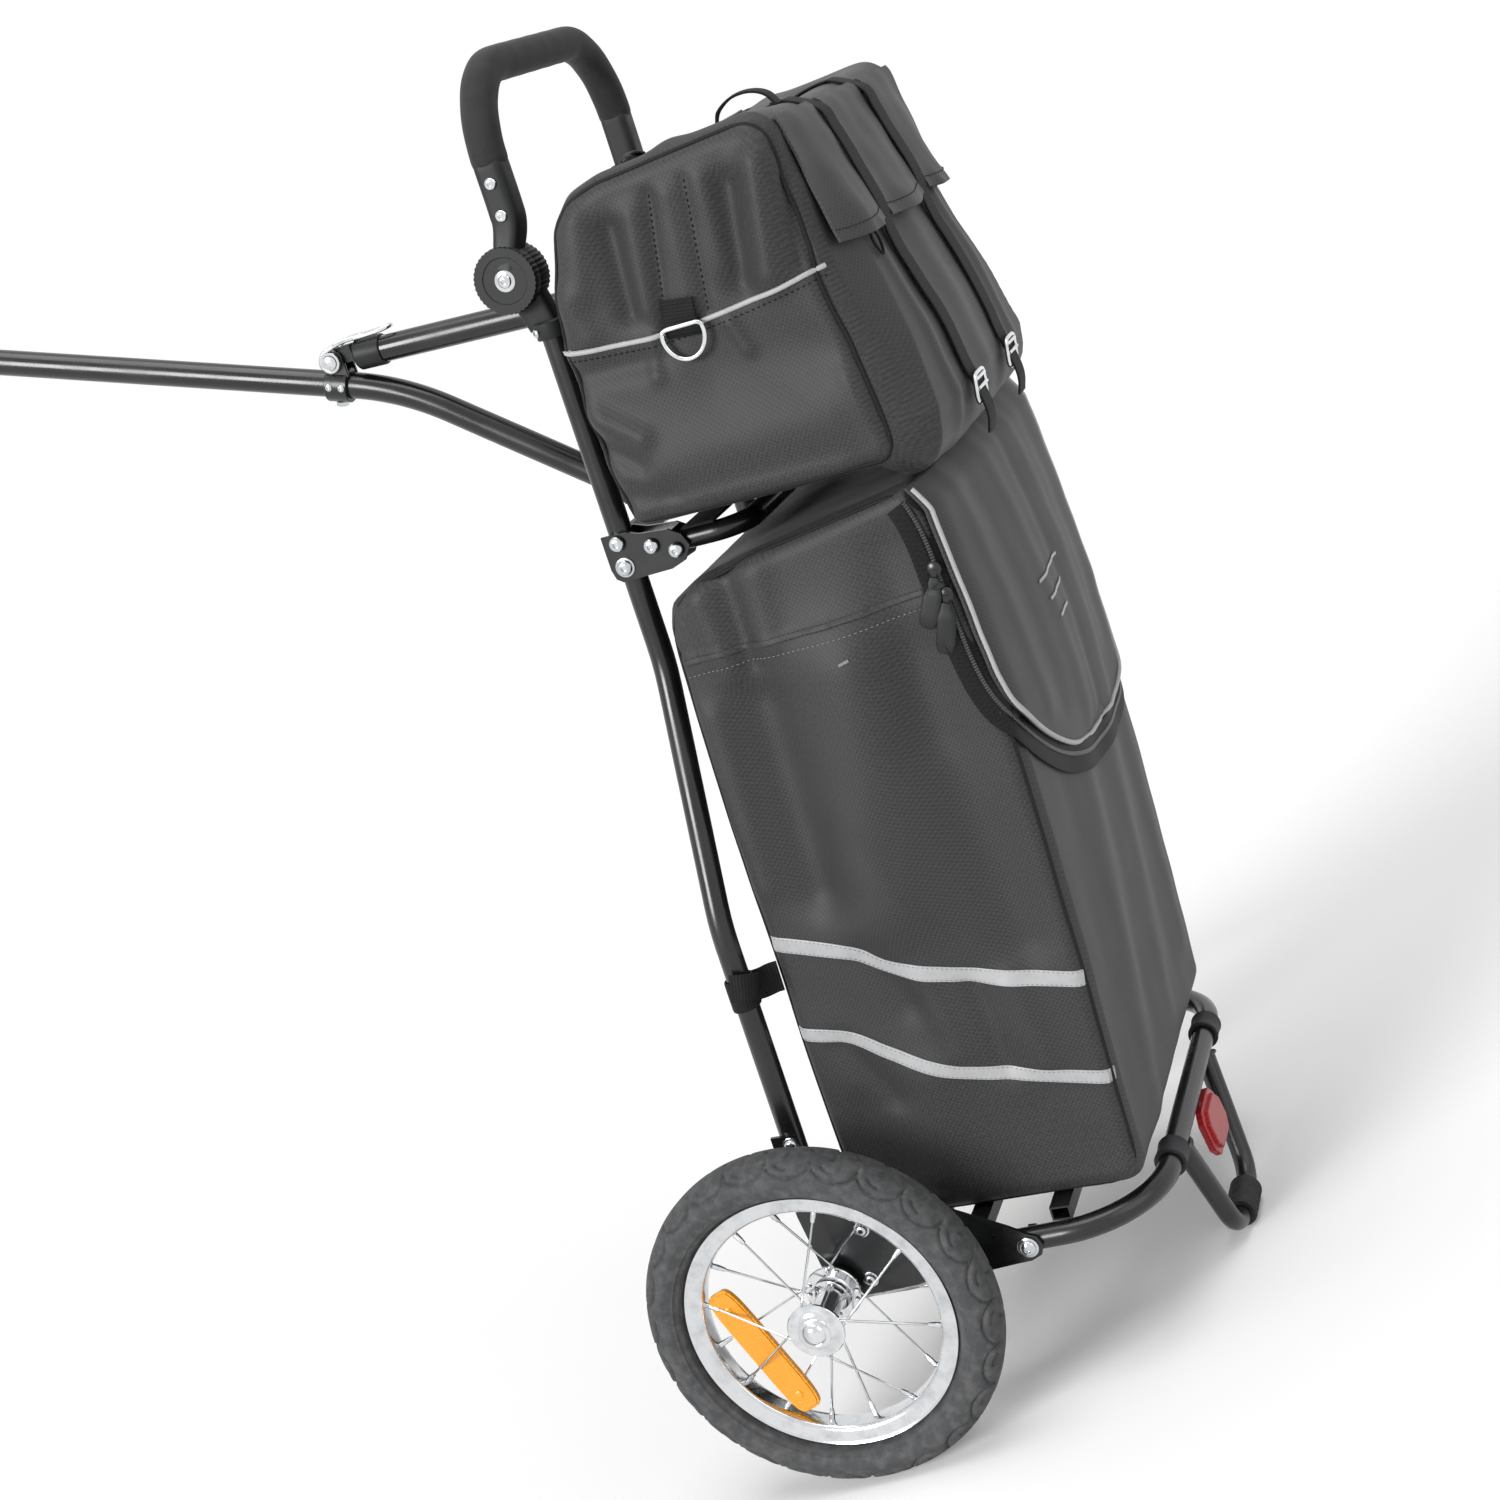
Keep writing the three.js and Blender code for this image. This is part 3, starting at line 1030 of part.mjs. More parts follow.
/** Rounded soft box from a side outline, reduced by an inset on every side. */
function softBox(sideOutline, halfWidth, rounding, inset) {
  const ys = sideOutline.map(([y]) => y);
  const zs = sideOutline.map(([, z]) => z);
  const [y0, y1, z0, z1] = [Math.min(...ys), Math.max(...ys), Math.min(...zs), Math.max(...zs)];
  const [midY, midZ] = [(y0 + y1) / 2, (z0 + z1) / 2];
  const count = sideOutline.length;
  const positions = [];
  const index = [];
  const ring = (x, shrink) => sideOutline.forEach(([y, z]) => {
    const [shareY, shareZ] = [1 - 2 * shrink / (y1 - y0), 1 - 2 * shrink / (z1 - z0)];
    positions.push(x, midY + (y - midY) * shareY, midZ + (z - midZ) * shareZ);
  });
  const angles = Array.from({ length: SOFT_STEPS + 1 }, (_, k) => k / SOFT_STEPS * Math.PI / 2);
  const half = angles.map((angle) => [
    halfWidth - rounding + (rounding - inset) * Math.sin(angle), rounding - (rounding - inset) * Math.cos(angle),
  ]);
  const rings = [...half.map(([x, shrink]) => [-x, shrink]).reverse(), ...half];
  rings.forEach(([x, shrink]) => ring(x, shrink));
  for (let j = 0; j < rings.length - 1; j += 1) {
    for (let i = 0; i < count; i += 1) {
      const [a, b] = [j * count + i, j * count + (i + 1) % count];
      index.push(a, b, b + count, a, b + count, a + count);
    }
  }
  const last = (rings.length - 1) * count;
  const centre = positions.length / COORDINATES;
  positions.push(-halfWidth + inset, midY, midZ, halfWidth - inset, midY, midZ);
  for (let i = 0; i < count; i += 1) {
    const next = (i + 1) % count;
    index.push(centre, next, i, centre + 1, last + i, last + next);
  }
  const geometry = new THREE.BufferGeometry();
  geometry.setAttribute('position', new THREE.Float32BufferAttribute(positions, COORDINATES));
  geometry.setIndex(index);
  return geometry;
}

/** Point at shares of the main bag's side. */
function mainPlace([a, b]) {
  return [MAIN_FRONT_Y + a * MAIN_DEPTH, MAIN_BOTTOM_Z + b * MAIN_HEIGHT];
}

/** Point at shares of the upper bag's side. */
function upperPlace([a, b]) {
  return [UPPER_FRONT_Y + a * UPPER_DEPTH, UPPER_BOTTOM_Z + b * UPPER_HEIGHT];
}

/** Tall bag with its door hole, and the zipped flap over it. */
function mainBag() {
  const side = MAIN_SHARES.map(mainPlace);
  const outer = softBox(side, BAG_HALF_WIDTH, BAG_ROUNDING, 0);
  const inner = softBox(side, BAG_HALF_WIDTH, BAG_ROUNDING, BAG_WALL);
  const rear = MAIN_FRONT_Y + MAIN_DEPTH;
  const middle = MAIN_FRONT_Y + MAIN_DEPTH / 2;
  const door = block(-DOOR_HALF_WIDTH, DOOR_HALF_WIDTH, middle, rear, DOOR_BOTTOM_Z, DOOR_TOP_Z);
  const strip = plate(FLAP_SHARES.map(mainPlace), -BAG_HALF_WIDTH, BAG_HALF_WIDTH).translate(0, -FLAP_SEAT, 0);
  const view = new THREE.Shape(FLAP_REAR_SHARES.map(([a, b]) => new THREE.Vector2(
    a * BAG_HALF_WIDTH, MAIN_BOTTOM_Z + b * MAIN_HEIGHT,
  )));
  const mould = new THREE.ExtrudeGeometry(view, { depth: MAIN_DEPTH * 2, bevelEnabled: false });
  mould.rotateX(Math.PI / 2);
  mould.translate(0, MAIN_DEPTH * 2, 0);
  return [
    mesh('main_bag', cut(outer, inner, door), 'fabric'),
    mesh('bag_flap', common(strip, mould), 'fabric'),
  ];
}

/** Upper bag with its rear pocket, zip, zip pull, side tabs and D-rings. */
function upperBag() {
  const side = UPPER_SHARES.map(upperPlace);
  const rounding = UPPER_ROUNDING;
  const outer = softBox(side, BAG_HALF_WIDTH, rounding, 0);
  const inner = softBox(side, BAG_HALF_WIDTH, rounding, BAG_WALL);
  const [zipY, zipZ] = upperPlace(ZIP_START_SHARES);
  const [zipEndY, zipEndZ] = upperPlace(ZIP_END_SHARES);
  const slitDrop = BAG_ROUNDING * 2;
  const slit = block(
    -ZIP_HALF_LENGTH, ZIP_HALF_LENGTH, zipY + GAP, zipEndY - GAP, zipZ - slitDrop, zipZ + slitDrop,
  );
  const tab = block(
    BAG_HALF_WIDTH - BAG_WALL, BAG_HALF_WIDTH + TAB_THICKNESS, RING_Y - TAB_HALF_WIDTH,
    RING_Y + TAB_HALF_WIDTH, RING_Z - TAB_HEIGHT / 2, RING_Z + TAB_HEIGHT / 2,
  );
  const ringX = BAG_HALF_WIDTH + TAB_THICKNESS / 2;
  const eye = tube(
    [at(ringX, RING_Y - RING_HALF_WIDTH, RING_Z), at(ringX, RING_Y + RING_HALF_WIDTH, RING_Z)],
    RING_WIRE + GAP,
  );
  const strapTab = [UPPER_X - PLATE, UPPER_X + PLATE, TUBE_RADIUS, UPPER_FRONT_Y + BAG_ROUNDING * 2];
  const straps = tubeStrap(UPPER_X, UPPER_STRAP_Z - UPPER_STRAP_HEIGHT, UPPER_STRAP_HEIGHT, strapTab);
  const bulge = POCKET_SHARES.map(upperPlace);
  const pocket = softBox(bulge, POCKET_HALF_WIDTH, rounding, 0);
  const pocketInside = softBox(bulge, POCKET_HALF_WIDTH, rounding, BAG_WALL);
  const skin = cut(join(outer, pocket), inner, pocketInside, slit);
  const shell = cut(join(skin, tab, mirrored(tab)), eye, mirrored(eye));
  const upright = tube([at(UPPER_X, 0, UPPER_START_Z), at(UPPER_X, 0, UPPER_END_Z)], TUBE_RADIUS + GAP);
  const cavity = softBox(side, BAG_HALF_WIDTH, rounding, BAG_WALL);
  const loops = cut(join(straps), upright, cavity);
  const zipShape = [
    [zipY - PLATE, zipZ], [zipEndY + PLATE, zipEndZ], [zipEndY + PLATE, zipEndZ + ZIP_THICKNESS],
    [zipY - PLATE, zipZ + ZIP_THICKNESS],
  ];
  const tape = plate(zipShape, -ZIP_HALF_LENGTH - PLATE, ZIP_HALF_LENGTH + PLATE).translate(0, 0, GAP * 2);
  const pullZ = zipEndZ + ZIP_THICKNESS + GAP * 3;
  const pull = block(
    ZIP_PULL_X - ZIP_PULL_LENGTH / 2, ZIP_PULL_X + ZIP_PULL_LENGTH / 2, zipY, zipEndY, pullZ,
    pullZ + ZIP_PULL_HEIGHT,
  );
  return [
    mesh('upper_bag', join(shell, loops, mirrored(loops)), 'fabric'),
    mesh('upper_zip', tape, 'plastic'),
    mesh('zip_pull', pull, 'plastic'),
    ...pair('side_ring', sideRing(ringX), 'chrome'),
  ];
}

/** D-ring on the upper bag's left side. */
function sideRing(x) {
  const bar = tube(
    [at(x, RING_Y - RING_HALF_WIDTH, RING_Z), at(x, RING_Y + RING_HALF_WIDTH, RING_Z)], RING_WIRE,
  );
  const arc = Array.from({ length: ROUND_SIDES + 1 }, (_, i) => {
    const angle = i / ROUND_SIDES * Math.PI;
    return at(
      x, RING_Y + RING_HALF_WIDTH * Math.cos(angle),
      RING_Z - RING_DROP / 2 - (RING_DROP + RING_DROP / 2) * Math.sin(angle),
    );
  });
  const front = tube(
    [at(x, RING_Y + RING_HALF_WIDTH, RING_Z + RING_WIRE), ...arc, at(
      x, RING_Y - RING_HALF_WIDTH, RING_Z + RING_WIRE,
    )],
    RING_WIRE, 0, 0, SPOKE_SIDES + 2,
  );
  return join(bar, front);
}

/** Lean that sets the tyres and the stand's foot on one floor. */
function parkedLean() {
  const reach = Math.hypot(STAND_FOOT_Y, STAND_FOOT_Z);
  return Math.asin((TYRE_RADIUS - FOOT_SLEEVE_RADIUS) / reach) - Math.atan2(-STAND_FOOT_Z, STAND_FOOT_Y);
}

/** Whole trailer, parked on its tyres and stand. */
function trailer() {
  const body = new THREE.Group();
  body.add(
    ...wheels(), ...chassis(), ...platform(), ...upperFrame(), ...handle(), ...drawbar(), ...brace(),
    ...hitch(), ...mainBag(), ...upperBag(),
  );
  body.rotation.x = -parkedLean();
  const whole = new THREE.Group();
  whole.add(body);
  whole.updateMatrixWorld(true);
  const box = new THREE.Box3().setFromObject(whole, true);
  body.position.set(-(box.min.x + box.max.x) / 2, -(box.min.y + box.max.y) / 2, -box.min.z);
  whole.updateMatrixWorld(true);
  return whole;
}

export default trailer();
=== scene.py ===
"""Looks of a folding two-wheel shopping trailer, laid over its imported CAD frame.

Shapes are worked out in the trailer's own millimetres: X to its left, Y to its rear, Z up along the
uprights, axle at the origin. parked() turns them into the frame's metres, leaned back on the stand.
"""

import logging
import math
from dataclasses import dataclass, field
from enum import Enum
from typing import Callable

import bpy
import numpy as np
from mathutils import Matrix, Vector
from mathutils.bvhtree import BVHTree


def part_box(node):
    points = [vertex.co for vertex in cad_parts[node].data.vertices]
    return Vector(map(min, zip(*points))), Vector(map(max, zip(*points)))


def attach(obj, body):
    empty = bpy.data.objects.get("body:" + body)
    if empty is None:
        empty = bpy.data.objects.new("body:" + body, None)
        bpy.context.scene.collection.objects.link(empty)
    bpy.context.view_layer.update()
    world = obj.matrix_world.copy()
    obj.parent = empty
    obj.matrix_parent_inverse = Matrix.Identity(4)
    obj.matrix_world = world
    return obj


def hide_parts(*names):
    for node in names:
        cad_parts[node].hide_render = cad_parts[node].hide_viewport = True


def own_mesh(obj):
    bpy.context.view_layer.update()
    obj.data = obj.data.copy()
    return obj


Array = np.ndarray
LOG = logging.getLogger("trailer")
MM = 0.001
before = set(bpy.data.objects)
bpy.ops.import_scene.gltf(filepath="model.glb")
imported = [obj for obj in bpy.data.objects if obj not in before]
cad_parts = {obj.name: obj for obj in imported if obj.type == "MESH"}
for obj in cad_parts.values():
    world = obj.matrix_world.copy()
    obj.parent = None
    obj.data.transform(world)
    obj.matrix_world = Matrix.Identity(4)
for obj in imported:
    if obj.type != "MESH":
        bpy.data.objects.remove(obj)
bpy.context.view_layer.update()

TYRE_RADIUS = 143.5
FOOT_RADIUS = 13.5
FOOT_PLACE = (283.0, -92.0)
LEAN = math.asin((TYRE_RADIUS - FOOT_RADIUS) / math.hypot(*FOOT_PLACE)) - math.atan2(-FOOT_PLACE[1],
    FOOT_PLACE[0])
AXLE_MIDDLE = (np.array(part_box("axle")[0]) + np.array(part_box("axle")[1])) / 2


class Side(Enum):
    """Side of the trailer; the value is the sign of X."""

    LEFT = 1
    RIGHT = -1


class Ends(Enum):
    """How a skin is closed along its length."""

    JOINED = "joined"
    FANNED = "fanned"


def parked(points: Array) -> Array:
    """Turns the trailer's own millimetres into the frame's metres.

    Args:
        points: Places in the trailer's own frame, last axis X, Y, Z.
    Returns:
        The same places leaned back by LEAN about X and set on the axle's middle.
    """
    x, y, z = np.moveaxis(np.asarray(points, dtype=float), -1, 0)
    cos, sin = math.cos(LEAN), math.sin(LEAN)
    return np.stack([x, y * cos + z * sin, z * cos - y * sin], axis=-1) * MM + AXLE_MIDDLE


def unit(vectors: Array) -> Array:
    """Vectors scaled to length one along the last axis."""
    return vectors / np.maximum(np.linalg.norm(vectors, axis=-1, keepdims=True), 1e-9)


def linear(code: str) -> tuple[float, float, float, float]:
    """Turns an sRGB hex colour into linear light.

    Args:
        code: Six hex digits.
    Returns:
        Linear red, green, blue and an alpha of one.
    """
    parts = [int(code[i:i + 2], 16) / 255 for i in (0, 2, 4)]
    light = [p / 12.92 if p <= 0.04045 else ((p + 0.055) / 1.055) ** 2.4 for p in parts]
    return (light[0], light[1], light[2], 1.0)


# Sections and paths

def circle(radius: float, count: int = 28) -> Array:
    """Round section: radius times the cosine and sine of evenly spaced angles."""
    angle = np.arange(count) / count * 2 * math.pi
    return np.stack([np.cos(angle), np.sin(angle)], axis=-1) * radius


def slab(width: float, height: float, power: float = 6.0, count: int = 24) -> Array:
    """Flat section with round corners, a superellipse of half width and half height.

    Args:
        width: Full width.
        height: Full height.
        power: Exponent, where 2 is an ellipse and more is squarer.
        count: Points round it.
    Returns:
        Points x = w cos|cos|^(2/p - 1), y = h sin|sin|^(2/p - 1) of evenly spaced angles.
    """
    angle = (np.arange(count) + 0.5) / count * 2 * math.pi
    wave = np.stack([np.cos(angle), np.sin(angle)], axis=-1)
    return np.sign(wave) * np.abs(wave) ** (2 / power) * np.array([width, height]) / 2


def rounded(corners: list, radius: float, step_deg: float = 5.0) -> Array:
    """Path of straight runs with an arc of one radius at each inner corner.

    Args:
        corners: Corner places.
        radius: Radius of the middle line's arcs.
        step_deg: Angle between the points of an arc.
    Returns:
        Points; an arc is centre + cos(a) from + sin(a) (axis x from).
    """
    knots = [np.asarray(corner, dtype=float) for corner in corners]
    runs = [knots[0][None]]
    for before, corner, after in zip(knots, knots[1:], knots[2:]):
        back, ahead = unit(before - corner), unit(after - corner)
        half = math.acos(float(np.clip(back @ ahead, -1, 1))) / 2
        centre = corner + unit(back + ahead) * radius / math.sin(half)
        start = corner + back * radius / math.tan(half) - centre
        axis = unit(np.cross(back, -ahead) * -1)
        sweep = math.pi - 2 * half
        angle = np.linspace(0, sweep, max(int(math.degrees(sweep) / step_deg), 2) + 1)[:, None]
        arc = np.cos(angle) * start + np.sin(angle) * np.cross(axis, start)
        wanted = corner + ahead * radius / math.tan(half) - centre
        if np.linalg.norm(arc[-1] - wanted) > 1e-3:
            arc = np.cos(angle) * start - np.sin(angle) * np.cross(axis, start)
        runs.append(centre + arc)
    runs.append(knots[-1][None])
    return np.concatenate(runs)


def spline(knots: list, count: int, closed: bool = False) -> Array:
    """Smooth curve through knots, evenly spaced along its length.

    Args:
        knots: Places that the curve passes through.
        count: Number of points.
        closed: Whether the last knot meets the first.
    Returns:
        Points of a Catmull-Rom curve, resampled at equal arc lengths.
    """
    k = np.asarray(knots, dtype=float)
    if closed:
        k = np.concatenate([k[-1:], k, k[:2]])
    else:
        k = np.concatenate([2 * k[:1] - k[1:2], k, 2 * k[-1:] - k[-2:-1]])
    t = np.linspace(0, 1, 16, endpoint=False)[None, :, None]
    a, b, c, d = (k[i:len(k) - 3 + i][:, None] for i in range(4))
    fine = 0.5 * (2 * b + (c - a) * t + (2 * a - 5 * b + 4 * c - d) * t ** 2 + (3 * b - a - 3 * c + d) * t ** 3)
    fine = np.concatenate([fine.reshape(-1, k.shape[1]), k[-2:-1]])
    return evenly(fine, count, closed)


def evenly(points: Array, count: int, closed: bool = False) -> Array:
    """Resamples a polyline at equal arc lengths.

    Args:
        points: Polyline; a closed one ends where it starts.
        count: Number of points wanted.
        closed: Whether to leave out the last point.
    Returns:
        Points at equal steps of the summed segment lengths.
    """
    steps = np.linalg.norm(np.diff(points, axis=0), axis=1)
    along = np.concatenate([[0], np.cumsum(steps)])
    wanted = np.linspace(0, along[-1], count + 1 if closed else count)
    made = np.stack([np.interp(wanted, along, points[:, i]) for i in range(points.shape[1])], axis=-1)
    return made[:-1] if closed else made


def sweep(path: Array, section: Array, normal: Array, size: Array | float = 1.0,
          closed: bool = False) -> Array:
    """Carries a flat section along a path.

    Args:
        path: Points of the middle line.
        section: Section points; its X lies across the path and its Y along the normal.
        normal: One vector, or one for each point, that the section's Y is kept near.
        size: Scale of the section at each point.
        closed: Whether the path is a loop.
    Returns:
        Grid of point + across * section X + up * section Y, rows along the path.
    """
    if closed:
        run = unit(np.roll(path, -1, axis=0) - path)
        tangent = unit(run + np.roll(run, 1, axis=0))
    else:
        run = unit(np.diff(path, axis=0))
        tangent = unit(np.concatenate([run[:1], run[:-1] + run[1:], run[-1:]]))
    across = unit(np.cross(tangent, np.broadcast_to(normal, path.shape)))
    up = np.cross(across, tangent)
    scaled = np.broadcast_to(np.asarray(size, dtype=float), (len(path),))[:, None, None] * section[None]
    return path[:, None] + across[:, None] * scaled[..., :1] + up[:, None] * scaled[..., 1:]


def turned(profile: list, centre: tuple, axis: tuple = (1, 0, 0), count: int = 48) -> Array:
    """Turns a profile about an axis.

    Args:
        profile: Radius and distance along the axis, in order.
        centre: A place on the axis.
        axis: Direction of the axis.
        count: Points round each ring.
    Returns:
        Grid of centre + axis * distance + radius * (cos a, sin a) in the plane across it.
    """
    along = unit(np.asarray(axis, dtype=float))
    first = unit(np.cross(along, [0.0, 0.0, 1.0] if abs(along[2]) < 0.9 else [0.0, 1.0, 0.0]))
    second = np.cross(along, first)
    ring = circle(1.0, count)
    flat = ring[:, :1] * first + ring[:, 1:] * second
    shape = np.asarray(profile, dtype=float)
    return np.asarray(centre, dtype=float) + shape[:, None, 1:] * along + shape[:, None, :1] * flat[None]


def prism(outline: list, x0: float, x1: float, edge: float = 0.6) -> Array:
    """Plate from a Y-Z outline with softened rims.

    Args:
        outline: Y and Z of the rim's corners, round the plate.
        x0: X of one face.
        x1: X of the other face.
        edge: Width of the softened rim.
    Returns:
        Grid of the outline at four X stations, drawn in by edge at both faces.
    """
    rim = np.asarray(outline, dtype=float)
    inward = rim.mean(axis=0) - rim
    rows = []
    for x, inset in ((x0, edge), (x0 + edge, 0.0), (x1 - edge, 0.0), (x1, edge)):
        rows.append(np.column_stack([np.full(len(rim), x), rim + unit(inward) * inset]))
    return np.stack(rows)


# Meshes

@dataclass
class Skin:
    """Closed skins of one piece, gathered as grids in the trailer's own millimetres."""

    points: list = field(default_factory=list)
    faces: list = field(default_factory=list)
    cloth: list = field(default_factory=list)
    count: int = 0

    def add(self, grid: Array, ends: Ends = Ends.FANNED) -> "Skin":
        """Adds a grid whose columns run round a closed section.

        Each cell becomes a quad. Ends are joined, or closed by a fan to the end ring's mean. The sign of
        the summed tetrahedra (a . b x c over six) turns the faces outwards. UVs are the mean arc lengths
        along the rows and round the columns, in metres.

        Args:
            grid: Rows, columns, X Y Z.
            ends: How the first and last rows are closed.
        Returns:
            The skin itself.
        """
        rows, cols, _ = grid.shape
        joined = ends is Ends.JOINED
        i, j = np.meshgrid(np.arange(rows if joined else rows - 1), np.arange(cols), indexing="ij")
        corners = [(i, j), (i + 1, j), (i + 1, j + 1), (i, j + 1)]
        quads = np.stack([(a % rows) * cols + b % cols for a, b in corners], axis=-1).reshape(-1, 4)
        ring = np.vstack([grid, grid[:1]]) if joined else grid
        along = np.concatenate([[0], np.cumsum(np.linalg.norm(np.diff(ring, axis=0), axis=-1).mean(axis=1))])
        loop = np.concatenate([grid, grid[:, :1]], axis=1)
        around = np.concatenate([[0], np.cumsum(np.linalg.norm(np.diff(loop, axis=1), axis=-1).mean(axis=0))])
        quad_uv = np.stack([np.stack([along[a], around[b]], axis=-1) for a, b in corners],
                           axis=-2).reshape(-1, 4, 2)
        points, fans, fan_uv = grid.reshape(-1, 3), np.zeros((0, 3), int), np.zeros((0, 3, 2))
        if not joined:
            k = np.arange(cols)
            mids = np.stack([grid[0].mean(axis=0), grid[-1].mean(axis=0)])
            points = np.vstack([points, mids])
            last = (rows - 1) * cols
            first_fan = np.stack([np.full(cols, rows * cols), k, (k + 1) % cols], axis=-1)
            last_fan = np.stack([np.full(cols, rows * cols + 1), last + (k + 1) % cols, last + k], axis=-1)
            fans = np.vstack([first_fan, last_fan])
            reach = np.linalg.norm(grid[0] - mids[0], axis=-1).mean(), np.linalg.norm(grid[-1] - mids[1],
                axis=-1).mean()
            a, b = around[:-1], around[1:]
            low = np.stack([np.stack([0 * a - reach[0], a], -1), np.stack([0 * a, a], -1),
                            np.stack([0 * a, b], -1)], axis=1)
            top = np.stack([np.stack([0 * a + along[-1] + reach[1], a], -1),
                            np.stack([0 * a + along[-1], b], -1),
                            np.stack([0 * a + along[-1], a], -1)], axis=1)
            fan_uv = np.vstack([low, top])
        tris = np.vstack([quads[:, [0, 1, 2]], quads[:, [0, 2, 3]], fans])
        a, b, c = (points[tris[:, n]] - points.mean(axis=0) for n in range(3))
        if np.einsum("ij,ij->", a, np.cross(b, c)) < 0:
            quads, quad_uv, fans, fan_uv = quads[:, ::-1], quad_uv[:, ::-1], fans[:, ::-1], fan_uv[:, ::-1]
        self.points.append(points)
        self.faces += (quads + self.count).tolist() + (fans + self.count).tolist()
        self.cloth.append(np.vstack([quad_uv.reshape(-1, 2), fan_uv.reshape(-1, 2)]) * MM)
        self.count += len(points)
        return self

    def mirrored(self, side: Side) -> "Skin":
        """Skin on a side of the trailer, from one built on the left: X changes sign and each face turns round."""
        if side is Side.LEFT:
            return self
        sizes = np.array([len(face) for face in self.faces])
        starts = np.cumsum(sizes) - sizes
        order = (2 * np.repeat(starts, sizes) + np.repeat(sizes, sizes) - 1) - np.arange(sizes.sum())
        faces = [face[::-1] for face in self.faces]
        points = [np.vstack(self.points) * np.array([-1, 1, 1])]
        return Skin(points, faces, [np.vstack(self.cloth)[order]], self.count)

    def build(self, name: str, finish: "Finish", body: str, slot: str, replaces: tuple[str, ...] = (),
              sharp_deg: float = 38.0, levels: int = 0) -> bpy.types.Object:
        """Makes the piece and tells the frame what it rides on.

        Args:
            name: Object name.
            finish: Its finish.
            body: Body that it rides on.
            slot: Material slot of the record; not used.
            replaces: CAD nodes that it stands for.
            sharp_deg: Edges sharper than this stay crisp.
            levels: Subdivision levels.
        Returns:
            The object.
        """
        mesh = bpy.data.meshes.new(name)
        mesh.from_pydata(parked(np.vstack(self.points)), [], self.faces)
        mesh.uv_layers.new(name="cloth").data.foreach_set("uv", np.vstack(self.cloth).ravel())
        mesh.shade_smooth()
        mesh.set_sharp_from_angle(angle=math.radians(sharp_deg))
        mesh.materials.append(finish.material())
        piece = bpy.data.objects.new(name, mesh)
        bpy.context.scene.collection.objects.link(piece)
        if levels:
            smooth = piece.modifiers.new("smooth", "SUBSURF")
            smooth.levels = smooth.render_levels = levels
        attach(piece, body)
        if replaces:
            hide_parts(*replaces)
        LOG.info("%s: %d faces on %s", name, len(self.faces), body)
        return piece


# Finishes

def node(tree: bpy.types.NodeTree, kind: str, links: dict | None = None,
         **settings: object) -> bpy.types.Node:
    """Adds one shader node.

    Args:
        tree: Node tree that it goes into.
        kind: Node type, without its ShaderNode start.
        links: Input name or number, to a socket that feeds it or a value.
        settings: Attributes of the node.
    Returns:
        The node.
    """
    made = tree.nodes.new("ShaderNode" + kind)
    for key, value in settings.items():
        setattr(made, key, value)
    for key, value in (links or {}).items():
        if isinstance(value, bpy.types.NodeSocket):
            tree.links.new(value, made.inputs[key])
        else:
            made.inputs[key].default_value = value
    return made


@dataclass(frozen=True)
class Finish:
    """A surface finish; each kind adds its own pattern to a plain shader."""

    name: str
    colour: str
    roughness: float = 0.5

    def material(self) -> bpy.types.Material:
        """Material of this finish, made once."""
        if self.name in bpy.data.materials:
            return bpy.data.materials[self.name]
        made = bpy.data.materials.new(self.name)
        made.use_nodes = True
        made.diffuse_color = linear(self.colour)
        shader = made.node_tree.nodes["Principled BSDF"]
        shader.inputs["Base Color"].default_value = linear(self.colour)
        shader.inputs["Roughness"].default_value = self.roughness
        self.pattern(made.node_tree, shader)
        return made

    def pattern(self, tree: bpy.types.NodeTree, shader: bpy.types.Node) -> None:
        """Adds the finish's own nodes; a plain finish has none."""

    def grain(self, tree: bpy.types.NodeTree, size_mm: float, detail: float = 4.0,
              from_cloth: bool = False) -> bpy.types.Node:
        """Noise whose blotches are about size_mm across, on object or cloth coordinates."""
        place = node(tree, "TexCoord").outputs["UV" if from_cloth else "Object"]
        return node(tree, "TexNoise", {"Vector": place, "Scale": 1 / (size_mm * MM), "Detail": detail,
                                       "Roughness": 0.6})

    def tint(self, tree: bpy.types.NodeTree, shader: bpy.types.Node, amount: bpy.types.NodeSocket, other: str,
             low: float = 0.0, high: float = 1.0) -> bpy.types.Node:
        """Mixes the finish's colour towards another where amount runs from low to high."""
        share = node(tree, "MapRange", {"Value": amount, "From Min": low, "From Max": high})
        mix = node(tree, "Mix", data_type="RGBA")
        tree.links.new(share.outputs["Result"], mix.inputs["Factor"])
        mix.inputs[6].default_value = linear(self.colour)
        mix.inputs[7].default_value = linear(other)
        tree.links.new(mix.outputs[2], shader.inputs["Base Color"])
        return mix

    def rough(self, tree: bpy.types.NodeTree, shader: bpy.types.Node, amount: bpy.types.NodeSocket,
              spread: float) -> None:
        """Varies the roughness by spread about its own value."""
        share = node(tree, "MapRange", {"Value": amount, "From Min": 0.3, "From Max": 0.7,
                                        "To Min": self.roughness - spread, "To Max": self.roughness + spread})
        tree.links.new(share.outputs["Result"], shader.inputs["Roughness"])

    def bump(self, tree: bpy.types.NodeTree, shader: bpy.types.Node, height: bpy.types.NodeSocket,
             depth_mm: float, strength: float = 1.0) -> None:
        """Raises the surface by depth_mm where height is one."""
        made = node(tree, "Bump", {"Height": height, "Distance": depth_mm * MM, "Strength": strength})
        tree.links.new(made.outputs["Normal"], shader.inputs["Normal"])


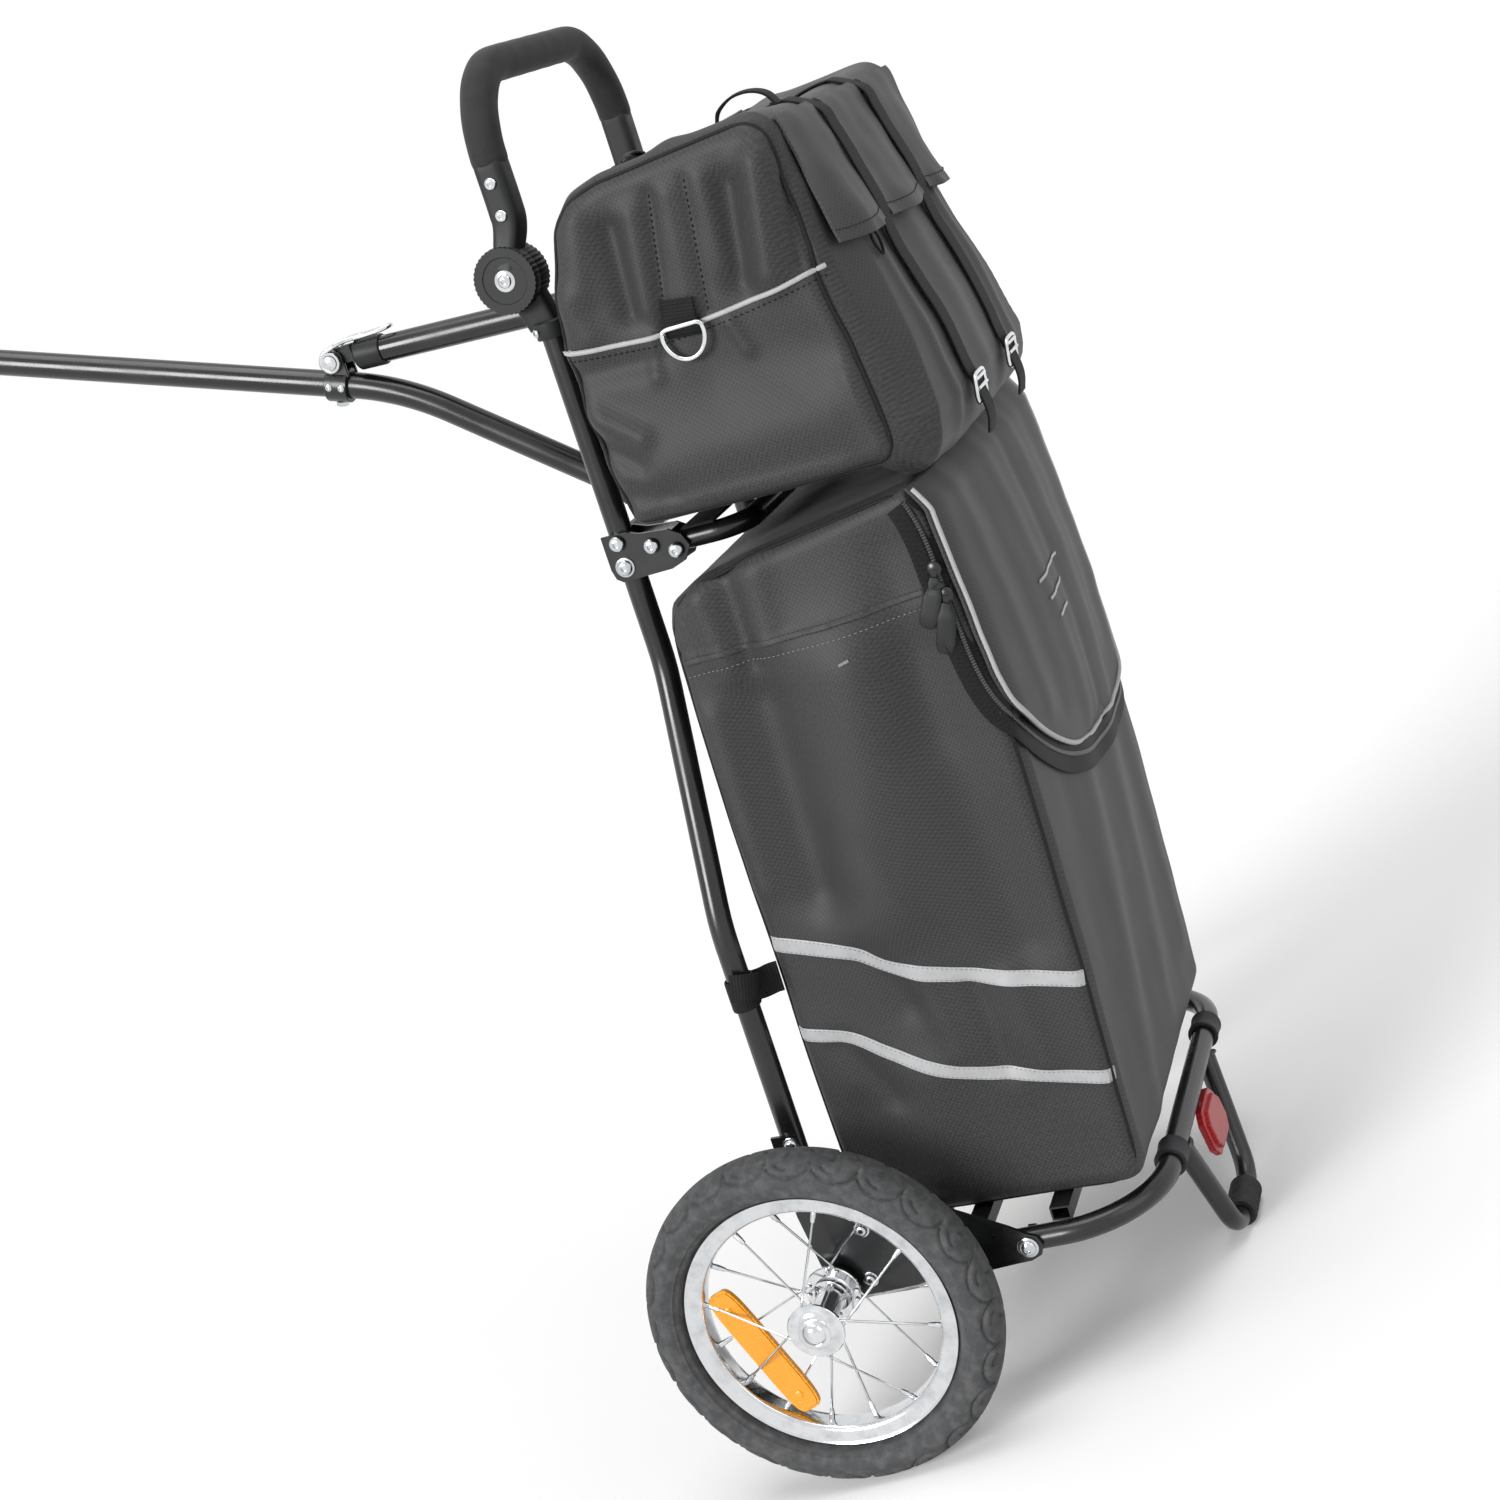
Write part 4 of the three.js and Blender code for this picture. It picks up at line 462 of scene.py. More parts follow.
@dataclass(frozen=True)
class GlossEnamel(Finish):
    """Stoved black enamel on steel tube: sharp highlights along the tubes with a faint orange peel."""

    peel_mm: float = 3.0

    def pattern(self, tree: bpy.types.NodeTree, shader: bpy.types.Node) -> None:
        """Adds orange peel, a clear top coat and patches rubbed a little duller."""
        shader.inputs["Coat Weight"].default_value = 0.1
        shader.inputs["Coat Roughness"].default_value = 0.12
        peel = self.grain(tree, self.peel_mm, 2.0)
        rub = self.grain(tree, 60.0, 5.0)
        self.rough(tree, shader, rub.outputs["Fac"], 0.1)
        self.tint(tree, shader, rub.outputs["Fac"], "1b1c1d", 0.45, 0.8)
        self.bump(tree, shader, peel.outputs["Fac"], 0.05, 0.35)


@dataclass(frozen=True)
class PlatedMetal(Finish):
    """Chrome or zinc plate, or polished aluminium: a bright mirror, broken up by fine polishing marks."""

    mark_mm: float = 1.2
    depth_mm: float = 0.01

    def pattern(self, tree: bpy.types.NodeTree, shader: bpy.types.Node) -> None:
        """Adds polishing marks that run round the turned parts, and smears in the polish."""
        shader.inputs["Metallic"].default_value = 1.0
        place = node(tree, "TexCoord").outputs["UV"]
        run = node(tree, "Mapping", {"Vector": place, "Scale": (1.0, 0.04, 1.0)})
        marks = node(tree, "TexNoise", {"Vector": run.outputs["Vector"], "Scale": 1 / (self.mark_mm * MM),
                                        "Detail": 3.0})
        smear = self.grain(tree, 14.0)
        self.rough(tree, shader, smear.outputs["Fac"], self.roughness * 0.4)
        self.tint(tree, shader, smear.outputs["Fac"], "b4b7ba", 0.45, 0.8)
        self.bump(tree, shader, marks.outputs["Fac"], self.depth_mm, 0.5)


@dataclass(frozen=True)
class TyreRubber(Finish):
    """Moulded carbon-black rubber: dull dark grey, dusted paler where it meets the road."""

    dust: str = "5c5c5d"

    def pattern(self, tree: bpy.types.NodeTree, shader: bpy.types.Node) -> None:
        """Adds dust in blotches and a fine moulded grain."""
        shader.inputs["Specular IOR Level"].default_value = 0.35
        dust = self.grain(tree, 9.0, 6.0)
        self.tint(tree, shader, dust.outputs["Fac"], self.dust, 0.42, 0.75)
        self.rough(tree, shader, dust.outputs["Fac"], 0.08)
        self.bump(tree, shader, self.grain(tree, 0.9, 3.0).outputs["Fac"], 0.15, 0.5)


@dataclass(frozen=True)
class MouldedPlastic(Finish):
    """Glass-filled nylon from a spark-eroded mould: even satin black with a fine grain."""

    grain_mm: float = 0.8

    def pattern(self, tree: bpy.types.NodeTree, shader: bpy.types.Node) -> None:
        """Adds the mould's grain and a slight unevenness of gloss."""
        shader.inputs["Specular IOR Level"].default_value = 0.3
        cloud = self.grain(tree, 22.0)
        self.rough(tree, shader, cloud.outputs["Fac"], 0.08)
        self.tint(tree, shader, cloud.outputs["Fac"], "2c2c2d", 0.4, 0.9)
        self.bump(tree, shader, self.grain(tree, self.grain_mm, 2.0).outputs["Fac"], 0.06, 0.6)


@dataclass(frozen=True)
class FoamSleeve(Finish):
    """Closed-cell nitrile foam: soft, matt and finely pored."""

    pore_mm: float = 1.4

    def pattern(self, tree: bpy.types.NodeTree, shader: bpy.types.Node) -> None:
        """Adds pores as cells, with a soft sheen at grazing angles."""
        shader.inputs["Sheen Weight"].default_value = 0.1
        shader.inputs["Sheen Roughness"].default_value = 0.5
        place = node(tree, "TexCoord").outputs["Object"]
        cells = node(tree, "TexVoronoi", {"Vector": place, "Scale": 1 / (self.pore_mm * MM)})
        self.tint(tree, shader, self.grain(tree, 12.0).outputs["Fac"], "262626", 0.35, 0.8)
        self.bump(tree, shader, cells.outputs["Distance"], 0.25, 0.45)


@dataclass(frozen=True)
class WovenCloth(Finish):
    """Coated polyester plain weave: charcoal threads with a satin sheen; raised threads painted lighter as a
    highlight.
    """

    # real threads are 0.5 mm apart; drawn wider so that the weave shows at the size of the render
    thread_mm: float = 1.9
    light: str = "383838"
    sheen: float = 0.05
    gloss: float = 0.35
    depth_mm: float = 0.3

    def pattern(self, tree: bpy.types.NodeTree, shader: bpy.types.Node) -> None:
        """Adds crossing threads, level with and up the trailer so that they never stretch, uneven yarn, painted
        highlight on raised threads and a sheen.
        """
        shader.inputs["Sheen Weight"].default_value = self.sheen
        shader.inputs["Sheen Roughness"].default_value = 0.45
        shader.inputs["Specular IOR Level"].default_value = self.gloss
        place = node(tree, "TexCoord").outputs["Object"]
        axes = node(tree, "SeparateXYZ", {"Vector": place})
        across = node(tree, "Math", {0: axes.outputs["X"], 1: axes.outputs["Y"]})
        turns = math.pi / (self.thread_mm * MM)
        waves = []
        for axis in (across.outputs[0], axes.outputs["Z"]):
            scaled = node(tree, "Math", {0: axis, 1: turns}, operation="MULTIPLY")
            waves.append(node(tree, "Math", {0: scaled.outputs[0]}, operation="SINE"))
        weave = node(tree, "Math", {0: waves[0].outputs[0], 1: waves[1].outputs[0]}, operation="MULTIPLY")
        yarn = self.grain(tree, 2.2, 3.0, from_cloth=True)
        both = node(tree, "Math", {0: weave.outputs[0], 1: 0.18, 2: yarn.outputs["Fac"]},
                    operation="MULTIPLY_ADD")
        # raised threads are tinted towards the light colour as a painted highlight; the yarn noise adds real uneven
        # tone
        self.tint(tree, shader, both.outputs[0], self.light, 0.3, 0.72)
        self.rough(tree, shader, yarn.outputs["Fac"], 0.06)
        self.bump(tree, shader, both.outputs[0], self.depth_mm, 0.6)


@dataclass(frozen=True)
class RibbedWeb(Finish):
    """Woven nylon tape: black, ribbed across its length, with a dull shine; rib crests painted lighter as a highlight.
    """

    rib_mm: float = 2.4
    light: str = "202020"

    def pattern(self, tree: bpy.types.NodeTree, shader: bpy.types.Node) -> None:
        """Adds ribs across the tape on its own length coordinate, crests painted lighter as a highlight, with random
        fuzz tone.
        """
        shader.inputs["Specular IOR Level"].default_value = 0.15
        cloth = node(tree, "TexCoord").outputs["UV"]
        axes = node(tree, "SeparateXYZ", {"Vector": cloth})
        scaled = node(tree, "Math", {0: axes.outputs["X"], 1: 2 * math.pi / (self.rib_mm * MM)},
                      operation="MULTIPLY")
        ribs = node(tree, "Math", {0: scaled.outputs[0]}, operation="SINE")
        fuzz = self.grain(tree, 1.6, 4.0, from_cloth=True)
        both = node(tree, "Math", {0: ribs.outputs[0], 1: 0.25, 2: fuzz.outputs["Fac"]},
                    operation="MULTIPLY_ADD")
        # rib crests are tinted towards the light colour as a painted highlight; the fuzz noise adds real uneven tone
        self.tint(tree, shader, both.outputs[0], self.light, 0.2, 0.9)
        self.bump(tree, shader, both.outputs[0], 0.35, 0.7)


@dataclass(frozen=True)
class BeadedTape(Finish):
    """Glass-bead reflective tape: pale grey, flat and faintly sparkling."""

    def pattern(self, tree: bpy.types.NodeTree, shader: bpy.types.Node) -> None:
        """Adds the beads as fine grain and small wear marks."""
        shader.inputs["Sheen Weight"].default_value = 0.1
        beads = self.grain(tree, 0.9, 2.0)
        self.tint(tree, shader, self.grain(tree, 7.0, 5.0).outputs["Fac"], "9c9d9e", 0.45, 0.8)
        self.rough(tree, shader, beads.outputs["Fac"], 0.1)
        self.bump(tree, shader, beads.outputs["Fac"], 0.05, 0.5)


@dataclass(frozen=True)
class PrismLens(Finish):
    """Moulded acrylic reflector: deep clear colour over a field of small corner prisms."""

    cell_mm: float = 3.2
    deep: str = "e8960c"

    def pattern(self, tree: bpy.types.NodeTree, shader: bpy.types.Node) -> None:
        """Adds a brick of prism cells under a glossy coat."""
        shader.inputs["Coat Weight"].default_value = 0.45
        shader.inputs["Coat Roughness"].default_value = 0.04
        shader.inputs["IOR"].default_value = 1.49
        place = node(tree, "TexCoord").outputs["Object"]
        cells = node(tree, "TexVoronoi", {"Vector": place, "Scale": 1 / (self.cell_mm * MM),
                                          "Randomness": 0.15},
                     feature="F1", distance="MANHATTAN")
        self.tint(tree, shader, cells.outputs["Distance"], self.deep, 0.15, 0.8)
        self.bump(tree, shader, cells.outputs["Distance"], 0.5, 0.6)


@dataclass(frozen=True)
class CoilTeeth(Finish):
    """Black nylon coil zip: close teeth across the tape, their crests painted lighter as a highlight."""

    tooth_mm: float = 2.2

    def pattern(self, tree: bpy.types.NodeTree, shader: bpy.types.Node) -> None:
        """Adds teeth along the zip's length, painted lighter on their crests as a highlight."""
        cloth = node(tree, "TexCoord").outputs["UV"]
        axes = node(tree, "SeparateXYZ", {"Vector": cloth})
        scaled = node(tree, "Math", {0: axes.outputs["X"], 1: 2 * math.pi / (self.tooth_mm * MM)},
                      operation="MULTIPLY")
        teeth = node(tree, "Math", {0: scaled.outputs[0]}, operation="SINE")
        # teeth crests are tinted pale grey as a painted highlight on the black coil
        self.tint(tree, shader, teeth.outputs[0], "4a4b4c", 0.2, 1.0)
        self.bump(tree, shader, teeth.outputs[0], 0.5, 0.9)


ENAMEL = GlossEnamel("stoved_black_enamel", "0e0f10", 0.26)
CHROME = PlatedMetal("chrome_plate", "dcdee0", 0.09)
RIM_POLISH = PlatedMetal("polished_aluminium_rim", "d6d8da", 0.12, mark_mm=1.6, depth_mm=0.02)
ZINC = PlatedMetal("bright_zinc_plate", "c6c9cb", 0.22)
SPOKE_STEEL = PlatedMetal("stainless_spoke", "cfd2d4", 0.16)
TYRE = TyreRubber("moulded_tyre_rubber", "3e3f40", 0.76)
SOFT_RUBBER = TyreRubber("soft_black_rubber", "242527", 0.62, dust="333436")
NYLON = MouldedPlastic("glass_filled_nylon", "1c1d1e", 0.5)
FOAM = FoamSleeve("nitrile_foam", "19191b", 0.88)
CLOTH = WovenCloth("coated_polyester_weave", "222222", 0.56)
# near-black weave: the zip tapes' own colour, and painted shade where the bag seams stand in for their dark creases
DARK_TAPE_AND_CREASE_SHADE = WovenCloth("dark_lining_weave", "101010", 0.62, light="1e1e1e", sheen=0.0, gloss=0.2)
WEB = RibbedWeb("nylon_webbing", "0e0e0e", 0.66)
TAPE = BeadedTape("reflective_tape", "a9aaab", 0.42)
PIPING = BeadedTape("grey_piping_cord", "aaabac", 0.5)
THREAD = RibbedWeb("sewing_thread", "1a1b1c", 0.7, rib_mm=1.5)
PALE_THREAD = RibbedWeb("pale_sewing_thread", "77787a", 0.7, rib_mm=1.5, light="8c8d8f")
ZIP_TEETH = CoilTeeth("nylon_zip_coil", "202122", 0.35)
AMBER = PrismLens("amber_acrylic_lens", "ffb81c", 0.3)
RED = PrismLens("red_acrylic_lens", "d8262b", 0.45, deep="a0141a")


def dress(finish: Finish, *nodes: str) -> None:
    """Gives CAD nodes whose own shape is shown a finish in their material slots."""
    for name in nodes:
        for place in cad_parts[name].material_slots:
            place.material = finish.material()


def dome_head(centre: tuple, axis: tuple, radius: float, height: float, count: int = 28) -> Array:
    """Pan head with a recess: a quarter-ellipse dome turned about its axis, with a socket sunk in the top."""
    angle = np.linspace(0, math.pi / 2 * 0.72, 6)
    dome = [(radius * math.cos(a), height * (0.2 + 0.8 * math.sin(a))) for a in angle]
    socket = [(radius * 0.4, height * 0.93), (radius * 0.36, height * 0.5)]
    return turned([(radius * 0.9, 0.0), (radius, height * 0.12), *dome, *socket], centre, axis, count)


def hex_head(centre: tuple, axis: tuple, radius: float, height: float) -> Array:
    """Hexagon head: a six-sided ring with a drawn-in top edge."""
    return turned([(radius, 0.0), (radius, height * 0.85), (radius * 0.86, height)], centre, axis, 6)


# Wheels

@dataclass
class Wheel:
    """One spoked wheel: tyre, rim, hub, spokes, axle cap and the long reflector between the spokes."""

    side: Side
    plane_x: float = 258.0
    tread_pitches: int = 24
    tread_rows: int = 760
    groove_depth: float = 2.4
    groove_half_width: float = 1.5
    spokes: int = 16
    spoke_radius: float = 1.0
    spoke_circle: float = 20.0
    spoke_tip: float = 94.5
    spoke_lean_deg: float = 34.0
    spoke_turn_deg: float = 9.0
    outer_flange: float = 22.0
    inner_flange: float = -33.0
    reflector_length: float = 121.0
    reflector_width: float = 26.0
    reflector_reach: float = 63.0
    reflector_turn_deg: float = 113.0
    reflector_faces: tuple = (-2.5, 3.0)

    def name(self, word: str) -> str:
        """Piece name with the side's word."""
        return f"{word}_{self.side.name.lower()}"

    def finish_piece(self, skin: Skin, word: str, finish: Finish, slot: str,
                     replaces: tuple[str, ...] = ()) -> None:
        """Mirrors a skin to this side and builds it on the wheel's body."""
        nodes = tuple(self.name(node_word) for node_word in replaces)
        skin.mirrored(self.side).build(self.name(word), finish, self.name("wheel"), slot, nodes)

    def tread(self, pitch_share: Array, across: Array) -> Array:
        """Depth of the tread pattern, from zero to one.

        Args:
            pitch_share: Place within one pitch, from -0.5 to 0.5.
            across: Arc distance from the crown in millimetres.
        Returns:
            Strength of scallops (a half ellipse on each shoulder), short barbs where they meet, and crown
            sipes. Each is exp(-(distance / groove half width) squared).
        """
        pitch = 2 * math.pi * TYRE_RADIUS / self.tread_pitches
        reach, start, height = pitch / 2, 11.0, 15.0
        along, out = pitch_share * pitch, np.abs(across)
        ring = np.hypot(along / reach, (out - start) / height)
        slope = np.hypot(along / reach ** 2, (out - start) / height ** 2) / np.maximum(ring, 1e-6)
        scallop = np.where(out > start, (ring - 1) / np.maximum(slope, 1e-6), 99.0)
        inner = np.hypot(along / (reach * 0.55), (out - start) / (height * 0.5))
        inner_slope = np.hypot(along / (reach * 0.55) ** 2,
                               (out - start) / (height * 0.5) ** 2) / np.maximum(inner, 1e-6)
        hook = np.where((out > start + 2) & (along > 0), (inner - 1) / np.maximum(inner_slope, 1e-6), 99.0)
        barb = np.where((out > 5) & (out < start + 1), reach - np.abs(along) + 0.35 * (start - out), 99.0)
        sipe = np.where(out < 8, along - 0.45 * out, 99.0)
        width = self.groove_half_width
        grooves = [np.exp(-(d / width) ** 2) * w for d,
                   w in ((scallop, 1.0), (hook, 0.7), (barb, 0.8), (sipe, 0.7))]
        return np.clip(sum(grooves), 0, 1)

    def tyre(self) -> None:
        """Turns the tyre's section about the axle, cuts the tread into it and raises the sidewall rings."""
        outer = [(101.5, 8.3), (109.9, 11.0), (114.1, 17.6), (120.4, 22.1), (128.4, 23.0), (137.2, 18.4),
                 (142.1, 9.6), (143.5, 0.0)]
        inner = [(139.2, 0.0), (137.4, 9.0), (128.8, 18.2), (120.4, 18.0), (111.6, 7.6), (102.2, 6.0)]
        half = spline(outer, 46)
        skin_line = np.vstack([half, half[-2::-1] * [1, -1]])
        hollow = spline([(r, -x) for r, x in inner[::-1]] + [(r, x) for r, x in inner[1:]], 24)
        section = np.vstack([skin_line, hollow])
        crown = np.concatenate([[0], np.cumsum(np.linalg.norm(np.diff(skin_line, axis=0), axis=1))])
        across = np.concatenate([crown - crown[len(half) - 1], np.full(len(hollow), 99.0)])
        angle = np.arange(self.tread_rows) / self.tread_rows * 2 * math.pi
        share = (angle[:, None] / (2 * math.pi) * self.tread_pitches + np.where(across > 0, 0.5,
            0.0)[None]) % 1.0 - 0.5
        depth = self.tread(share, np.broadcast_to(across, share.shape)) * self.groove_depth
        wall = np.abs(across) < 90
        rings = sum(np.exp(-((section[:, 0] - r) / 0.7) ** 2) for r in (113.5, 117.0, 125.5)) * wall * 0.7
        band = np.exp(-((section[:, 0] - 110.6) / 0.8) ** 2) * wall * -0.8
        normal = unit(np.stack([np.gradient(section[:, 1]), -np.gradient(section[:, 0])], axis=-1))
        normal *= np.sign(np.sum(normal * (section - section.mean(axis=0)), axis=-1, keepdims=True))
        lift = (rings + band)[None] - depth
        radius = section[None, :, 0] + normal[None, :, 0] * lift
        x = section[None, :, 1] + normal[None, :, 1] * lift + self.plane_x
        grid = np.stack([np.broadcast_to(x, radius.shape), radius * np.cos(angle)[:, None],
                         radius * np.sin(angle)[:, None]], axis=-1)
        self.finish_piece(Skin().add(grid, Ends.JOINED), "road_tyre", TYRE, "tyre", ("tyre",))

    def rim(self) -> None:
        """Turns the hollow rim: polished well, flared walls and rolled lips, with a band inside the tyre's edge."""
        side = [(95.2, 4.5), (96.0, 8.8), (98.6, 10.4), (103.5, 11.2), (107.8, 12.0), (109.3, 13.0),
                (109.8, 12.4), (109.2, 11.6),
                (104.0, 10.0), (99.8, 8.0), (97.2, 4.0)]
        profile = [(95.0, 0.0), *side, (96.6, 0.0), *[(r, -x) for r, x in side[::-1]]]
        line = np.array(profile)
        loop = np.vstack([line, line[:1]])
        angle = np.linspace(0, 2 * math.pi, 180, endpoint=False)
        ring = evenly(loop, 64, True)
        grid = np.stack([np.broadcast_to(ring[None, :, 1] + self.plane_x, (180, 64)),
                         ring[None, :, 0] * np.cos(angle)[:, None],
                         ring[None, :, 0] * np.sin(angle)[:, None]], axis=-1)
        self.finish_piece(Skin().add(grid, Ends.JOINED), "polished_rim", RIM_POLISH, "rim", ("rim",))

    def spoke_line(self, k: int) -> Array:
        """Root and tip of one spoke: from the flange's hole circle, leaned alternately, to the rim's middle."""
        offset = self.outer_flange if k % 2 else self.inner_flange
        rim_angle = math.radians(self.spoke_turn_deg) + k / self.spokes * 2 * math.pi
        lean = math.radians(self.spoke_lean_deg) * (1 if (k // 2) % 2 else -1)
        ends = ((self.spoke_circle, rim_angle + lean, offset), (self.spoke_tip, rim_angle, 0.0))
        return np.array([[self.plane_x + x, r * math.cos(a), r * math.sin(a)] for r, a, x in ends])

    def hub(self) -> None:
        """Turns the hub with its two dished flanges, and laces the spokes with their nipples and bent heads."""
        inner, outer, axle = self.inner_flange, self.outer_flange, 6.2
        profile = [(axle, inner - 4), (12.4, inner - 4), (13.0, inner - 3.4), (15.0, inner - 1.8),
                   (22.4, inner - 1.5), (23.0, inner - 0.9),
                   (23.0, inner + 0.9), (22.4, inner + 1.5), (15.5, inner + 2.0), (12.2, inner + 5),
                   (11.0, inner + 12), (11.0, outer - 12),
                   (12.2, outer - 5), (15.5, outer - 2.0), (22.4, outer - 1.5), (23.0, outer - 0.9),
                   (23.0, outer + 0.9), (22.4, outer + 1.5),
                   (15.0, outer + 1.8), (13.0, outer + 3.4), (12.4, outer + 4), (axle, outer + 4)]
        shell = Skin().add(turned(profile, (self.plane_x, 0, 0), count=64), Ends.JOINED)
        self.finish_piece(shell, "dished_hub", CHROME, "chrome", ("hub",))
        wire, nuts = Skin(), Skin()
        for k in range(self.spokes):
            root, tip = self.spoke_line(k)
            out = np.array([1.0 if k % 2 else -1.0, 0, 0])
            path = np.vstack([root - out * 3.4, root + out * 0.4, root + (tip - root) * 0.03 + out * 0.8,
                              tip])
            wire.add(sweep(evenly(path, 14), circle(self.spoke_radius, 8), (0.3, 0.2, 1.0)))
            run = unit(tip - root)
            nuts.add(turned([(1.5, 0), (2.3, 0.8), (2.3, 6.5), (1.7, 12.0)], tuple(tip + run), tuple(-run),
                            10))
            nuts.add(turned([(1.2, 0), (2.2, 0.3), (1.8, 1.1)], tuple(root - out * 3.0), tuple(-out), 10))
        self.finish_piece(wire, "spokes", SPOKE_STEEL, "chrome")
        self.finish_piece(nuts, "spoke_nipples", CHROME, "chrome")

    def cap(self) -> None:
        """Turns the domed axle cap with a ring groove round it."""
        start = self.outer_flange + 4.3
        profile = [(12.2, 0.0), (13.0, 0.5), (13.0, 1.6), (12.3, 2.2), (9.8, 2.4), (9.3, 1.9), (8.8, 2.5),
                   (7.6, 4.1), (5.4, 5.3), (2.8, 5.9), (0.5, 6.0)]
        skin = Skin().add(turned([(r, x + start) for r, x in profile], (self.plane_x, 0, 0), count=48))
        self.finish_piece(skin, "axle_cap", CHROME, "chrome", ("hub_cap",))

    def reflector(self) -> None:
        """Long lens with round ends, held between the two rows of spokes, with a raised rim round its face."""
        turn = math.radians(self.reflector_turn_deg)
        low, high = self.reflector_faces
        lens, clips = Skin(), Skin()
        for inset, x0, x1 in ((0.0, low, high - 1.0), (1.6, high - 2.0, high)):
            flat = slab(self.reflector_length - 2 * inset, self.reflector_width - 2 * inset, 5.0, 56)
            y, z = flat[:, 0], flat[:, 1] + self.reflector_reach
            rim = np.stack([y * math.cos(turn) - z * math.sin(turn), y * math.sin(turn) + z * math.cos(turn)],
                           axis=-1)
            grid = prism(rim.tolist(), self.plane_x + x0, self.plane_x + x1, 0.5)
            (lens if inset else lens).add(grid)
        for place in (-44.0, 44.0):
            y, z = place, self.reflector_reach
            centre = (self.plane_x + high, y * math.cos(turn) - z * math.sin(turn),
                      y * math.sin(turn) + z * math.cos(turn))
            clips.add(turned([(3.2, -0.6), (3.2, 0.5), (2.4, 1.1)], centre, (1, 0, 0), 18))
        self.finish_piece(lens, "spoke_reflector", AMBER, "amber", ("wheel_reflector",))
        self.finish_piece(clips, "reflector_clips", AMBER, "amber")

    def build(self) -> None:
        """Builds the whole wheel."""
        self.tyre()
        self.rim()
        self.hub()
        self.cap()
        self.reflector()


# Frame

@dataclass
class LowerFrame:
    """Fixed lower frame: two bent uprights, axle brackets, slats, axle and the ties that hold the tall bag."""

    tube_radius: float = 9.5
    lower_x: float = 203.0
    upper_x: float = 141.0
    foot_z: float = 14.0
    knee_z: float = 311.0
    neck_z: float = 507.0
    top_z: float = 600.0
    bend: float = 110.0
    strap_low: float = 243.0
    strap_height: float = 25.0
    bracket_face_x: float = 215.8
    bracket_screws: tuple = ((2.0, 127.0), (35.8, 46.0), (30.0, 2.0), (110.0, 2.0))

    def uprights(self, side: Side) -> None:
        """Carries the round tube along the upright: straight, bent in at the knee, straight again above the neck."""
        corners = [(self.lower_x, 0, self.foot_z), (self.lower_x, 0, self.knee_z),
                   (self.upper_x, 0, self.neck_z), (self.upper_x, 0, self.top_z)]
        skin = Skin().add(sweep(rounded(corners, self.bend), circle(self.tube_radius, 36), (0, 1, 0)))
        word = side.name.lower()
        skin.mirrored(side).build(f"bent_upright_{word}", ENAMEL, "chassis", "frame",
                                  (f"upright_lower_{word}",))

    def fixings(self, side: Side) -> None:
        """Adds domed screws with washers on the axle bracket, and the black end plug of the upright."""
        screws = Skin()
        for y, z in self.bracket_screws:
            screws.add(turned([(6.4, 0), (6.4, 0.8), (6.0, 1.0)], (self.bracket_face_x, y, z), count=28))
            screws.add(dome_head((self.bracket_face_x + 0.9, y, z), (1, 0, 0), 5.0, 3.2))
        screws.mirrored(side).build(f"bracket_screws_{side.name.lower()}", ZINC, "chassis", "steel")
        plug = Skin().add(turned([(6.0, -1.6), (9.3, -1.2), (9.5, 0.2), (8.0, 0.6)],
                                 (self.lower_x, 0, self.foot_z), (0, 0, 1), 32))
        plug.mirrored(side).build(f"upright_plug_{side.name.lower()}", NYLON, "chassis", "plastic")

    def bag_tie(self, side: Side) -> None:
        """Wraps the hook-and-loop tie round the upright, with a flared loose end and a tab sewn to the bag."""
        x, z = self.lower_x, self.strap_low + self.strap_height / 2
        turn = np.linspace(0, 2 * math.pi, 60, endpoint=False)
        reach = self.tube_radius + 1.9 + 0.5 * np.sin(2 * turn + 0.6)
        loop = np.stack([x + reach * np.cos(turn), reach * np.sin(turn), z + 1.2 * np.sin(turn)], axis=-1)
        skin = Skin().add(sweep(loop, slab(self.strap_height, 2.2),
                                np.column_stack([np.cos(turn), np.sin(turn), 0 * turn]), closed=True),
                                Ends.JOINED)
        tab = spline([(x - 9, 7, z), (x - 12, 14, z), (x - 15, 21, z + 1), (x - 17, 27, z + 1)], 12)
        skin.add(sweep(tab, slab(self.strap_height, 2.4), (1, 0.3, 0)))
        tail = spline([(x + 8, 7, z + 1), (x + 2, 14, z + 3), (x + 7, 16, z + 5), (x + 15, 9, z + 9),
                       (x + 17, -2, z + 11)], 26)
        skin.add(sweep(tail, slab(self.strap_height - 4, 1.8), (0.5, 1, 0)))
        word = side.name.lower()
        skin.mirrored(side).build(f"bag_tie_{word}", WEB, "chassis", "webbing", (f"bag_strap_{word}",))

    def build(self) -> None:
        """Builds both sides and dresses the flat parts that stay as they are."""
        for side in Side:
            self.uprights(side)
            self.fixings(side)
            self.bag_tie(side)
        dress(ENAMEL, "axle_bracket_left", "axle_bracket_right", "slat_front", "slat_middle")
        dress(ZINC, "axle")


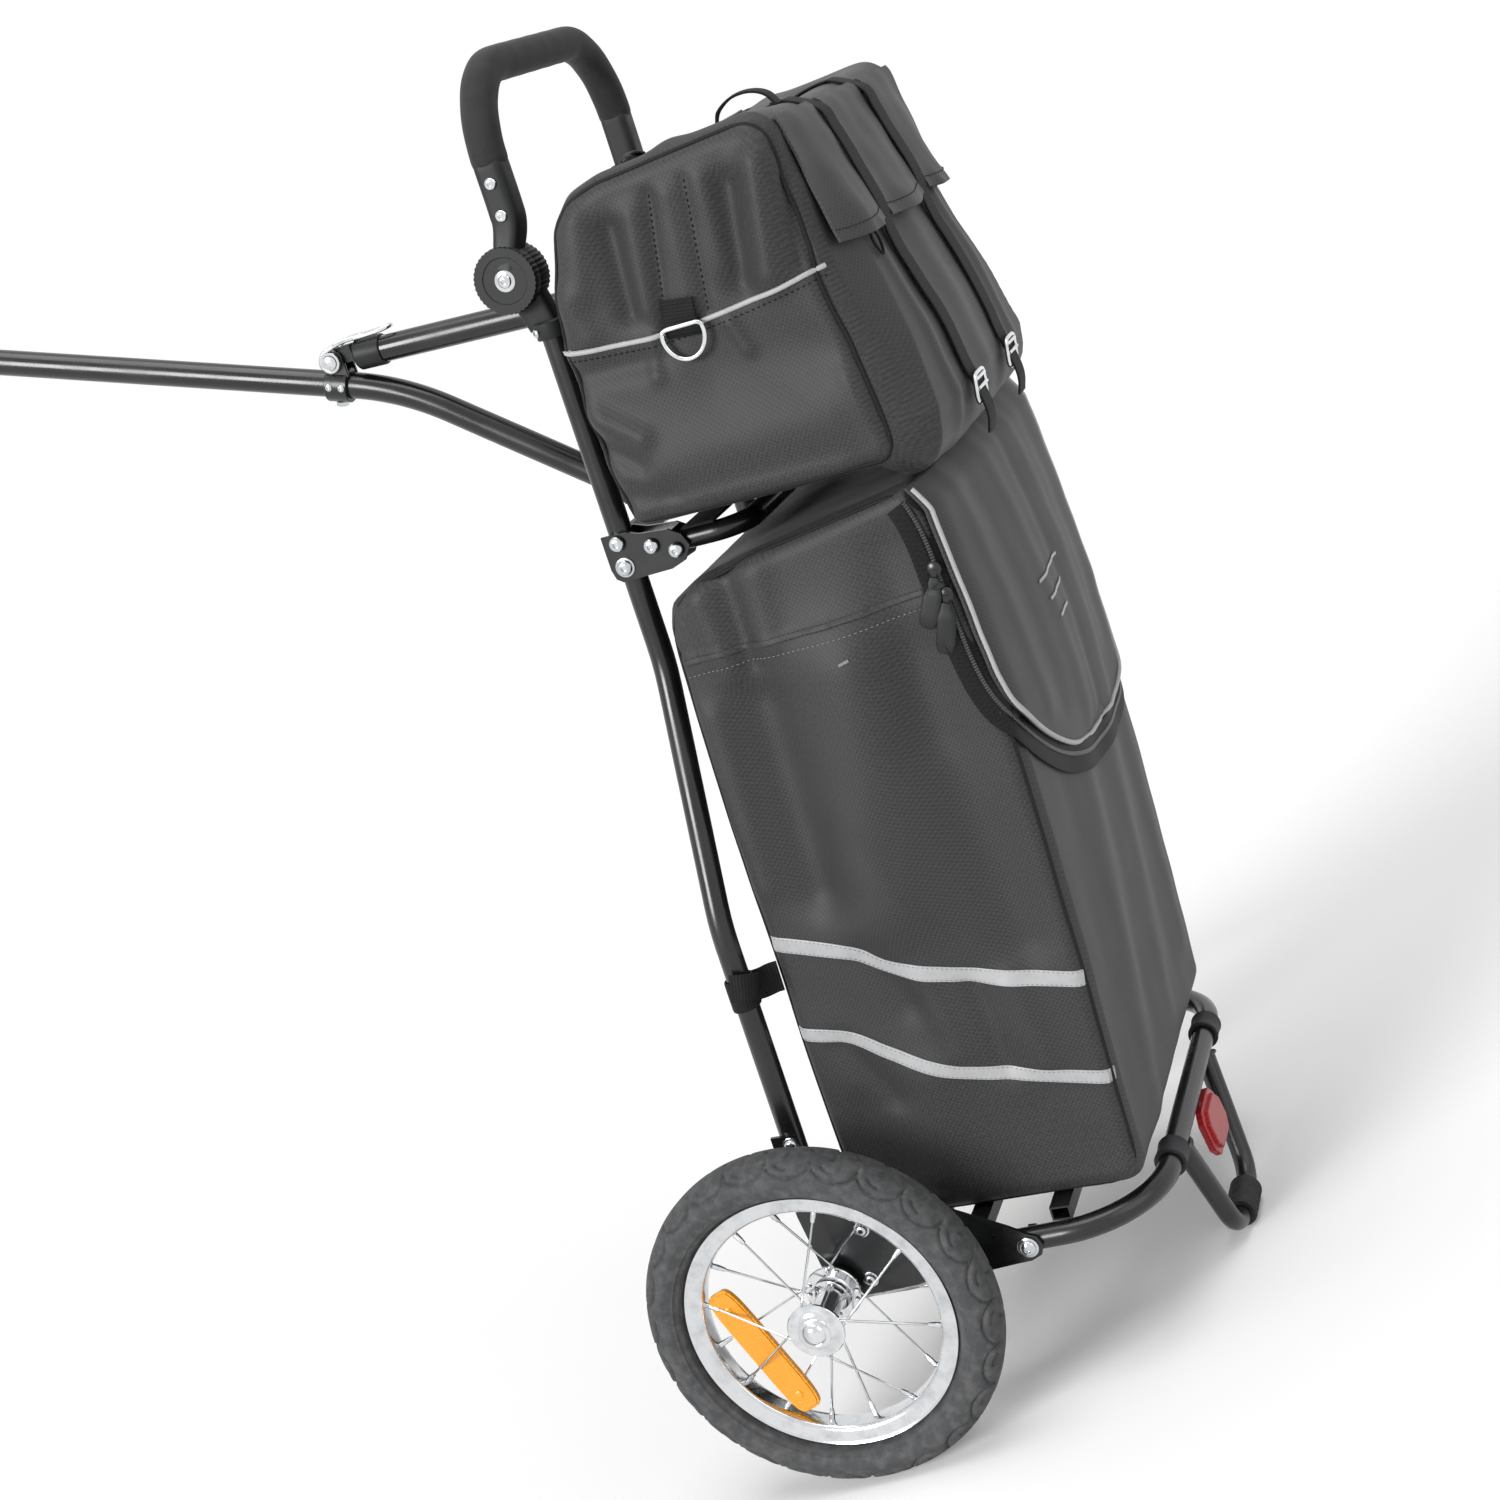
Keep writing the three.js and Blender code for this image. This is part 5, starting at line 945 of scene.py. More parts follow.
@dataclass
class Platform:
    """Folding platform: bent rail, stand with its rubber foot, collars, pivot bolts and the rear reflector."""

    rail_x: float = 203.0
    rail_start_y: float = 150.0
    rail_rear_y: float = 265.0
    pivot: tuple = (163.0, 11.0)
    rise_deg: float = 3.0
    rail_bend: float = 75.0
    tube_radius: float = 9.5
    stand_radius: float = 8.5
    stand_root_x: float = 84.0
    stand_foot_x: float = 45.0
    stand_bend: float = 30.0
    foot_length: float = 44.0
    collar_x: float = 112.0
    collar_width: float = 24.0
    reflector_width: float = 60.0
    reflector_height: float = 42.0
    reflector_drop: float = 12.0
    stand_lean_deg: float = 9.0

    def rail_z(self, y: float) -> float:
        """Height of the rail's middle line, which rises to the rear from the pivot."""
        return self.pivot[1] + (y - self.pivot[0]) * math.tan(math.radians(self.rise_deg))

    def rail(self) -> None:
        """Carries the tube round the platform's rear with a large bend at each corner."""
        front, rear = self.rail_z(self.rail_start_y), self.rail_z(self.rail_rear_y)
        corners = [(self.rail_x, self.rail_start_y, front), (self.rail_x, self.rail_rear_y, rear),
                   (-self.rail_x, self.rail_rear_y, rear), (-self.rail_x, self.rail_start_y, front)]
        grid = sweep(rounded(corners, self.rail_bend, 3.0), circle(self.tube_radius, 36), (0, 0, 1))
        Skin().add(grid).build("bent_rail", ENAMEL, "platform", "frame", ("platform_rail",))

    def stand(self) -> None:
        """Carries the stand's tube down from the rail, round the foot and up again, with a weld bead at each root."""
        rear, (foot_y, foot_z) = self.rail_z(self.rail_rear_y), FOOT_PLACE
        roots = [np.array([sign * self.stand_root_x, self.rail_rear_y, rear]) for sign in (1, -1)]
        feet = [np.array([sign * self.stand_foot_x, foot_y, foot_z]) for sign in (1, -1)]
        start = [root + unit(foot - root) * (self.tube_radius - 1.5) for root, foot in zip(roots, feet)]
        path = rounded([start[0], feet[0], feet[1], start[1]], self.stand_bend, 4.0)
        skin = Skin().add(sweep(path, circle(self.stand_radius, 32), (0, 1, 0.3)))
        for root, foot in zip(roots, feet):
            run = unit(foot - root)
            skin.add(turned([(8.6, 7.0), (10.6, 8.4), (10.4, 10.0), (8.6, 11.4)], tuple(root), tuple(run),
                            32))
        skin.build("bent_stand", ENAMEL, "platform", "frame", ("stand_loop",))

    def foot(self) -> None:
        """Turns the rubber foot sleeve with moulded ribs and adds its small tab."""
        half = self.foot_length / 2
        x = np.linspace(-half, half, 46)
        end = np.clip((half - np.abs(x)) / 2.5, 0, 1)
        radius = FOOT_RADIUS - 0.9 + 0.9 * np.cos(x * 2 * math.pi / 5.5) ** 2 - 1.6 * (1 - end)
        inside = [(self.stand_radius + 0.2, x[-1]), (self.stand_radius + 0.2, x[0])]
        profile = np.vstack([np.column_stack([radius, x]), inside])
        skin = Skin().add(turned(profile.tolist(), (0, *FOOT_PLACE), (1, 0, 0), 48), Ends.JOINED)
        skin.build("rubber_foot", SOFT_RUBBER, "platform", "rubber", ("stand_foot",))

    def collars(self, side: Side) -> None:
        """Turns the strap collar on the rear rail, lips at both edges, with a knot of loose strap."""
        centre = (self.collar_x, self.rail_rear_y, self.rail_z(self.rail_rear_y))
        half, inner = self.collar_width / 2, self.tube_radius + 0.3
        profile = [(inner, -half), (12.2, -half), (13.1, -half + 1.2), (12.5, -half + 3), (12.5, half - 3),
                   (13.1, half - 1.2), (12.2, half), (inner, half)]
        skin = Skin().add(turned(profile, centre, (1, 0, 0), 40), Ends.JOINED)
        word = side.name.lower()
        skin.mirrored(side).build(f"rail_sleeve_{word}", SOFT_RUBBER, "platform", "rubber",
                                  (f"rail_collar_{word}",))

    def bolts(self, side: Side) -> None:
        """Adds the pivot's domed bolt over a washer, and its nut inside the rail."""
        y, z = self.pivot
        x = self.rail_x + self.tube_radius + 3.6
        skin = Skin().add(turned([(8.4, 0), (8.4, 1.0), (8.0, 1.3)], (x, y, z),
                                 count=32)).add(dome_head((x + 1.2, y, z), (1, 0, 0), 6.6, 4.2))
        skin.add(hex_head((self.rail_x - self.tube_radius, y, z), (-1, 0, 0), 6.4, 4.2))
        skin.add(turned([(3.9, 0), (3.9, 22)], (self.rail_x - self.tube_radius - 3, y, z), count=20))
        word = side.name.lower()
        skin.mirrored(side).build(f"pivot_bolt_{word}", ZINC, "platform", "steel", (f"platform_bolt_{word}",))

    def reflector(self) -> None:
        """Red lens with clipped corners and a stepped face, and the two small screws of its strip."""
        tilt, base = math.radians(self.stand_lean_deg), np.array([0, self.rail_rear_y,
                                                                  self.rail_z(self.rail_rear_y)])
        half, top, low = self.reflector_width / 2, -self.reflector_drop, -self.reflector_drop - self.reflector_height

        def set_in(grid: Array) -> Array:
            """Leans a grid with the stand and moves it under the rear rail."""
            x, y, z = np.moveaxis(grid, -1, 0)
            return np.stack([x, y * math.cos(tilt) - z * math.sin(tilt),
                             y * math.sin(tilt) + z * math.cos(tilt)], axis=-1) + base

        lens, screws = Skin(), Skin()
        for inset, y0, y1 in ((0.0, 2.3, 8.8), (4.0, 8.0, 12.3)):
            w, t, b, c = half - inset, top - inset, low + inset, 9.0
            rim = [(-w, t - c), (-w + c, t), (w - c, t), (w, t - c), (w, b + c), (w - c, b), (-w + c, b),
                   (-w, b + c)]
            plate = prism([(y, z) for y, z in rim], y0, y1, 0.8)
            lens.add(set_in(plate[..., [1, 0, 2]]))
        lens.build("rear_lens", RED, "platform", "red", ("reflector_rear",), sharp_deg=25)
        for z in (top + 4.0, low - 3.5):
            screws.add(set_in(dome_head((0, 2.0, z), (0, 1, 0), 3.6, 2.2, 20)))
        screws.build("reflector_screws", ZINC, "platform", "steel")

    def build(self) -> None:
        """Builds the platform and dresses its slat and strip."""
        self.rail()
        self.stand()
        self.foot()
        for side in Side:
            self.collars(side)
            self.bolts(side)
        self.reflector()
        dress(ENAMEL, "platform_slat", "reflector_strip")


@dataclass
class UpperFrame:
    """Folding upper frame: straight uprights, hinge channels, crossbars and the padded shelf loop."""

    upper_x: float = 141.0
    tube_radius: float = 9.5
    start_z: float = 604.0
    end_z: float = 780.0
    shelf_radius: float = 8.0
    shelf_z: float = 598.5
    shelf_start_y: float = 14.0
    shelf_rear_y: float = 98.0
    shelf_bend: float = 26.0
    hinge_face_x: float = 153.8
    hinge_screws: tuple = ((0.0, 610.0), (26.0, 602.0), (44.0, 594.5))
    pivot_z: float = 591.0

    def uprights(self, side: Side) -> None:
        """Straight round tube from the hinge to the handle's socket."""
        path = np.array([[self.upper_x, 0, self.start_z], [self.upper_x, 0, self.end_z]])
        word = side.name.lower()
        skin = Skin().add(sweep(path, circle(self.tube_radius, 36), (0, 1, 0)))
        skin.mirrored(side).build(f"straight_upright_{word}", ENAMEL, "upper_frame", "frame",
                                  (f"upright_upper_{word}",))

    def hinge(self, side: Side) -> None:
        """Domed screws of the hinge channel, and the frame's pivot bolt with washer, shank and nut."""
        word = side.name.lower()
        screws = Skin()
        for y, z in self.hinge_screws:
            screws.add(dome_head((self.hinge_face_x + 2.0, y, z), (1, 0, 0), 5.9, 3.4))
        screws.mirrored(side).build(f"hinge_screws_{word}", ZINC, "upper_frame", "steel")
        bolt, x = Skin(), self.hinge_face_x + 0.3
        bolt.add(turned([(7.6, 0), (7.6, 0.9), (7.2, 1.2)], (x, 0, self.pivot_z),
                        count=32)).add(dome_head((x + 1.0, 0, self.pivot_z), (1, 0, 0), 6.2, 4.0))
        bolt.add(hex_head((128.0, 0, self.pivot_z), (-1, 0, 0), 6.0, 4.0)).add(turned([(3.9, 0), (3.9, 32)],
            (124.5, 0, self.pivot_z), count=20))
        bolt.mirrored(side).build(f"hinge_bolt_{word}", ZINC, "upper_frame", "steel", (f"frame_bolt_{word}",))

    def shelf(self) -> None:
        """Carries the shelf's thinner tube round the loop behind the uprights."""
        x, rear, z = self.upper_x, self.shelf_rear_y, self.shelf_z
        corners = [(x, self.shelf_start_y, z), (x, rear, z), (-x, rear, z), (-x, self.shelf_start_y, z)]
        Skin().add(sweep(rounded(corners, self.shelf_bend), circle(self.shelf_radius, 30), (0, 0, 1))).build(
            "shelf_tube", ENAMEL, "upper_frame", "frame", ("shelf_loop",))

    def build(self) -> None:
        """Builds the frame and dresses its flat parts and crossbars."""
        for side in Side:
            self.uprights(side)
            self.hinge(side)
        self.shelf()
        dress(ENAMEL, "hinge_channel_left", "hinge_channel_right", "root_bar", "top_bar")
        dress(WEB, "shelf_strap")


@dataclass
class TiltHandle:
    """Tilting handle: toothed tilt discs, flat arms with domed screws, and the foam-sleeved bow."""

    upper_x: float = 141.0
    tilt: tuple = (-16.0, 820.0)
    disc_radius: float = 25.0
    split_x: float = 148.0
    outer_x: float = 159.0
    arm_y: float = -4.0
    arm_width: float = 25.0
    arm_depth: float = 15.0
    arm_end_z: float = 900.0
    grip_radius: float = 13.5
    grip_top_z: float = 969.0
    grip_bend: float = 66.0
    arm_screws_z: tuple = (865.0, 889.0)
    teeth: int = 40

    def disc(self, x0: float, x1: float, face: float) -> Array:
        """Disc whose rim is scalloped by the teeth: radius less a small cosine of the angle, flat at both faces."""
        angle = np.arange(480) / 480 * 2 * math.pi
        x = np.array([x0, x0, x0 + face, x1 - face, x1, x1, x1 - 0.8, x1 - 0.8])
        r = np.array([20.0, 24.4, 25.0, 25.0, 24.4, 17.5, 16.9, 8.0])
        wave = 0.5 * (1 - np.cos(self.teeth * angle))[None] * 0.6 * (r > 24)[:, None]
        radius = (r[:, None] * self.disc_radius / 25.0) - wave
        y = self.tilt[0] + radius * np.cos(angle)
        z = self.tilt[1] + radius * np.sin(angle)
        return np.stack([np.broadcast_to(x[:, None], radius.shape), y, z], axis=-1)

    def socket(self, side: Side) -> None:
        """Sleeve on the upright's top, flared stem and the fixed disc of the tilt joint."""
        word = side.name.lower()
        skin = Skin()
        skin.add(turned([(9.8, 0), (12.4, 0), (12.8, 0.8), (12.8, 12.0), (11.6, 13.3), (2.0, 13.5)],
                        (self.upper_x, 0, 770), (0, 0, 1), 40))
        stem = np.array([[138.5, -4.0, 780], [138.5, -7.5, 795], [138.5, -12.0, 812]])
        skin.add(sweep(spline(stem, 12), slab(18.0, 24.0, 5), (0, 1, 0), np.linspace(1.0, 1.12, 12)))
        skin.add(self.disc(129.0, self.split_x - 0.3, 1.0))
        skin.mirrored(side).build(f"socket_{word}", NYLON, "upper_frame", "plastic", (f"tilt_socket_{word}",))
        rivet = Skin().add(dome_head((self.upper_x + 9.0, -9.0, 776.5), (0.72, -0.69, 0), 3.6, 2.4, 24))
        rivet.mirrored(side).build(f"socket_rivet_{word}", ZINC, "upper_frame", "steel")

    def arm(self, side: Side) -> None:
        """Moving disc, cranked flat arm that runs up from it into the grip, and the tilt screw and arm screws."""
        word, y, z = side.name.lower(), *self.tilt
        skin = Skin().add(self.disc(self.split_x, self.outer_x, 1.2))
        path = spline([(self.upper_x + 8, y + 2, z + 6), (self.upper_x + 5, y + 6, z + 20),
                       (self.upper_x + 1, self.arm_y - 1, z + 36),
                       (self.upper_x, self.arm_y, z + 50), (self.upper_x, self.arm_y, self.arm_end_z + 7)],
                       30)
        size = np.interp(np.arange(30), [0, 8, 14, 27, 29], [0.8, 0.9, 1.0, 1.0, 0.9])
        skin.add(sweep(path, slab(self.arm_width, self.arm_depth + 8, 4.0, 40), (0, 1, 0), size))
        skin.mirrored(side).build(f"arm_{word}", NYLON, "handle", "plastic", (f"handle_arm_{word}",))
        screws = Skin().add(dome_head((self.outer_x - 0.9, y, z), (1, 0, 0), 5.4, 3.4))
        screws.add(turned([(8.0, 0), (8.0, 0.5), (7.4, 0.9)], (self.outer_x - 1.0, y, z), count=32))
        for height in self.arm_screws_z:
            screws.add(dome_head((self.upper_x + self.arm_width / 2 - 0.2, self.arm_y, height), (1, 0, 0),
                                 4.6, 2.9))
        screws.mirrored(side).build(f"arm_screws_{word}", CHROME, "handle", "chrome")

    def grip(self) -> None:
        """Carries the foam's round section along the bow; the ends are rolled in and the wall swells a little."""
        x, y, low, top = self.upper_x, self.arm_y, self.arm_end_z + 0.3, self.grip_top_z
        path = evenly(rounded([(x, y, low), (x, y, top), (-x, y, top), (-x, y, low)], self.grip_bend, 3.0),
                      150)
        share = np.linspace(0, 1, 150)
        end = np.minimum(share, 1 - share) * 150
        size = np.interp(end, [0, 1.0, 2.4], [0.86, 0.97, 1.0]) * (1 - 0.012 * np.sin(share * 37.0) ** 2)
        section = slab(self.grip_radius * 2, self.grip_radius * 2, 2.3, 40)
        Skin().add(sweep(path, section, (0, 1, 0), size)).build("foam_grip", FOAM, "handle", "foam",
                                                                ("handle_grip",))

    def build(self) -> None:
        """Builds both sides and the grip."""
        for side in Side:
            self.socket(side)
            self.arm(side)
        self.grip()
        dress(ENAMEL, "handle_bow")


@dataclass
class Drawbar:
    """Bent drawbar with its latch, folding brace and hitch."""

    bar_radius: float = 11.0
    pivot: tuple = (-36.0, 621.0)
    root_deg: float = 38.0
    tail: float = 8.0
    root_length: float = 211.0
    front_deg: float = 18.3
    front_length: float = 432.0
    bend: float = 250.0
    brace_pivot: tuple = (-34.0, 778.0)
    brace_tail: float = 8.0
    brace_end: float = 196.0
    latch_reach: float = 217.0
    latch_rise: float = 10.5
    pin_radius: float = 6.0
    pin_half: float = 16.0

    def corners(self) -> list[Array]:
        """Tail, corner and front end of the drawbar's middle line."""
        root, front = math.radians(self.root_deg), math.radians(self.front_deg)
        pivot = np.array([0, *self.pivot])
        back = np.array([0, math.cos(root), -math.sin(root)])
        corner = pivot - back * self.root_length
        end = corner + np.array([0, -math.cos(front), math.sin(front)]) * self.front_length
        return [pivot + back * self.tail, corner, end]

    def latch_place(self) -> Array:
        """Middle of the latch pin."""
        return np.array([0, self.brace_pivot[0] - self.latch_reach, self.brace_pivot[1] + self.latch_rise])

    def bar(self) -> None:
        """Carries the round tube along the bent line, and closes the front end with a plug."""
        tail, corner, end = self.corners()
        path = rounded([tail, corner, end], self.bend, 1.5)
        Skin().add(sweep(path, circle(self.bar_radius, 40), (1, 0, 0))).build("bent_drawbar", ENAMEL,
            "drawbar", "frame", ("drawbar",))
        front = unit(end - corner)
        plug = Skin().add(turned([(9.0, -1.0), (10.9, -0.6), (10.9, 0.8), (9.6, 1.6)], tuple(end),
                                 tuple(front), 36))
        plug.build("drawbar_plug", NYLON, "drawbar", "plastic")

    def saddle(self) -> None:
        """Latch saddle: a strap round the bar, two cheeks that hold the pin, rivets, and a clamp screw below."""
        _, corner, end = self.corners()
        front, pin = unit(end - corner), self.latch_place()
        seat = corner + front * ((corner[1] - pin[1]) / -front[1])
        skin = Skin()
        inner, outer = self.bar_radius + 0.3, self.bar_radius + 3.3
        skin.add(turned([(inner, -6), (outer - 0.6, -6), (outer, -5.4), (outer, 13.4), (outer - 0.6, 14),
                         (inner, 14)], tuple(seat), tuple(front), 44), Ends.JOINED)
        y, z, floor = pin[1], pin[2], seat[2] + self.bar_radius * 0.8
        angle = np.radians(np.linspace(0, 180, 13))
        rim = [(y + 10, floor - 3)] + [(y + 10 * math.cos(a),
                                        z + 10 * math.sin(a)) for a in angle] + [(y - 10, floor)]
        for x0 in (6.8, -9.8):
            skin.add(prism(rim, x0, x0 + 3.0, 0.5))
        skin.build("latch_clip", ENAMEL, "drawbar", "frame", ("latch_saddle",))
        rivets = Skin()
        for reach in (-2.0, 9.0):
            for sign in (1, -1):
                rivets.add(dome_head(tuple(seat + front * reach + np.array([sign * (outer - 0.4), 0, 0])),
                                     (sign, 0, 0), 3.2, 1.9, 20))
        rivets.add(hex_head(tuple(seat + front * 4 + np.array([0, -0.3, -1]) * (outer - 0.6)), (0, -0.3, -1),
                            5.2, 3.6))
        rivets.build("latch_rivets", ZINC, "drawbar", "steel")

    def pin(self) -> None:
        """Turned barrel pin with a groove at each end, and the threaded adjuster with its nut to the front."""
        centre, half, r = self.latch_place(), self.pin_half, self.pin_radius
        profile = [(r - 1.2, -half), (r, -half + 0.8), (r, -half + 3), (r - 0.9, -half + 3.6),
                   (r, -half + 4.4), (r, half - 4.4), (r - 0.9, half - 3.6),
                   (r, half - 3), (r, half - 0.8), (r - 1.2, half)]
        Skin().add(turned(profile, tuple(centre), count=40)).build("barrel_pin", CHROME, "drawbar", "chrome",
                                                                   ("latch_pin",))

    def lever(self) -> None:
        """Bends the twin-wire lever: eyes round the pin's ends, runs that lie up along the brace, and a round end."""
        _, y, z = self.latch_place()
        half = [(12.6, y - 1, z - 8.0), (12.6, y - 8.2, z - 1), (12.6, y - 5, z + 7.5),
                (12.4, y + 5, z + 11.5), (9.6, y + 16, z + 13.6),
                (7.4, y + 32, z + 13.2), (6.6, y + 47, z + 13.4), (4.4, y + 54.5, z + 14.2),
                (0.0, y + 56.8, z + 14.6)]
        wire = np.array(half + [(-x, a, b) for x, a, b in half[-2::-1]])
        skin = Skin().add(sweep(spline(wire, 150), circle(1.9, 14), (0.1, 0.2, 1.0)))
        bridge = spline([(8.6, y + 21, z + 13.4), (0, y + 22.5, z + 14.6), (-8.6, y + 21, z + 13.4)], 12)
        skin.add(sweep(bridge, slab(7.0, 2.0), (0, 0, 1)))
        for sign in (1, -1):
            skin.add(turned([(self.pin_radius + 0.4, -1.8), (self.pin_radius + 2.6, -1.8),
                             (self.pin_radius + 2.6, 1.8), (self.pin_radius + 0.4, 1.8)],
                            (sign * 12.4, y, z), count=32), Ends.JOINED)
        skin.build("wire_lever", CHROME, "lever", "chrome", ("latch_lever",))

    def brace(self) -> None:
        """Straight brace tube and the moulded end that carries its hook."""
        pivot = np.array([0, *self.brace_pivot])
        run = unit(self.latch_place() - pivot)
        path = np.array([pivot - run * self.brace_tail, pivot + run * self.brace_end])
        Skin().add(sweep(path, circle(self.bar_radius, 40), (1, 0, 0))).build("brace_tube", ENAMEL, "brace",
            "frame", ("brace",))
        sleeve = turned([(11.1, -24), (12.6, -23.4), (12.9, -22), (12.9, -1.0), (11.6, 0.6), (4.0, 0.8)],
                        tuple(path[1]), tuple(run), 40)
        Skin().add(sleeve).build("brace_end_sleeve", NYLON, "brace", "plastic")
        dress(NYLON, "brace_hook")

    def build(self) -> None:
        """Builds the drawbar's pieces and dresses the hitch."""
        self.bar()
        self.saddle()
        self.pin()
        self.lever()
        self.brace()
        dress(ENAMEL, "hitch_yoke")
        dress(NYLON, "hitch_clamp")


# Bags

class Face(Enum):
    """Face of a bag that a fold lies on; the value is the axis that the face looks along."""

    SIDE = 0
    REAR = 1
    TOP = 2


@dataclass(frozen=True)
class Fold:
    """Soft ridge (or valley, where height is negative) between two places of a face.

    On a side the places are Y and Z, on the rear X and Z, and on the top X and Y.
    """

    face: Face
    start: tuple
    end: tuple
    width: float
    height: float


def fold_lift(points: Array, normals: Array, folds: tuple[Fold, ...]) -> Array:
    """Sums the folds' lift at each point.

    Args:
        points: Places on the bag.
        normals: Outward directions there.
        folds: Ridges and valleys.
    Returns:
        Sum of height * exp(-(distance to the fold's line / width) squared), weighed by how squarely the
        point's normal looks along the fold's face.
    """
    lift = np.zeros(points.shape[:-1])
    for fold in folds:
        axis = fold.face.value
        flat = np.delete(points, axis, axis=-1)
        start, run = np.array(fold.start), np.array(fold.end) - np.array(fold.start)
        share = np.clip(((flat - start) @ run) / (run @ run), 0, 1)
        away = np.linalg.norm(flat - start - share[..., None] * run, axis=-1)
        facing = normals[..., axis] if axis else np.abs(normals[..., 0])
        lift += fold.height * np.exp(-(away / fold.width) ** 2) * np.clip(facing, 0, 1) ** 1.5
    return lift


def wander(points: Array, length: float, seed: float) -> Array:
    """Smooth unevenness of about the given wavelength: the mean of six sines in fixed directions."""
    total = np.zeros(points.shape[:-1])
    for n in range(6):
        a, b = seed + n * 2.4, seed * 1.7 + n * 1.1
        way = np.array([math.cos(a) * math.sin(b), math.sin(a) * math.sin(b), math.cos(b)])
        total += np.sin(points @ way * 2 * math.pi / (length * (0.7 + 0.12 * n)) + seed * 3 + n)
    return total / 6


@dataclass
class SewnShell:
    """Closed shell of a bag: a side outline carried across, with rounded side edges and soft folds."""

    outline: list
    half_width: float
    edge_radius: float
    spine: tuple
    folds: tuple = ()
    soften_mm: float = 9.0
    sag: float = 1.2
    columns: int = 300
    rings: int = 58
    bands: int = 110
    seed: float = 0.7
    crown: Callable[[Array, Array], Array] | None = None
    tuck: float = 1.6
    skin: Skin = field(default_factory=Skin)
    tree: BVHTree | None = None

    def edge(self) -> Array:
        """Side outline, evenly spaced and softened by a running mean about soften_mm wide."""
        line = np.array(self.outline + self.outline[:1], dtype=float)
        ring = evenly(line, self.columns, True)
        step = np.linalg.norm(ring[1] - ring[0])
        reach = max(int(self.soften_mm / step), 1)
        weights = np.hanning(2 * reach + 3)[1:-1]
        shifted = [np.roll(ring, k, axis=0) * w for k, w in zip(range(-reach, reach + 1), weights)]
        return sum(shifted) / weights.sum()

    def grid(self) -> Array:
        """Rows run from the right side's spine out to its edge, across, and in to the left side's spine.

        On a side, a ring is spine + share * (edge - spine), and its X falls off from the half width by a
        quarter circle near the edge. Then folds, sag and the crown lift every point along its normal.
        """
        edge = self.edge()
        a, b = (np.array(p, dtype=float) for p in self.spine)
        share = np.clip(((edge - a) @ (b - a)) / ((b - a) @ (b - a)), 0, 1)
        spine = a + share[:, None] * (b - a)
        arm = edge - spine
        ring = np.concatenate([np.linspace(0.012, 0.86, self.rings),
                               1 - 0.14 * np.cos(np.linspace(0.1, math.pi / 2, 12))])
        turn = np.roll(edge, -1, axis=0) - np.roll(edge, 1, axis=0)
        out = unit(np.stack([turn[:, 1], -turn[:, 0]], axis=-1))
        out *= np.sign(np.sum(out * arm, axis=1).mean())
        inset = (1 - ring[:, None]) * np.sum(arm * out, axis=1)[None] / self.edge_radius
        drop = self.edge_radius * (1 - np.sqrt(1 - np.clip(1 - inset, 0, 1) ** 2))
        flat = spine[None] + ring[:, None, None] * arm[None]
        right = np.concatenate([-(self.half_width - drop)[..., None], flat], axis=-1)
        span = np.linspace(-(self.half_width - self.edge_radius), self.half_width - self.edge_radius,
                           self.bands)[1:-1]
        middle = np.concatenate([np.broadcast_to(span[:, None, None], (len(span), self.columns, 1)),
                                 np.broadcast_to(edge[None], (len(span), self.columns, 2))], axis=-1)
        left = (right * np.array([-1, 1, 1]))[::-1]
        whole = np.concatenate([right, middle, left])
        bend = np.clip(1 - inset, 0, 1)
        right_way = np.concatenate([-np.sqrt(1 - bend ** 2)[..., None], bend[..., None] * out[None]], axis=-1)
        middle_way = np.broadcast_to(np.concatenate([np.zeros((self.columns, 1)), out], axis=1), middle.shape)
        normal = np.concatenate([right_way, middle_way, (right_way * np.array([-1, 1, 1]))[::-1]])
        tuck = np.exp(-((bend - 0.75) / 0.13) ** 2)
        tuck = np.concatenate([tuck, np.zeros(middle.shape[:2]), tuck[::-1]])
        lift = fold_lift(whole, normal, self.folds) - self.tuck * tuck
        lift = lift + self.sag * wander(whole, 150.0, self.seed) + self.sag * 0.45 * wander(whole, 52.0,
            self.seed + 2)
        if self.crown:
            lift = lift + self.crown(whole, normal)
        return whole + normal * lift[..., None]

    def make(self) -> Skin:
        """Adds the shell to its skin and keeps a search tree of it for the trim."""
        self.skin.add(self.grid())
        self.tree = BVHTree.FromPolygons(np.vstack(self.skin.points).tolist(), self.skin.faces)
        return self.skin

    def seam(self, sign: int, thick: float) -> Array:
        """Piped seam round one side panel: a tube on the middle of the rounded edge, smoothed along its way."""
        edge = self.edge()[::2]
        inset = 0.29 * self.edge_radius
        flat = edge + unit(np.mean(self.spine, axis=0) - edge) * inset
        found = [self.tree.find_nearest(Vector((sign * (self.half_width - inset), y, z))) for y, z in flat]
        place, out = np.array([hit[0][:] for hit in found]), unit(np.array([hit[1][:] for hit in found]))
        share = np.array([1, 2, 3, 2, 1]) / 9
        round_again = np.vstack([place[-2:], place, place[:2]])
        place = np.stack([np.convolve(round_again[:, i], share, "valid") for i in range(3)], axis=-1)
        return sweep(place + out * 0.3, circle(thick, 10), out, closed=True)

    def land(self, points: Array, direction: tuple) -> tuple[Array, Array]:
        """Drops points onto the shell.

        Args:
            points: Places off the shell.
            direction: Way that they fall.
        Returns:
            Places on the shell and its outward directions there.
        """
        way = Vector(direction).normalized()
        hits, normals = [], []
        for point in points:
            place = Vector(point) - way * 150
            found = self.tree.ray_cast(place, way)
            if found[0] is None:
                found = self.tree.find_nearest(Vector(point))
            hits.append(found[0][:])
            normals.append(found[1][:])
        return np.array(hits), unit(np.array(normals))


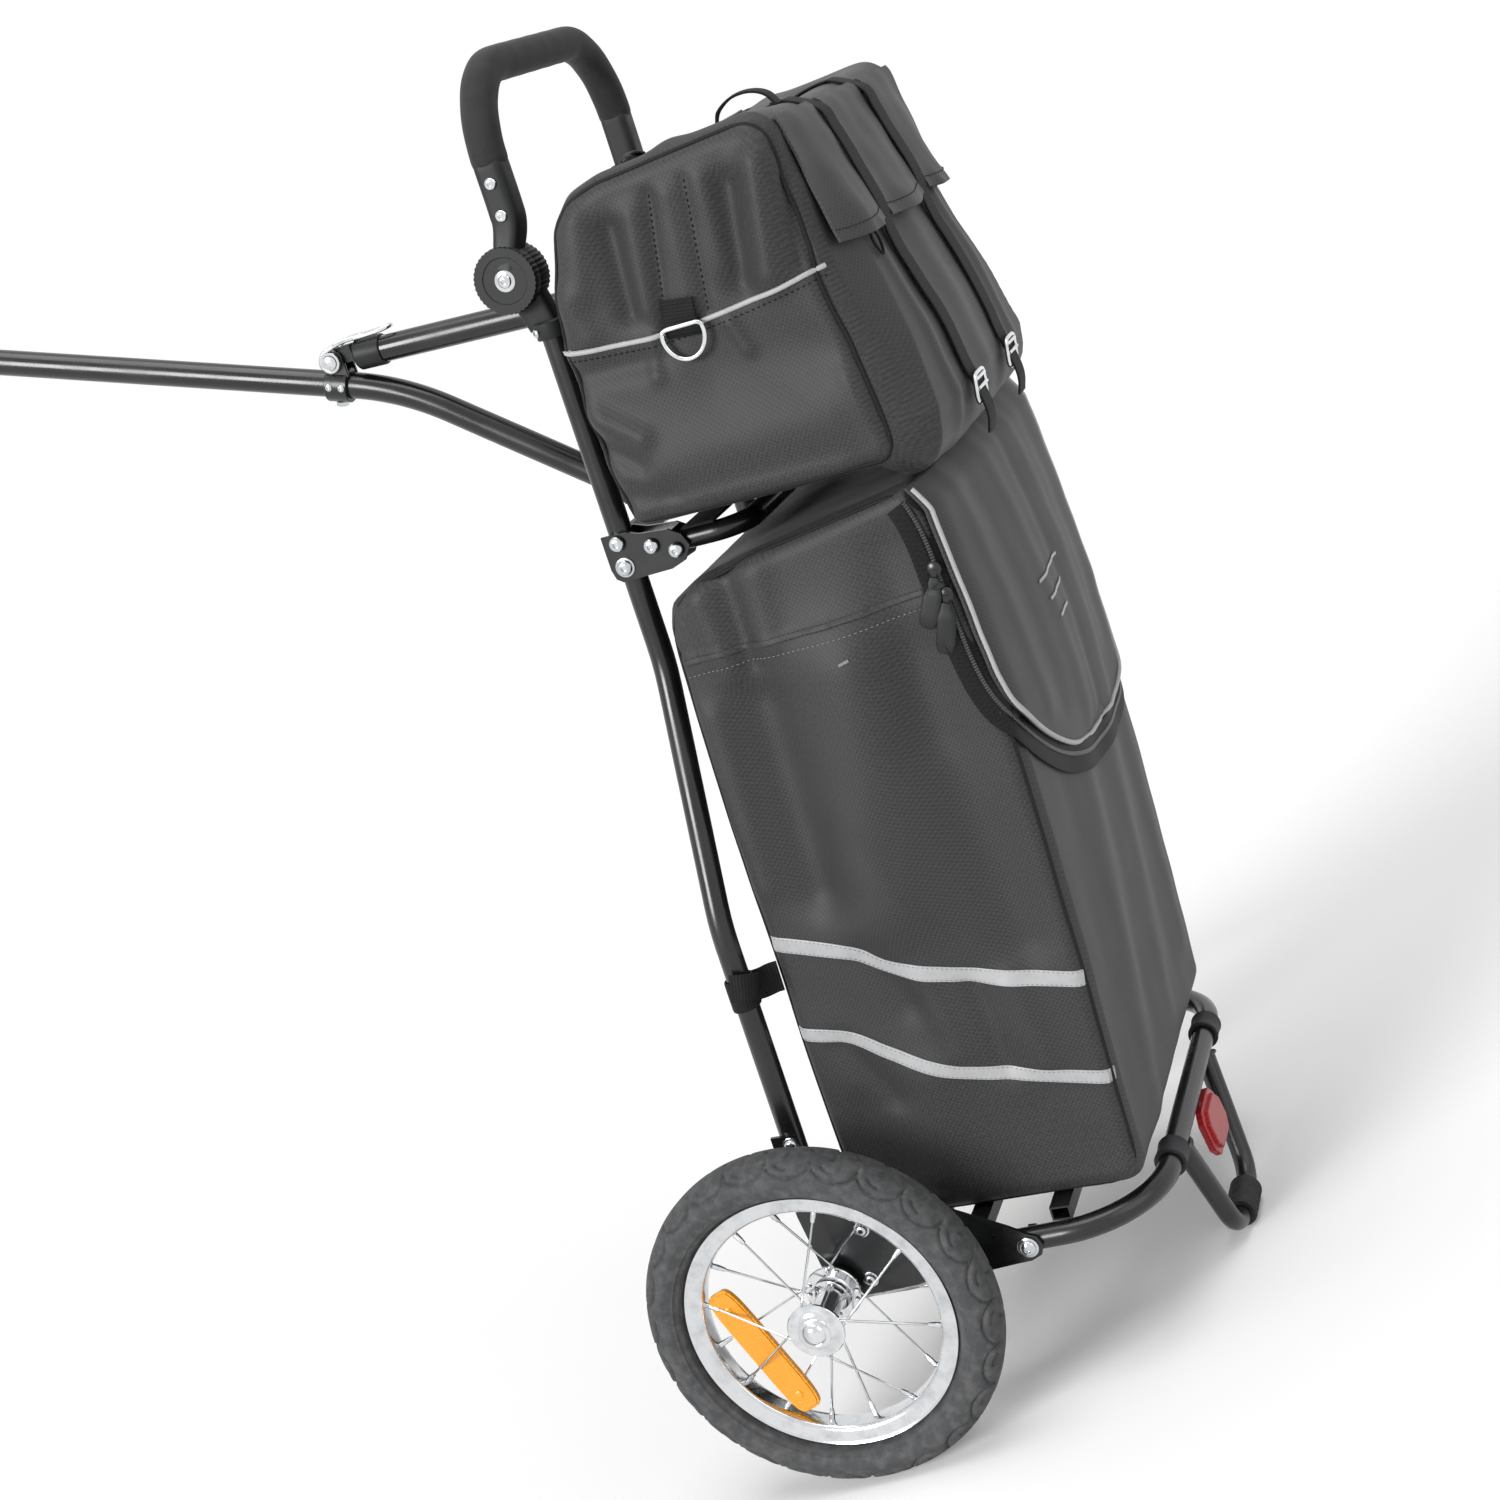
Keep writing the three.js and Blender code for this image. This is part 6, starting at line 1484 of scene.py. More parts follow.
def ribbon(path: Array, normals: Array, width: float, thick: float, lift: float = 0.4,
           size: Array | float = 1.0) -> Array:
    """Flat tape laid along a path, its back just under the cloth: a slab swept with the cloth's normals."""
    kernel = np.hanning(7) / np.hanning(7).sum()
    padded = np.vstack([normals[:1]] * 3 + [normals] + [normals[-1:]] * 3)
    smooth = unit(np.stack([np.convolve(padded[:, i], kernel, "valid") for i in range(3)], axis=-1))
    return sweep(path + smooth * lift, slab(width, thick, 4.0, 16), smooth, size)


def stitches(skin: Skin, path: Array, normals: Array, pitch: float = 4.0, thick: float = 0.55) -> None:
    """Adds a row of stitches: short capsules at an even pitch, each sunk at both ends."""
    length = np.linalg.norm(np.diff(path, axis=0), axis=1).sum()
    count = max(int(length / pitch), 2)
    ring, lean = evenly(path, count * 2), evenly(np.hstack([path, normals]), count * 2)[:, 3:]
    for k in range(0, count * 2 - 1, 2):
        ends = ring[k:k + 2]
        run = np.linspace(0, 1, 5)[:, None]
        line = ends[0] + (ends[1] - ends[0]) * run + lean[k] * (0.55 * np.sin(run * math.pi))
        skin.add(sweep(line, circle(thick, 6), lean[k], np.array([0.4, 0.9, 1.0, 0.9, 0.4])))


@dataclass
class TallBag:
    """Tall main bag: sagging shell, side pockets, reflective stripes, zipped rear flap and pulls."""

    half_width: float = 187.0
    front_y: float = 24.0
    depth: float = 251.0
    bottom_z: float = 35.0
    height: float = 571.0
    shares: tuple = ((0, 0.018), (0.03, 0), (0.9, 0), (0.936, 0.018), (0.948, 0.289), (0.952, 0.508),
                     (0.948, 0.674), (0.928, 0.814),
                     (0.896, 0.963), (0.845, 1), (0.343, 0.961), (0.143, 0.944), (0.04, 0.919),
                     (0.012, 0.884), (0, 0.464))
    stripe_high: tuple = ((27, 284), (58, 276), (92, 266), (117, 251), (160, 236), (210, 222), (258, 210))
    stripe_low: tuple = ((27, 206), (69, 196), (95, 180), (136, 158), (200, 141), (258, 127))
    crumpled_share: float = 0.5
    hem: tuple = ((34, 515), (60, 517), (95, 518), (154, 521), (200, 524), (236, 527))
    piping: tuple = ((187.5, 603), (188.5, 560), (189, 520), (189, 480), (187, 452), (173, 421), (128, 384),
                     (69, 354), (12, 338), (-50, 331),
                     (-110, 329), (-150, 332), (-176, 346), (-187, 376), (-189, 420), (-189, 480),
                     (-189, 550), (-187.5, 603))
    folds: tuple = (
        Fold(Face.SIDE, (158, 480), (128, 300), 44, 15.0), Fold(Face.SIDE, (84, 470), (84, 320), 24, -12.0),
        Fold(Face.SIDE, (210, 560), (196, 420), 20, -4.0),
        Fold(Face.SIDE, (58, 575), (66, 500), 11, 4.5), Fold(Face.SIDE, (84, 578), (86, 505), 9, -5.0),
        Fold(Face.SIDE, (110, 585), (104, 520), 13, 4.0),
        Fold(Face.SIDE, (44, 470), (40, 330), 11, 3.0), Fold(Face.SIDE, (205, 480), (222, 250), 24, -6.5),
        Fold(Face.SIDE, (100, 262), (120, 215), 14, -4.0), Fold(Face.SIDE, (140, 235), (150, 170), 13, 4.0),
        Fold(Face.SIDE, (176, 228), (182, 150), 10, -3.5),
        Fold(Face.SIDE, (205, 222), (212, 150), 12, 3.0), Fold(Face.SIDE, (60, 190), (88, 140), 12, -3.5),
        Fold(Face.SIDE, (120, 150), (112, 70), 26, 5.0),
        Fold(Face.SIDE, (60, 130), (58, 60), 16, -4.0), Fold(Face.SIDE, (200, 110), (210, 60), 22, -2.5),
        Fold(Face.REAR, (112, 330), (158, 90), 26, -1.4), Fold(Face.REAR, (40, 320), (100, 60), 26, 3.0),
        Fold(Face.REAR, (-6, 320), (44, 100), 22, -1.1),
        Fold(Face.REAR, (-66, 320), (-20, 80), 24, 2.0), Fold(Face.REAR, (-112, 320), (-84, 120), 26, -1.3),
        Fold(Face.REAR, (-150, 500), (-140, 100), 20, 2.2),
    )

    def outline(self) -> list:
        """Side outline as Y and Z."""
        return [(self.front_y + a * self.depth, self.bottom_z + b * self.height) for a, b in self.shares]

    def shell(self) -> SewnShell:
        """Builds the sagging shell; its sides belly out between the edges by a product of half cosines."""
        def crown(points: Array, normals: Array) -> Array:
            """Belly of the sides and of the rear, zero at the seams."""
            y = np.clip((points[..., 1] - 140) / 118, -1, 1)
            z = np.clip((points[..., 2] - 320) / 285, -1, 1)
            x = np.clip(points[..., 0] / self.half_width, -1, 1)
            side = np.cos(y * math.pi / 2) * np.cos(z * math.pi / 2) ** 0.6 * np.abs(normals[..., 0])
            rear = np.cos(x * math.pi / 2) ** 0.7 * np.cos(z * math.pi / 2) ** 0.7 * np.clip(normals[..., 1],
                0, 1)
            pocket = np.where((points[..., 2] < 518 + 0.03 * points[...,
                                                                    1]) & (np.abs(normals[..., 0]) > 0.6),
                                                                    1.4, 0.0)
            return 6.0 * side + 6.0 * rear + pocket

        shell = SewnShell(self.outline(), self.half_width - 1.5, 13.0, ((146, 318), (146, 322)), self.folds,
                          crown=crown, soften_mm=8.0)
        shell.make().build("tall_bag", CLOTH, "chassis", "fabric", ("main_bag",))
        return shell

    def side_trim(self, shell: SewnShell, side: Side) -> None:
        """Lays the stripes, the pocket's hem with its stitching, and the corner seam on one side, drawn near-black as
        painted shade of its crease.
        """
        word, sign = side.name.lower(), side.value
        tape, hem, thread = Skin(), Skin(), Skin()
        for knots, width in ((self.stripe_high, 12.5), (self.stripe_low, 11.0)):
            flat = spline(list(knots), 70)
            path, out = shell.land(np.column_stack([np.full(70, 200.0 * sign), flat]), (-sign, 0, 0))
            tape.add(ribbon(path, out, width, 1.4, 0.5))
            for offset in (width / 2 - 1.2, 1.2 - width / 2):
                rail, lean = shell.land(np.column_stack([np.full(70, 200.0 * sign), flat + [0, offset]]),
                                        (-sign, 0, 0))
                stitches(thread, rail + lean * 0.9, lean, 3.6, 0.28)
        flat = spline(list(self.hem), 70)
        path, out = shell.land(np.column_stack([np.full(70, 200.0 * sign), flat]), (-sign, 0, 0))
        hem.add(ribbon(path, out, 5.0, 3.0, 0.6))
        low, lean = shell.land(np.column_stack([np.full(70, 200.0 * sign), flat - [0, 11.0]]), (-sign, 0, 0))
        pale = Skin()
        stitches(pale, low + lean * 0.3, lean, 4.2, 0.42)
        tack = np.array([(156, 492), (164, 494)])
        path, out = shell.land(np.column_stack([np.full(2, 200.0 * sign), tack]), (-sign, 0, 0))
        pale.add(ribbon(evenly(path, 8), np.repeat(out[:1], 8, axis=0), 2.2, 1.2, 0.4))
        tape.build(f"side_stripes_{word}", TAPE, "chassis", "fabric")
        hem.build(f"pocket_hem_{word}", CLOTH, "chassis", "fabric")
        thread.build(f"stripe_stitching_{word}", PALE_THREAD, "chassis", "fabric")
        pale.build(f"hem_stitching_{word}", PALE_THREAD, "chassis", "fabric")
        # near-black seam tube: painted shade of the crease along the side panel's edge
        Skin().add(shell.seam(sign, 1.5), Ends.JOINED).build(f"panel_seam_{word}", DARK_TAPE_AND_CREASE_SHADE, "chassis",
                                                             "fabric")

    def rear_y(self, z: float) -> float:
        """Y of the outline's rear at a height, between its listed points."""
        rear = [(b, a) for a, b in self.outline()[2:10]]
        return float(np.interp(z, [p[0] for p in rear], [p[1] for p in rear]))

    def boundary(self, inset: float, count: int = 200) -> Array:
        """Flap's edge as X and Z, drawn in by an inset: a spline of its knots, moved along its own normal."""
        path = spline(list(self.piping), count)
        tangent = unit(np.gradient(path, axis=0))
        return path + np.stack([tangent[:, 1], -tangent[:, 0]], axis=-1) * inset

    def flap(self, shell: SewnShell) -> None:
        """Rear flap: a thin sheet that follows the bag's rear, with piping at its edge and three plain bars on it.

        The sheet's rows go down the rear and its columns out across the face and back underneath. Y is the
        rear outline plus a swell of half cosines, less a square fall-off at the sides.
        """
        rows, cols, thick = 90, 70, 2.0
        edge = self.boundary(0.0, 400)
        lowest = int(np.argmin(edge[:, 1]))
        z = 603 - (602 - edge[lowest, 1]) * np.sin(np.linspace(0, math.pi / 2, rows))
        left = np.interp(z, edge[lowest::-1, 1], edge[lowest::-1, 0])[:, None]
        right = np.interp(z, edge[lowest:, 1], edge[lowest:, 0])[:, None]
        share = (1 + np.sin(np.linspace(-1, 1, cols) * math.pi / 2)[None]) / 2
        x = right + (left - right) * share
        base = np.array([self.rear_y(v) for v in z])[:, None]
        swell = 7.0 * np.cos(np.clip(x / 190, -1, 1) * math.pi / 2) * np.cos(np.clip((z[:, None] - 470) / 130,
            -1, 1) * math.pi / 2) ** 0.6
        fall = 6.5 * np.clip((np.abs(x) - 160) / 28, 0, 1) ** 2
        flat = np.stack([x, np.broadcast_to(base, x.shape), np.broadcast_to(z[:, None], x.shape)], axis=-1)
        lift = fold_lift(flat, np.broadcast_to([0.0, 1.0, 0.0], flat.shape), (
            Fold(Face.REAR, (128, 600), (104, 400), 13, 1.6), Fold(Face.REAR, (88, 600), (64, 390), 16, -1.4),
            Fold(Face.REAR, (30, 600), (-8, 350), 15, 1.8),
            Fold(Face.REAR, (-30, 600), (-58, 330), 9, -1.8),
            Fold(Face.REAR, (-70, 600), (-92, 340), 14, 1.6),
            Fold(Face.REAR, (-130, 600), (-140, 380), 16, -1.2)))
        y = base + 6.0 + swell - fall + lift + 1.2 * wander(flat, 60, 2.0)
        face = np.stack([x, y, flat[..., 2]], axis=-1)
        back = face - np.array([0, thick, 0])
        sheet = Skin().add(np.concatenate([face, back[:, ::-1]], axis=1)).build("rear_flap", CLOTH, "flap",
            "fabric", ("bag_flap",))
        tree = BVHTree.FromPolygons(face.reshape(-1, 3).tolist(),
                                    [(i * cols + j, i * cols + j + 1, (i + 1) * cols + j + 1,
                                      (i + 1) * cols + j)
                                                                  for i in range(rows - 1) for j in range(cols - 1)])
        line = self.boundary(1.5)
        nearest = np.array([tree.find_nearest(Vector((px, self.rear_y(pz) + 6, pz)))[0][:] for px,
                            pz in line])
        piping = Skin().add(sweep(nearest + np.array([0, 0.4, 0]), circle(2.0, 14),
                                  (0, 1, 0))).build("flap_piping", PIPING, "flap", "fabric")
        bars = Skin()
        for span, height in ((84.0, 476.0), (60.0, 458.0), (36.0, 440.0)):
            down = [tree.ray_cast(Vector((x, 400, height)), Vector((0, -1, 0)))[0][:]
                    for x in np.linspace(-span / 2, span / 2, 24) - 10]
            bars.add(sweep(np.array(down) + [0, 0.7, 0], slab(2.6, 1.0, 4.0, 10), (0, 1, 0)))
        marks = bars.build("flap_bars", TAPE, "flap", "fabric")

    def zip(self, shell: SewnShell) -> None:
        """Black zip round the flap: wide tape with the coil on it; it runs on the sides above the corners."""
        tape, coil = Skin(), Skin()
        for skin, offset, width, thick, lift in ((tape, -11.0, 24.0, 1.8, 0.6), (coil, -8.0, 3.6, 2.4, 1.2)):
            line = self.boundary(offset, 220)
            over = np.abs(line[:, 0]) - (self.half_width - 2)
            x = np.clip(line[:, 0], -self.half_width - 6, self.half_width + 6)
            y = np.array([self.rear_y(z) for z in line[:, 1]]) + 4 - np.clip(over + 2, 0, 30) * 1.1
            out = unit(np.stack([np.sign(x) * np.clip(over + 4, 0, 12) / 7, np.ones(len(x)),
                                 np.zeros(len(x))], axis=-1))
            points = np.stack([x, y, line[:, 1]], axis=-1)
            hits = [shell.tree.find_nearest(Vector(p)) for p in points]
            place = np.array([h[0][:] for h in hits])
            kernel = np.hanning(25) / np.hanning(25).sum()
            padded = np.vstack([place[:1]] * 12 + [place] + [place[-1:]] * 12)
            place = np.stack([np.convolve(padded[:, i], kernel, "valid") for i in range(3)], axis=-1)
            skin.add(ribbon(place + out * 1.2, out, width, thick, lift))
        tape.build("zip_tape", DARK_TAPE_AND_CREASE_SHADE, "chassis", "fabric")
        coil.build("zip_coil", ZIP_TEETH, "chassis", "plastic")

    def pulls(self, shell: SewnShell) -> None:
        """Two black moulded pulls with their sliders, hanging on the left side from the zip."""
        skin, sliders = Skin(), Skin()
        for top, low in (((240, 536), (225, 502)), ((243, 516), (232, 480))):
            knots = np.array([top, ((top[0] + low[0]) / 2 + 1, (top[1] + low[1]) / 2), low], dtype=float)
            path, out = shell.land(np.column_stack([np.full(20, 200.0), spline(knots.tolist(), 20)]),
                                   (-1, 0, 0))
            size = np.interp(np.arange(20), [0, 2, 5, 15, 18, 19], [0.45, 0.6, 0.95, 1.0, 0.8, 0.5])
            skin.add(ribbon(path + out * 5.4, out, 14.5, 4.6, 0.5, size))
            end = path[0] + out[0] * 3.0 + [0, 1, 6]
            sliders.add(turned([(4.6, -1.6), (5.6, -1.0), (5.6, 1.0), (4.0, 2.2)], tuple(end), tuple(out[0]),
                               16))
            sliders.add(sweep(evenly(np.array([end + out[0] * 2.0, path[2] + out[2] * 4.0]), 6),
                              slab(4.5, 2.2), out[0]))
        skin.build("flap_zip_pulls", NYLON, "chassis", "plastic")
        sliders.build("flap_zip_sliders", ENAMEL, "chassis", "steel")

    def build(self) -> None:
        """Builds the bag and all its trim."""
        shell = self.shell()
        for side in Side:
            self.side_trim(shell, side)
        self.zip(shell)
        self.flap(shell)
        self.pulls(shell)
        self.crumple()

    def crumple(self) -> None:
        """Gives the bag and the trim sewn on it meshes of their own."""
        sewn = ["tall_bag", "zip_tape", "zip_coil", "flap_zip_pulls", "flap_zip_sliders"]
        for side in Side:
            word = side.name.lower()
            sewn += [f"{trim}_{word}" for trim in ("side_stripes", "pocket_hem", "stripe_stitching",
                                                   "hem_stitching", "panel_seam")]
        for name in sewn:
            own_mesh(bpy.data.objects[name])


@dataclass
class TopBag:
    """Upper bag: slack shell with a bulging rear pocket, three lid panels, two buckled straps, zip and D-rings."""

    half_width: float = 189.0
    front_y: float = 17.0
    depth: float = 224.0
    bottom_z: float = 620.0
    height: float = 263.0
    strap_x: float = 65.0
    shares: tuple = ((0.05, 0.01), (0.08, 0), (0.96, 0), (1, 0.03), (0.978, 0.266), (0.933, 0.563),
                     (0.922, 0.741), (0.905, 0.95),
                     (0.86, 0.99), (0.82, 1), (0.3, 0.966), (0.18, 0.935), (0.103, 0.867), (0.04, 0.684),
                     (0, 0.532), (0.02, 0.2))
    pocket_swell: tuple = ((628, 30), (645, 35), (700, 29), (775, 18), (830, 8), (878, 0))
    piping: tuple = ((17, 760), (60, 756), (103, 754), (164, 759), (226, 768))
    side_seams: tuple = (((150, 853), (144, 812), (137, 762)), ((121, 850), (112, 806), (103, 758)))
    panels: tuple = ((76.0, 168.0, 777.0), (-52.0, 52.0, 776.0), (-168.0, -76.0, 777.0))
    folds: tuple = (
        Fold(Face.SIDE, (203, 850), (190, 775), 13, 9.5), Fold(Face.SIDE, (178, 840), (166, 775), 11, -7.0),
        Fold(Face.SIDE, (220, 830), (214, 775), 8, -6.0),
        Fold(Face.SIDE, (162, 850), (160, 790), 8, 2.5), Fold(Face.SIDE, (150, 853), (137, 762), 4, -1.8),
        Fold(Face.SIDE, (121, 850), (103, 758), 5, -3.0),
        Fold(Face.SIDE, (134, 846), (124, 765), 8, 2.2), Fold(Face.SIDE, (104, 840), (94, 775), 9, 3.5),
        Fold(Face.SIDE, (84, 835), (80, 775), 9, -6.5),
        Fold(Face.SIDE, (62, 845), (50, 800), 12, 4.5), Fold(Face.SIDE, (30, 800), (44, 768), 12, 4.0),
        Fold(Face.SIDE, (90, 752), (86, 728), 7, 3.0),
        Fold(Face.SIDE, (22, 742), (90, 738), 10, -4.0), Fold(Face.SIDE, (26, 712), (60, 688), 10, 5.0),
        Fold(Face.SIDE, (24, 690), (52, 668), 9, -4.5),
        Fold(Face.SIDE, (130, 720), (200, 715), 26, -4.0), Fold(Face.SIDE, (60, 662), (200, 668), 24, 4.5),
        Fold(Face.SIDE, (40, 648), (70, 640), 10, -3.5),
        Fold(Face.SIDE, (70, 632), (200, 628), 8, 2.5), Fold(Face.SIDE, (222, 690), (234, 640), 10, 3.0),
        Fold(Face.SIDE, (150, 748), (156, 728), 6, 3.0),
        Fold(Face.TOP, (-120, 160), (120, 165), 20, -4.0), Fold(Face.TOP, (-160, 120), (-60, 150), 14, 3.5),
        Fold(Face.TOP, (60, 125), (165, 140), 14, 3.5),
        Fold(Face.REAR, (100, 770), (112, 640), 10, 3.0), Fold(Face.REAR, (0, 760), (6, 650), 24, 3.0),
        Fold(Face.REAR, (-100, 770), (-112, 640), 10, 3.0),
    )

    def shell(self) -> SewnShell:
        """Builds the shell; the pocket's swell is a smooth step at its sides, with a groove beside it."""
        heights, swell = zip(*self.pocket_swell)

        def crown(points: Array, normals: Array) -> Array:
            """Pocket swell on the rear, slack belly on the sides, and a dip along the top."""
            x, z = np.abs(points[..., 0]), points[..., 2]
            half = np.interp(z, (645, 680, 740, 800), (160, 148, 129, 118))
            step = np.clip((185 - x) / (185 - half), 0, 1)
            step = step * (1.3 - 0.3 * step)
            broad = np.cos(np.clip(x / self.half_width, 0, 1) * math.pi / 2) ** 0.6
            groove = np.exp(-((x - 182) / 4) ** 2) * np.clip((840 - z) / 60, 0, 1)
            rear = np.clip(normals[..., 1], 0,
                           1) ** 0.5 * (np.interp(z, heights,
                                                  swell) * (0.8 * step + 0.2 * broad) - 3.0 * groove)
            y = np.clip((points[..., 1] - 125) / 105, -1, 1)
            side = 1.2 * np.abs(normals[..., 0]) * np.cos(y * math.pi / 2) * np.cos(np.clip((z - 690) / 70,
                -1, 1) * math.pi / 2)
            top = -5.0 * np.clip(normals[..., 2], 0,
                                 1) * np.cos(np.clip(points[..., 0] / 170, -1,
                                                     1) * math.pi / 2) * np.clip((z - 860) / 10, 0, 1)
            return rear + side + top

        outline = [(self.front_y + a * self.depth, self.bottom_z + b * self.height) for a, b in self.shares]
        shell = SewnShell(outline, self.half_width - 1.0, 17.0, ((118, 750), (119, 754)), self.folds, 11.0,
                          1.6, 300, 50, 130, 3.1, crown)
        shell.make().build("top_bag", CLOTH, "upper_frame", "fabric", ("upper_bag",))
        return shell

    def side_trim(self, shell: SewnShell, side: Side) -> None:
        """Piping with its stitch line, two sewn seams, the D-ring's tab and the edge seam of one side, drawn
        near-black as painted shade of its crease.
        """
        word, sign = side.name.lower(), side.value
        ring = "ring_" + word

        def lay(knots: tuple, count: int) -> tuple[Array, Array]:
            """Spline of Y-Z knots dropped onto this side."""
            return shell.land(np.column_stack([np.full(count, 205.0 * sign), spline(list(knots), count)]),
                              (-sign, 0, 0))

        path, out = lay(self.piping, 90)
        Skin().add(sweep(path + out * 0.7, circle(1.9, 12), out)).build(f"side_piping_{word}", PIPING,
            "upper_frame", "fabric")
        thread = Skin()
        low, lean = lay(tuple((y, z - 6.5) for y, z in self.piping), 90)
        stitches(thread, low + lean * 0.2, lean, 4.6, 0.5)
        for knots in self.side_seams:
            path, out = lay(knots, 40)
            stitches(thread, path + out * 0.2, out, 4.2, 0.45)
        thread.build(f"seam_stitching_{word}", THREAD, "upper_frame", "fabric")
        tab, sewn = Skin(), Skin()
        path, out = lay(((118, 776), (117, 766), (116, 757), (115, 749)), 16)
        tab.add(ribbon(path + out * np.array([0.5, *np.linspace(0.8, 2.2, 10), 2.4, 2.4, 2.2, 1.4, 0.4])[:,
            None], out, 27.0, 2.2, 0.6))
        for z in (772.5, 762.5):
            path, out = lay(((105.5, z), (129, z)), 12)
            stitches(sewn, path + out * 2.8, out, 3.2, 0.4)
        tab.build(f"ring_tab_{word}", WEB, "upper_frame", "webbing")
        sewn.build(f"ring_tab_stitching_{word}", THREAD, "upper_frame", "webbing")
        turn = np.linspace(0, math.pi, 28)
        x = 192.5 * sign
        bow = np.column_stack([np.full(28, x), 116 + 16 * np.cos(turn), 751 - 18 * np.sin(turn)])
        loop = np.vstack([[[x, 116.0, 757.0]], [[x, 128.0, 757.0]], [[x, 131.3, 755.6]], bow,
                          [[x, 100.7, 755.6]], [[x, 104.0, 757.0]]])
        Skin().add(sweep(evenly(np.vstack([loop, loop[:1]]), 80, True), circle(1.8, 14), (1, 0, 0),
                         closed=True), Ends.JOINED).build(
            f"side_d_ring_{word}", CHROME, ring, "chrome", ("side_ring_" + word,))
        # near-black seam tube: painted shade of the crease along the side panel's edge
        Skin().add(shell.seam(sign, 1.7), Ends.JOINED).build(f"edge_seam_{word}", DARK_TAPE_AND_CREASE_SHADE, "upper_frame",
                                                             "fabric")

    def lid(self, shell: SewnShell) -> None:
        """Three lid panels: sheets that start on the top edge and hang over the pocket, lifting towards their hems."""
        rows, cols = 34, 30
        for word, (x0, x1, hem) in zip(("left", "middle", "right"), self.panels):
            run = np.linspace(0, 1, rows)[:, None]
            x = np.broadcast_to(np.linspace(x0, x1, cols)[None], (rows, cols)) + 0 * run
            bow = 4.0 * np.sin(np.linspace(0, math.pi, cols))[None]
            z = 874 - (874 - hem + bow) * run
            hits, out = shell.land(np.stack([x, np.full_like(x, 330.0), z], axis=-1).reshape(-1, 3),
                                   (0, -1, -0.02))
            hits, out = hits.reshape(rows, cols, 3), np.array([0, 0.96, 0.28])
            y = hits[..., 1]
            y = np.maximum.accumulate(y, axis=0) if word == "middle" else y
            curl = 2.0 * np.cos(np.linspace(-1, 1, cols) * math.pi)[None] * run
            lift = 2.6 + 7.5 * run ** 1.6 + curl + 1.2 * wander(hits, 46, 4.0)
            face = np.stack([x, y, z], axis=-1) + lift[..., None] * out
            back = face - out * 2.0
            sheet = Skin().add(np.concatenate([face, back[:, ::-1]], axis=1)).build(f"lid_panel_{word}",
                CLOTH, "upper_frame", "fabric")
            edge, thread = face[-4], Skin()
            stitches(thread, edge + out * 0.2, np.broadcast_to(out, edge.shape), 4.0, 0.4)
            sewn = thread.build(f"lid_stitching_{word}", THREAD, "upper_frame", "fabric")

    def straps(self, shell: SewnShell) -> None:
        """Two webbing straps from the top over the lid and the pocket to their buckles, and a carry loop on top."""
        for side in Side:
            x, word = self.strap_x * side.value, side.name.lower()
            drop = np.linspace(866, 646, 56)
            hits, out = shell.land(np.column_stack([np.full(56, x), np.full(56, 330.0), drop]), (0, -1, 0))
            lift = np.interp(drop, [640, 760, 790, 866], [2.2, 3.0, 8.0, 4.0])
            down = hits + np.array([0, 0.95, 0.3]) * lift[:, None]
            top, rise = shell.land(np.column_stack([np.full(14, x), np.linspace(152, 204, 14),
                                                    np.full(14, 960.0)]), (0, 0, -1))
            end = down[-1]
            tail = np.array([[x, end[1] + 5, end[2] - 14], [x, end[1] + 6, end[2] - 28],
                             [x, end[1] + 3, end[2] - 40]])
            path = spline(np.vstack([top + rise * 1.2, down[::4], tail]).tolist(), 140)
            run = unit(np.gradient(path, axis=0))
            normal = unit(np.cross(np.broadcast_to([1.0, 0, 0], path.shape), run))
            normal *= np.sign(np.sum(normal * (path - [0, 110, 740]), axis=1, keepdims=True))
            Skin().add(sweep(path, slab(25.0, 2.0, 5.0, 20), normal)).build(f"lid_strap_{word}", WEB,
                "upper_frame", "webbing")
            metal = Skin()
            centre = end + [0, 4.0, -6]
            for half_w, half_h in ((16.5, 11.0),):
                turn = np.linspace(0, 2 * math.pi, 40, endpoint=False)
                wave = np.stack([np.cos(turn), np.sin(turn)], axis=-1)
                flat = np.sign(wave) * np.abs(wave) ** 0.45 * [half_w, half_h]
                ring = np.column_stack([centre[0] + flat[:, 0], np.full(40, centre[1]) + flat[:, 1] * 0.12,
                                        centre[2] + flat[:, 1]])
                metal.add(sweep(ring, circle(1.7, 10), (0, 1, 0), closed=True), Ends.JOINED)
            for drop_z in (0.0, 7.0):
                bar = np.column_stack([np.linspace(-15.5, 15.5, 8) + centre[0], np.full(8, centre[1] + 1.5),
                                       np.full(8, centre[2] + drop_z)])
                metal.add(sweep(bar, circle(1.5, 10), (0, 1, 0)))
            metal.build(f"strap_buckle_{word}", CHROME, "upper_frame", "chrome")
        knots = [(76, 148, 876), (74, 152, 886), (72, 164, 893), (70, 178, 893.5), (69, 190, 888),
                 (68, 197, 876)]
        loop = spline(knots, 40)
        Skin().add(sweep(loop, slab(21.0, 2.2, 5.0, 20), unit(loop - [70, 172, 868]))).build("carry_loop",
            WEB, "upper_frame", "webbing")
        cord = spline([(112, 262, 780), (116, 264, 768), (112, 263, 758), (106, 263, 768), (108, 261, 781)],
                      30)
        shifted = shell.land(cord, (0, -1, 0))[0] + [0, 3.0, 0]
        Skin().add(sweep(shifted, circle(1.1, 8), (0, 1, 0))).build("lid_cord", THREAD, "upper_frame",
                                                                    "fabric")

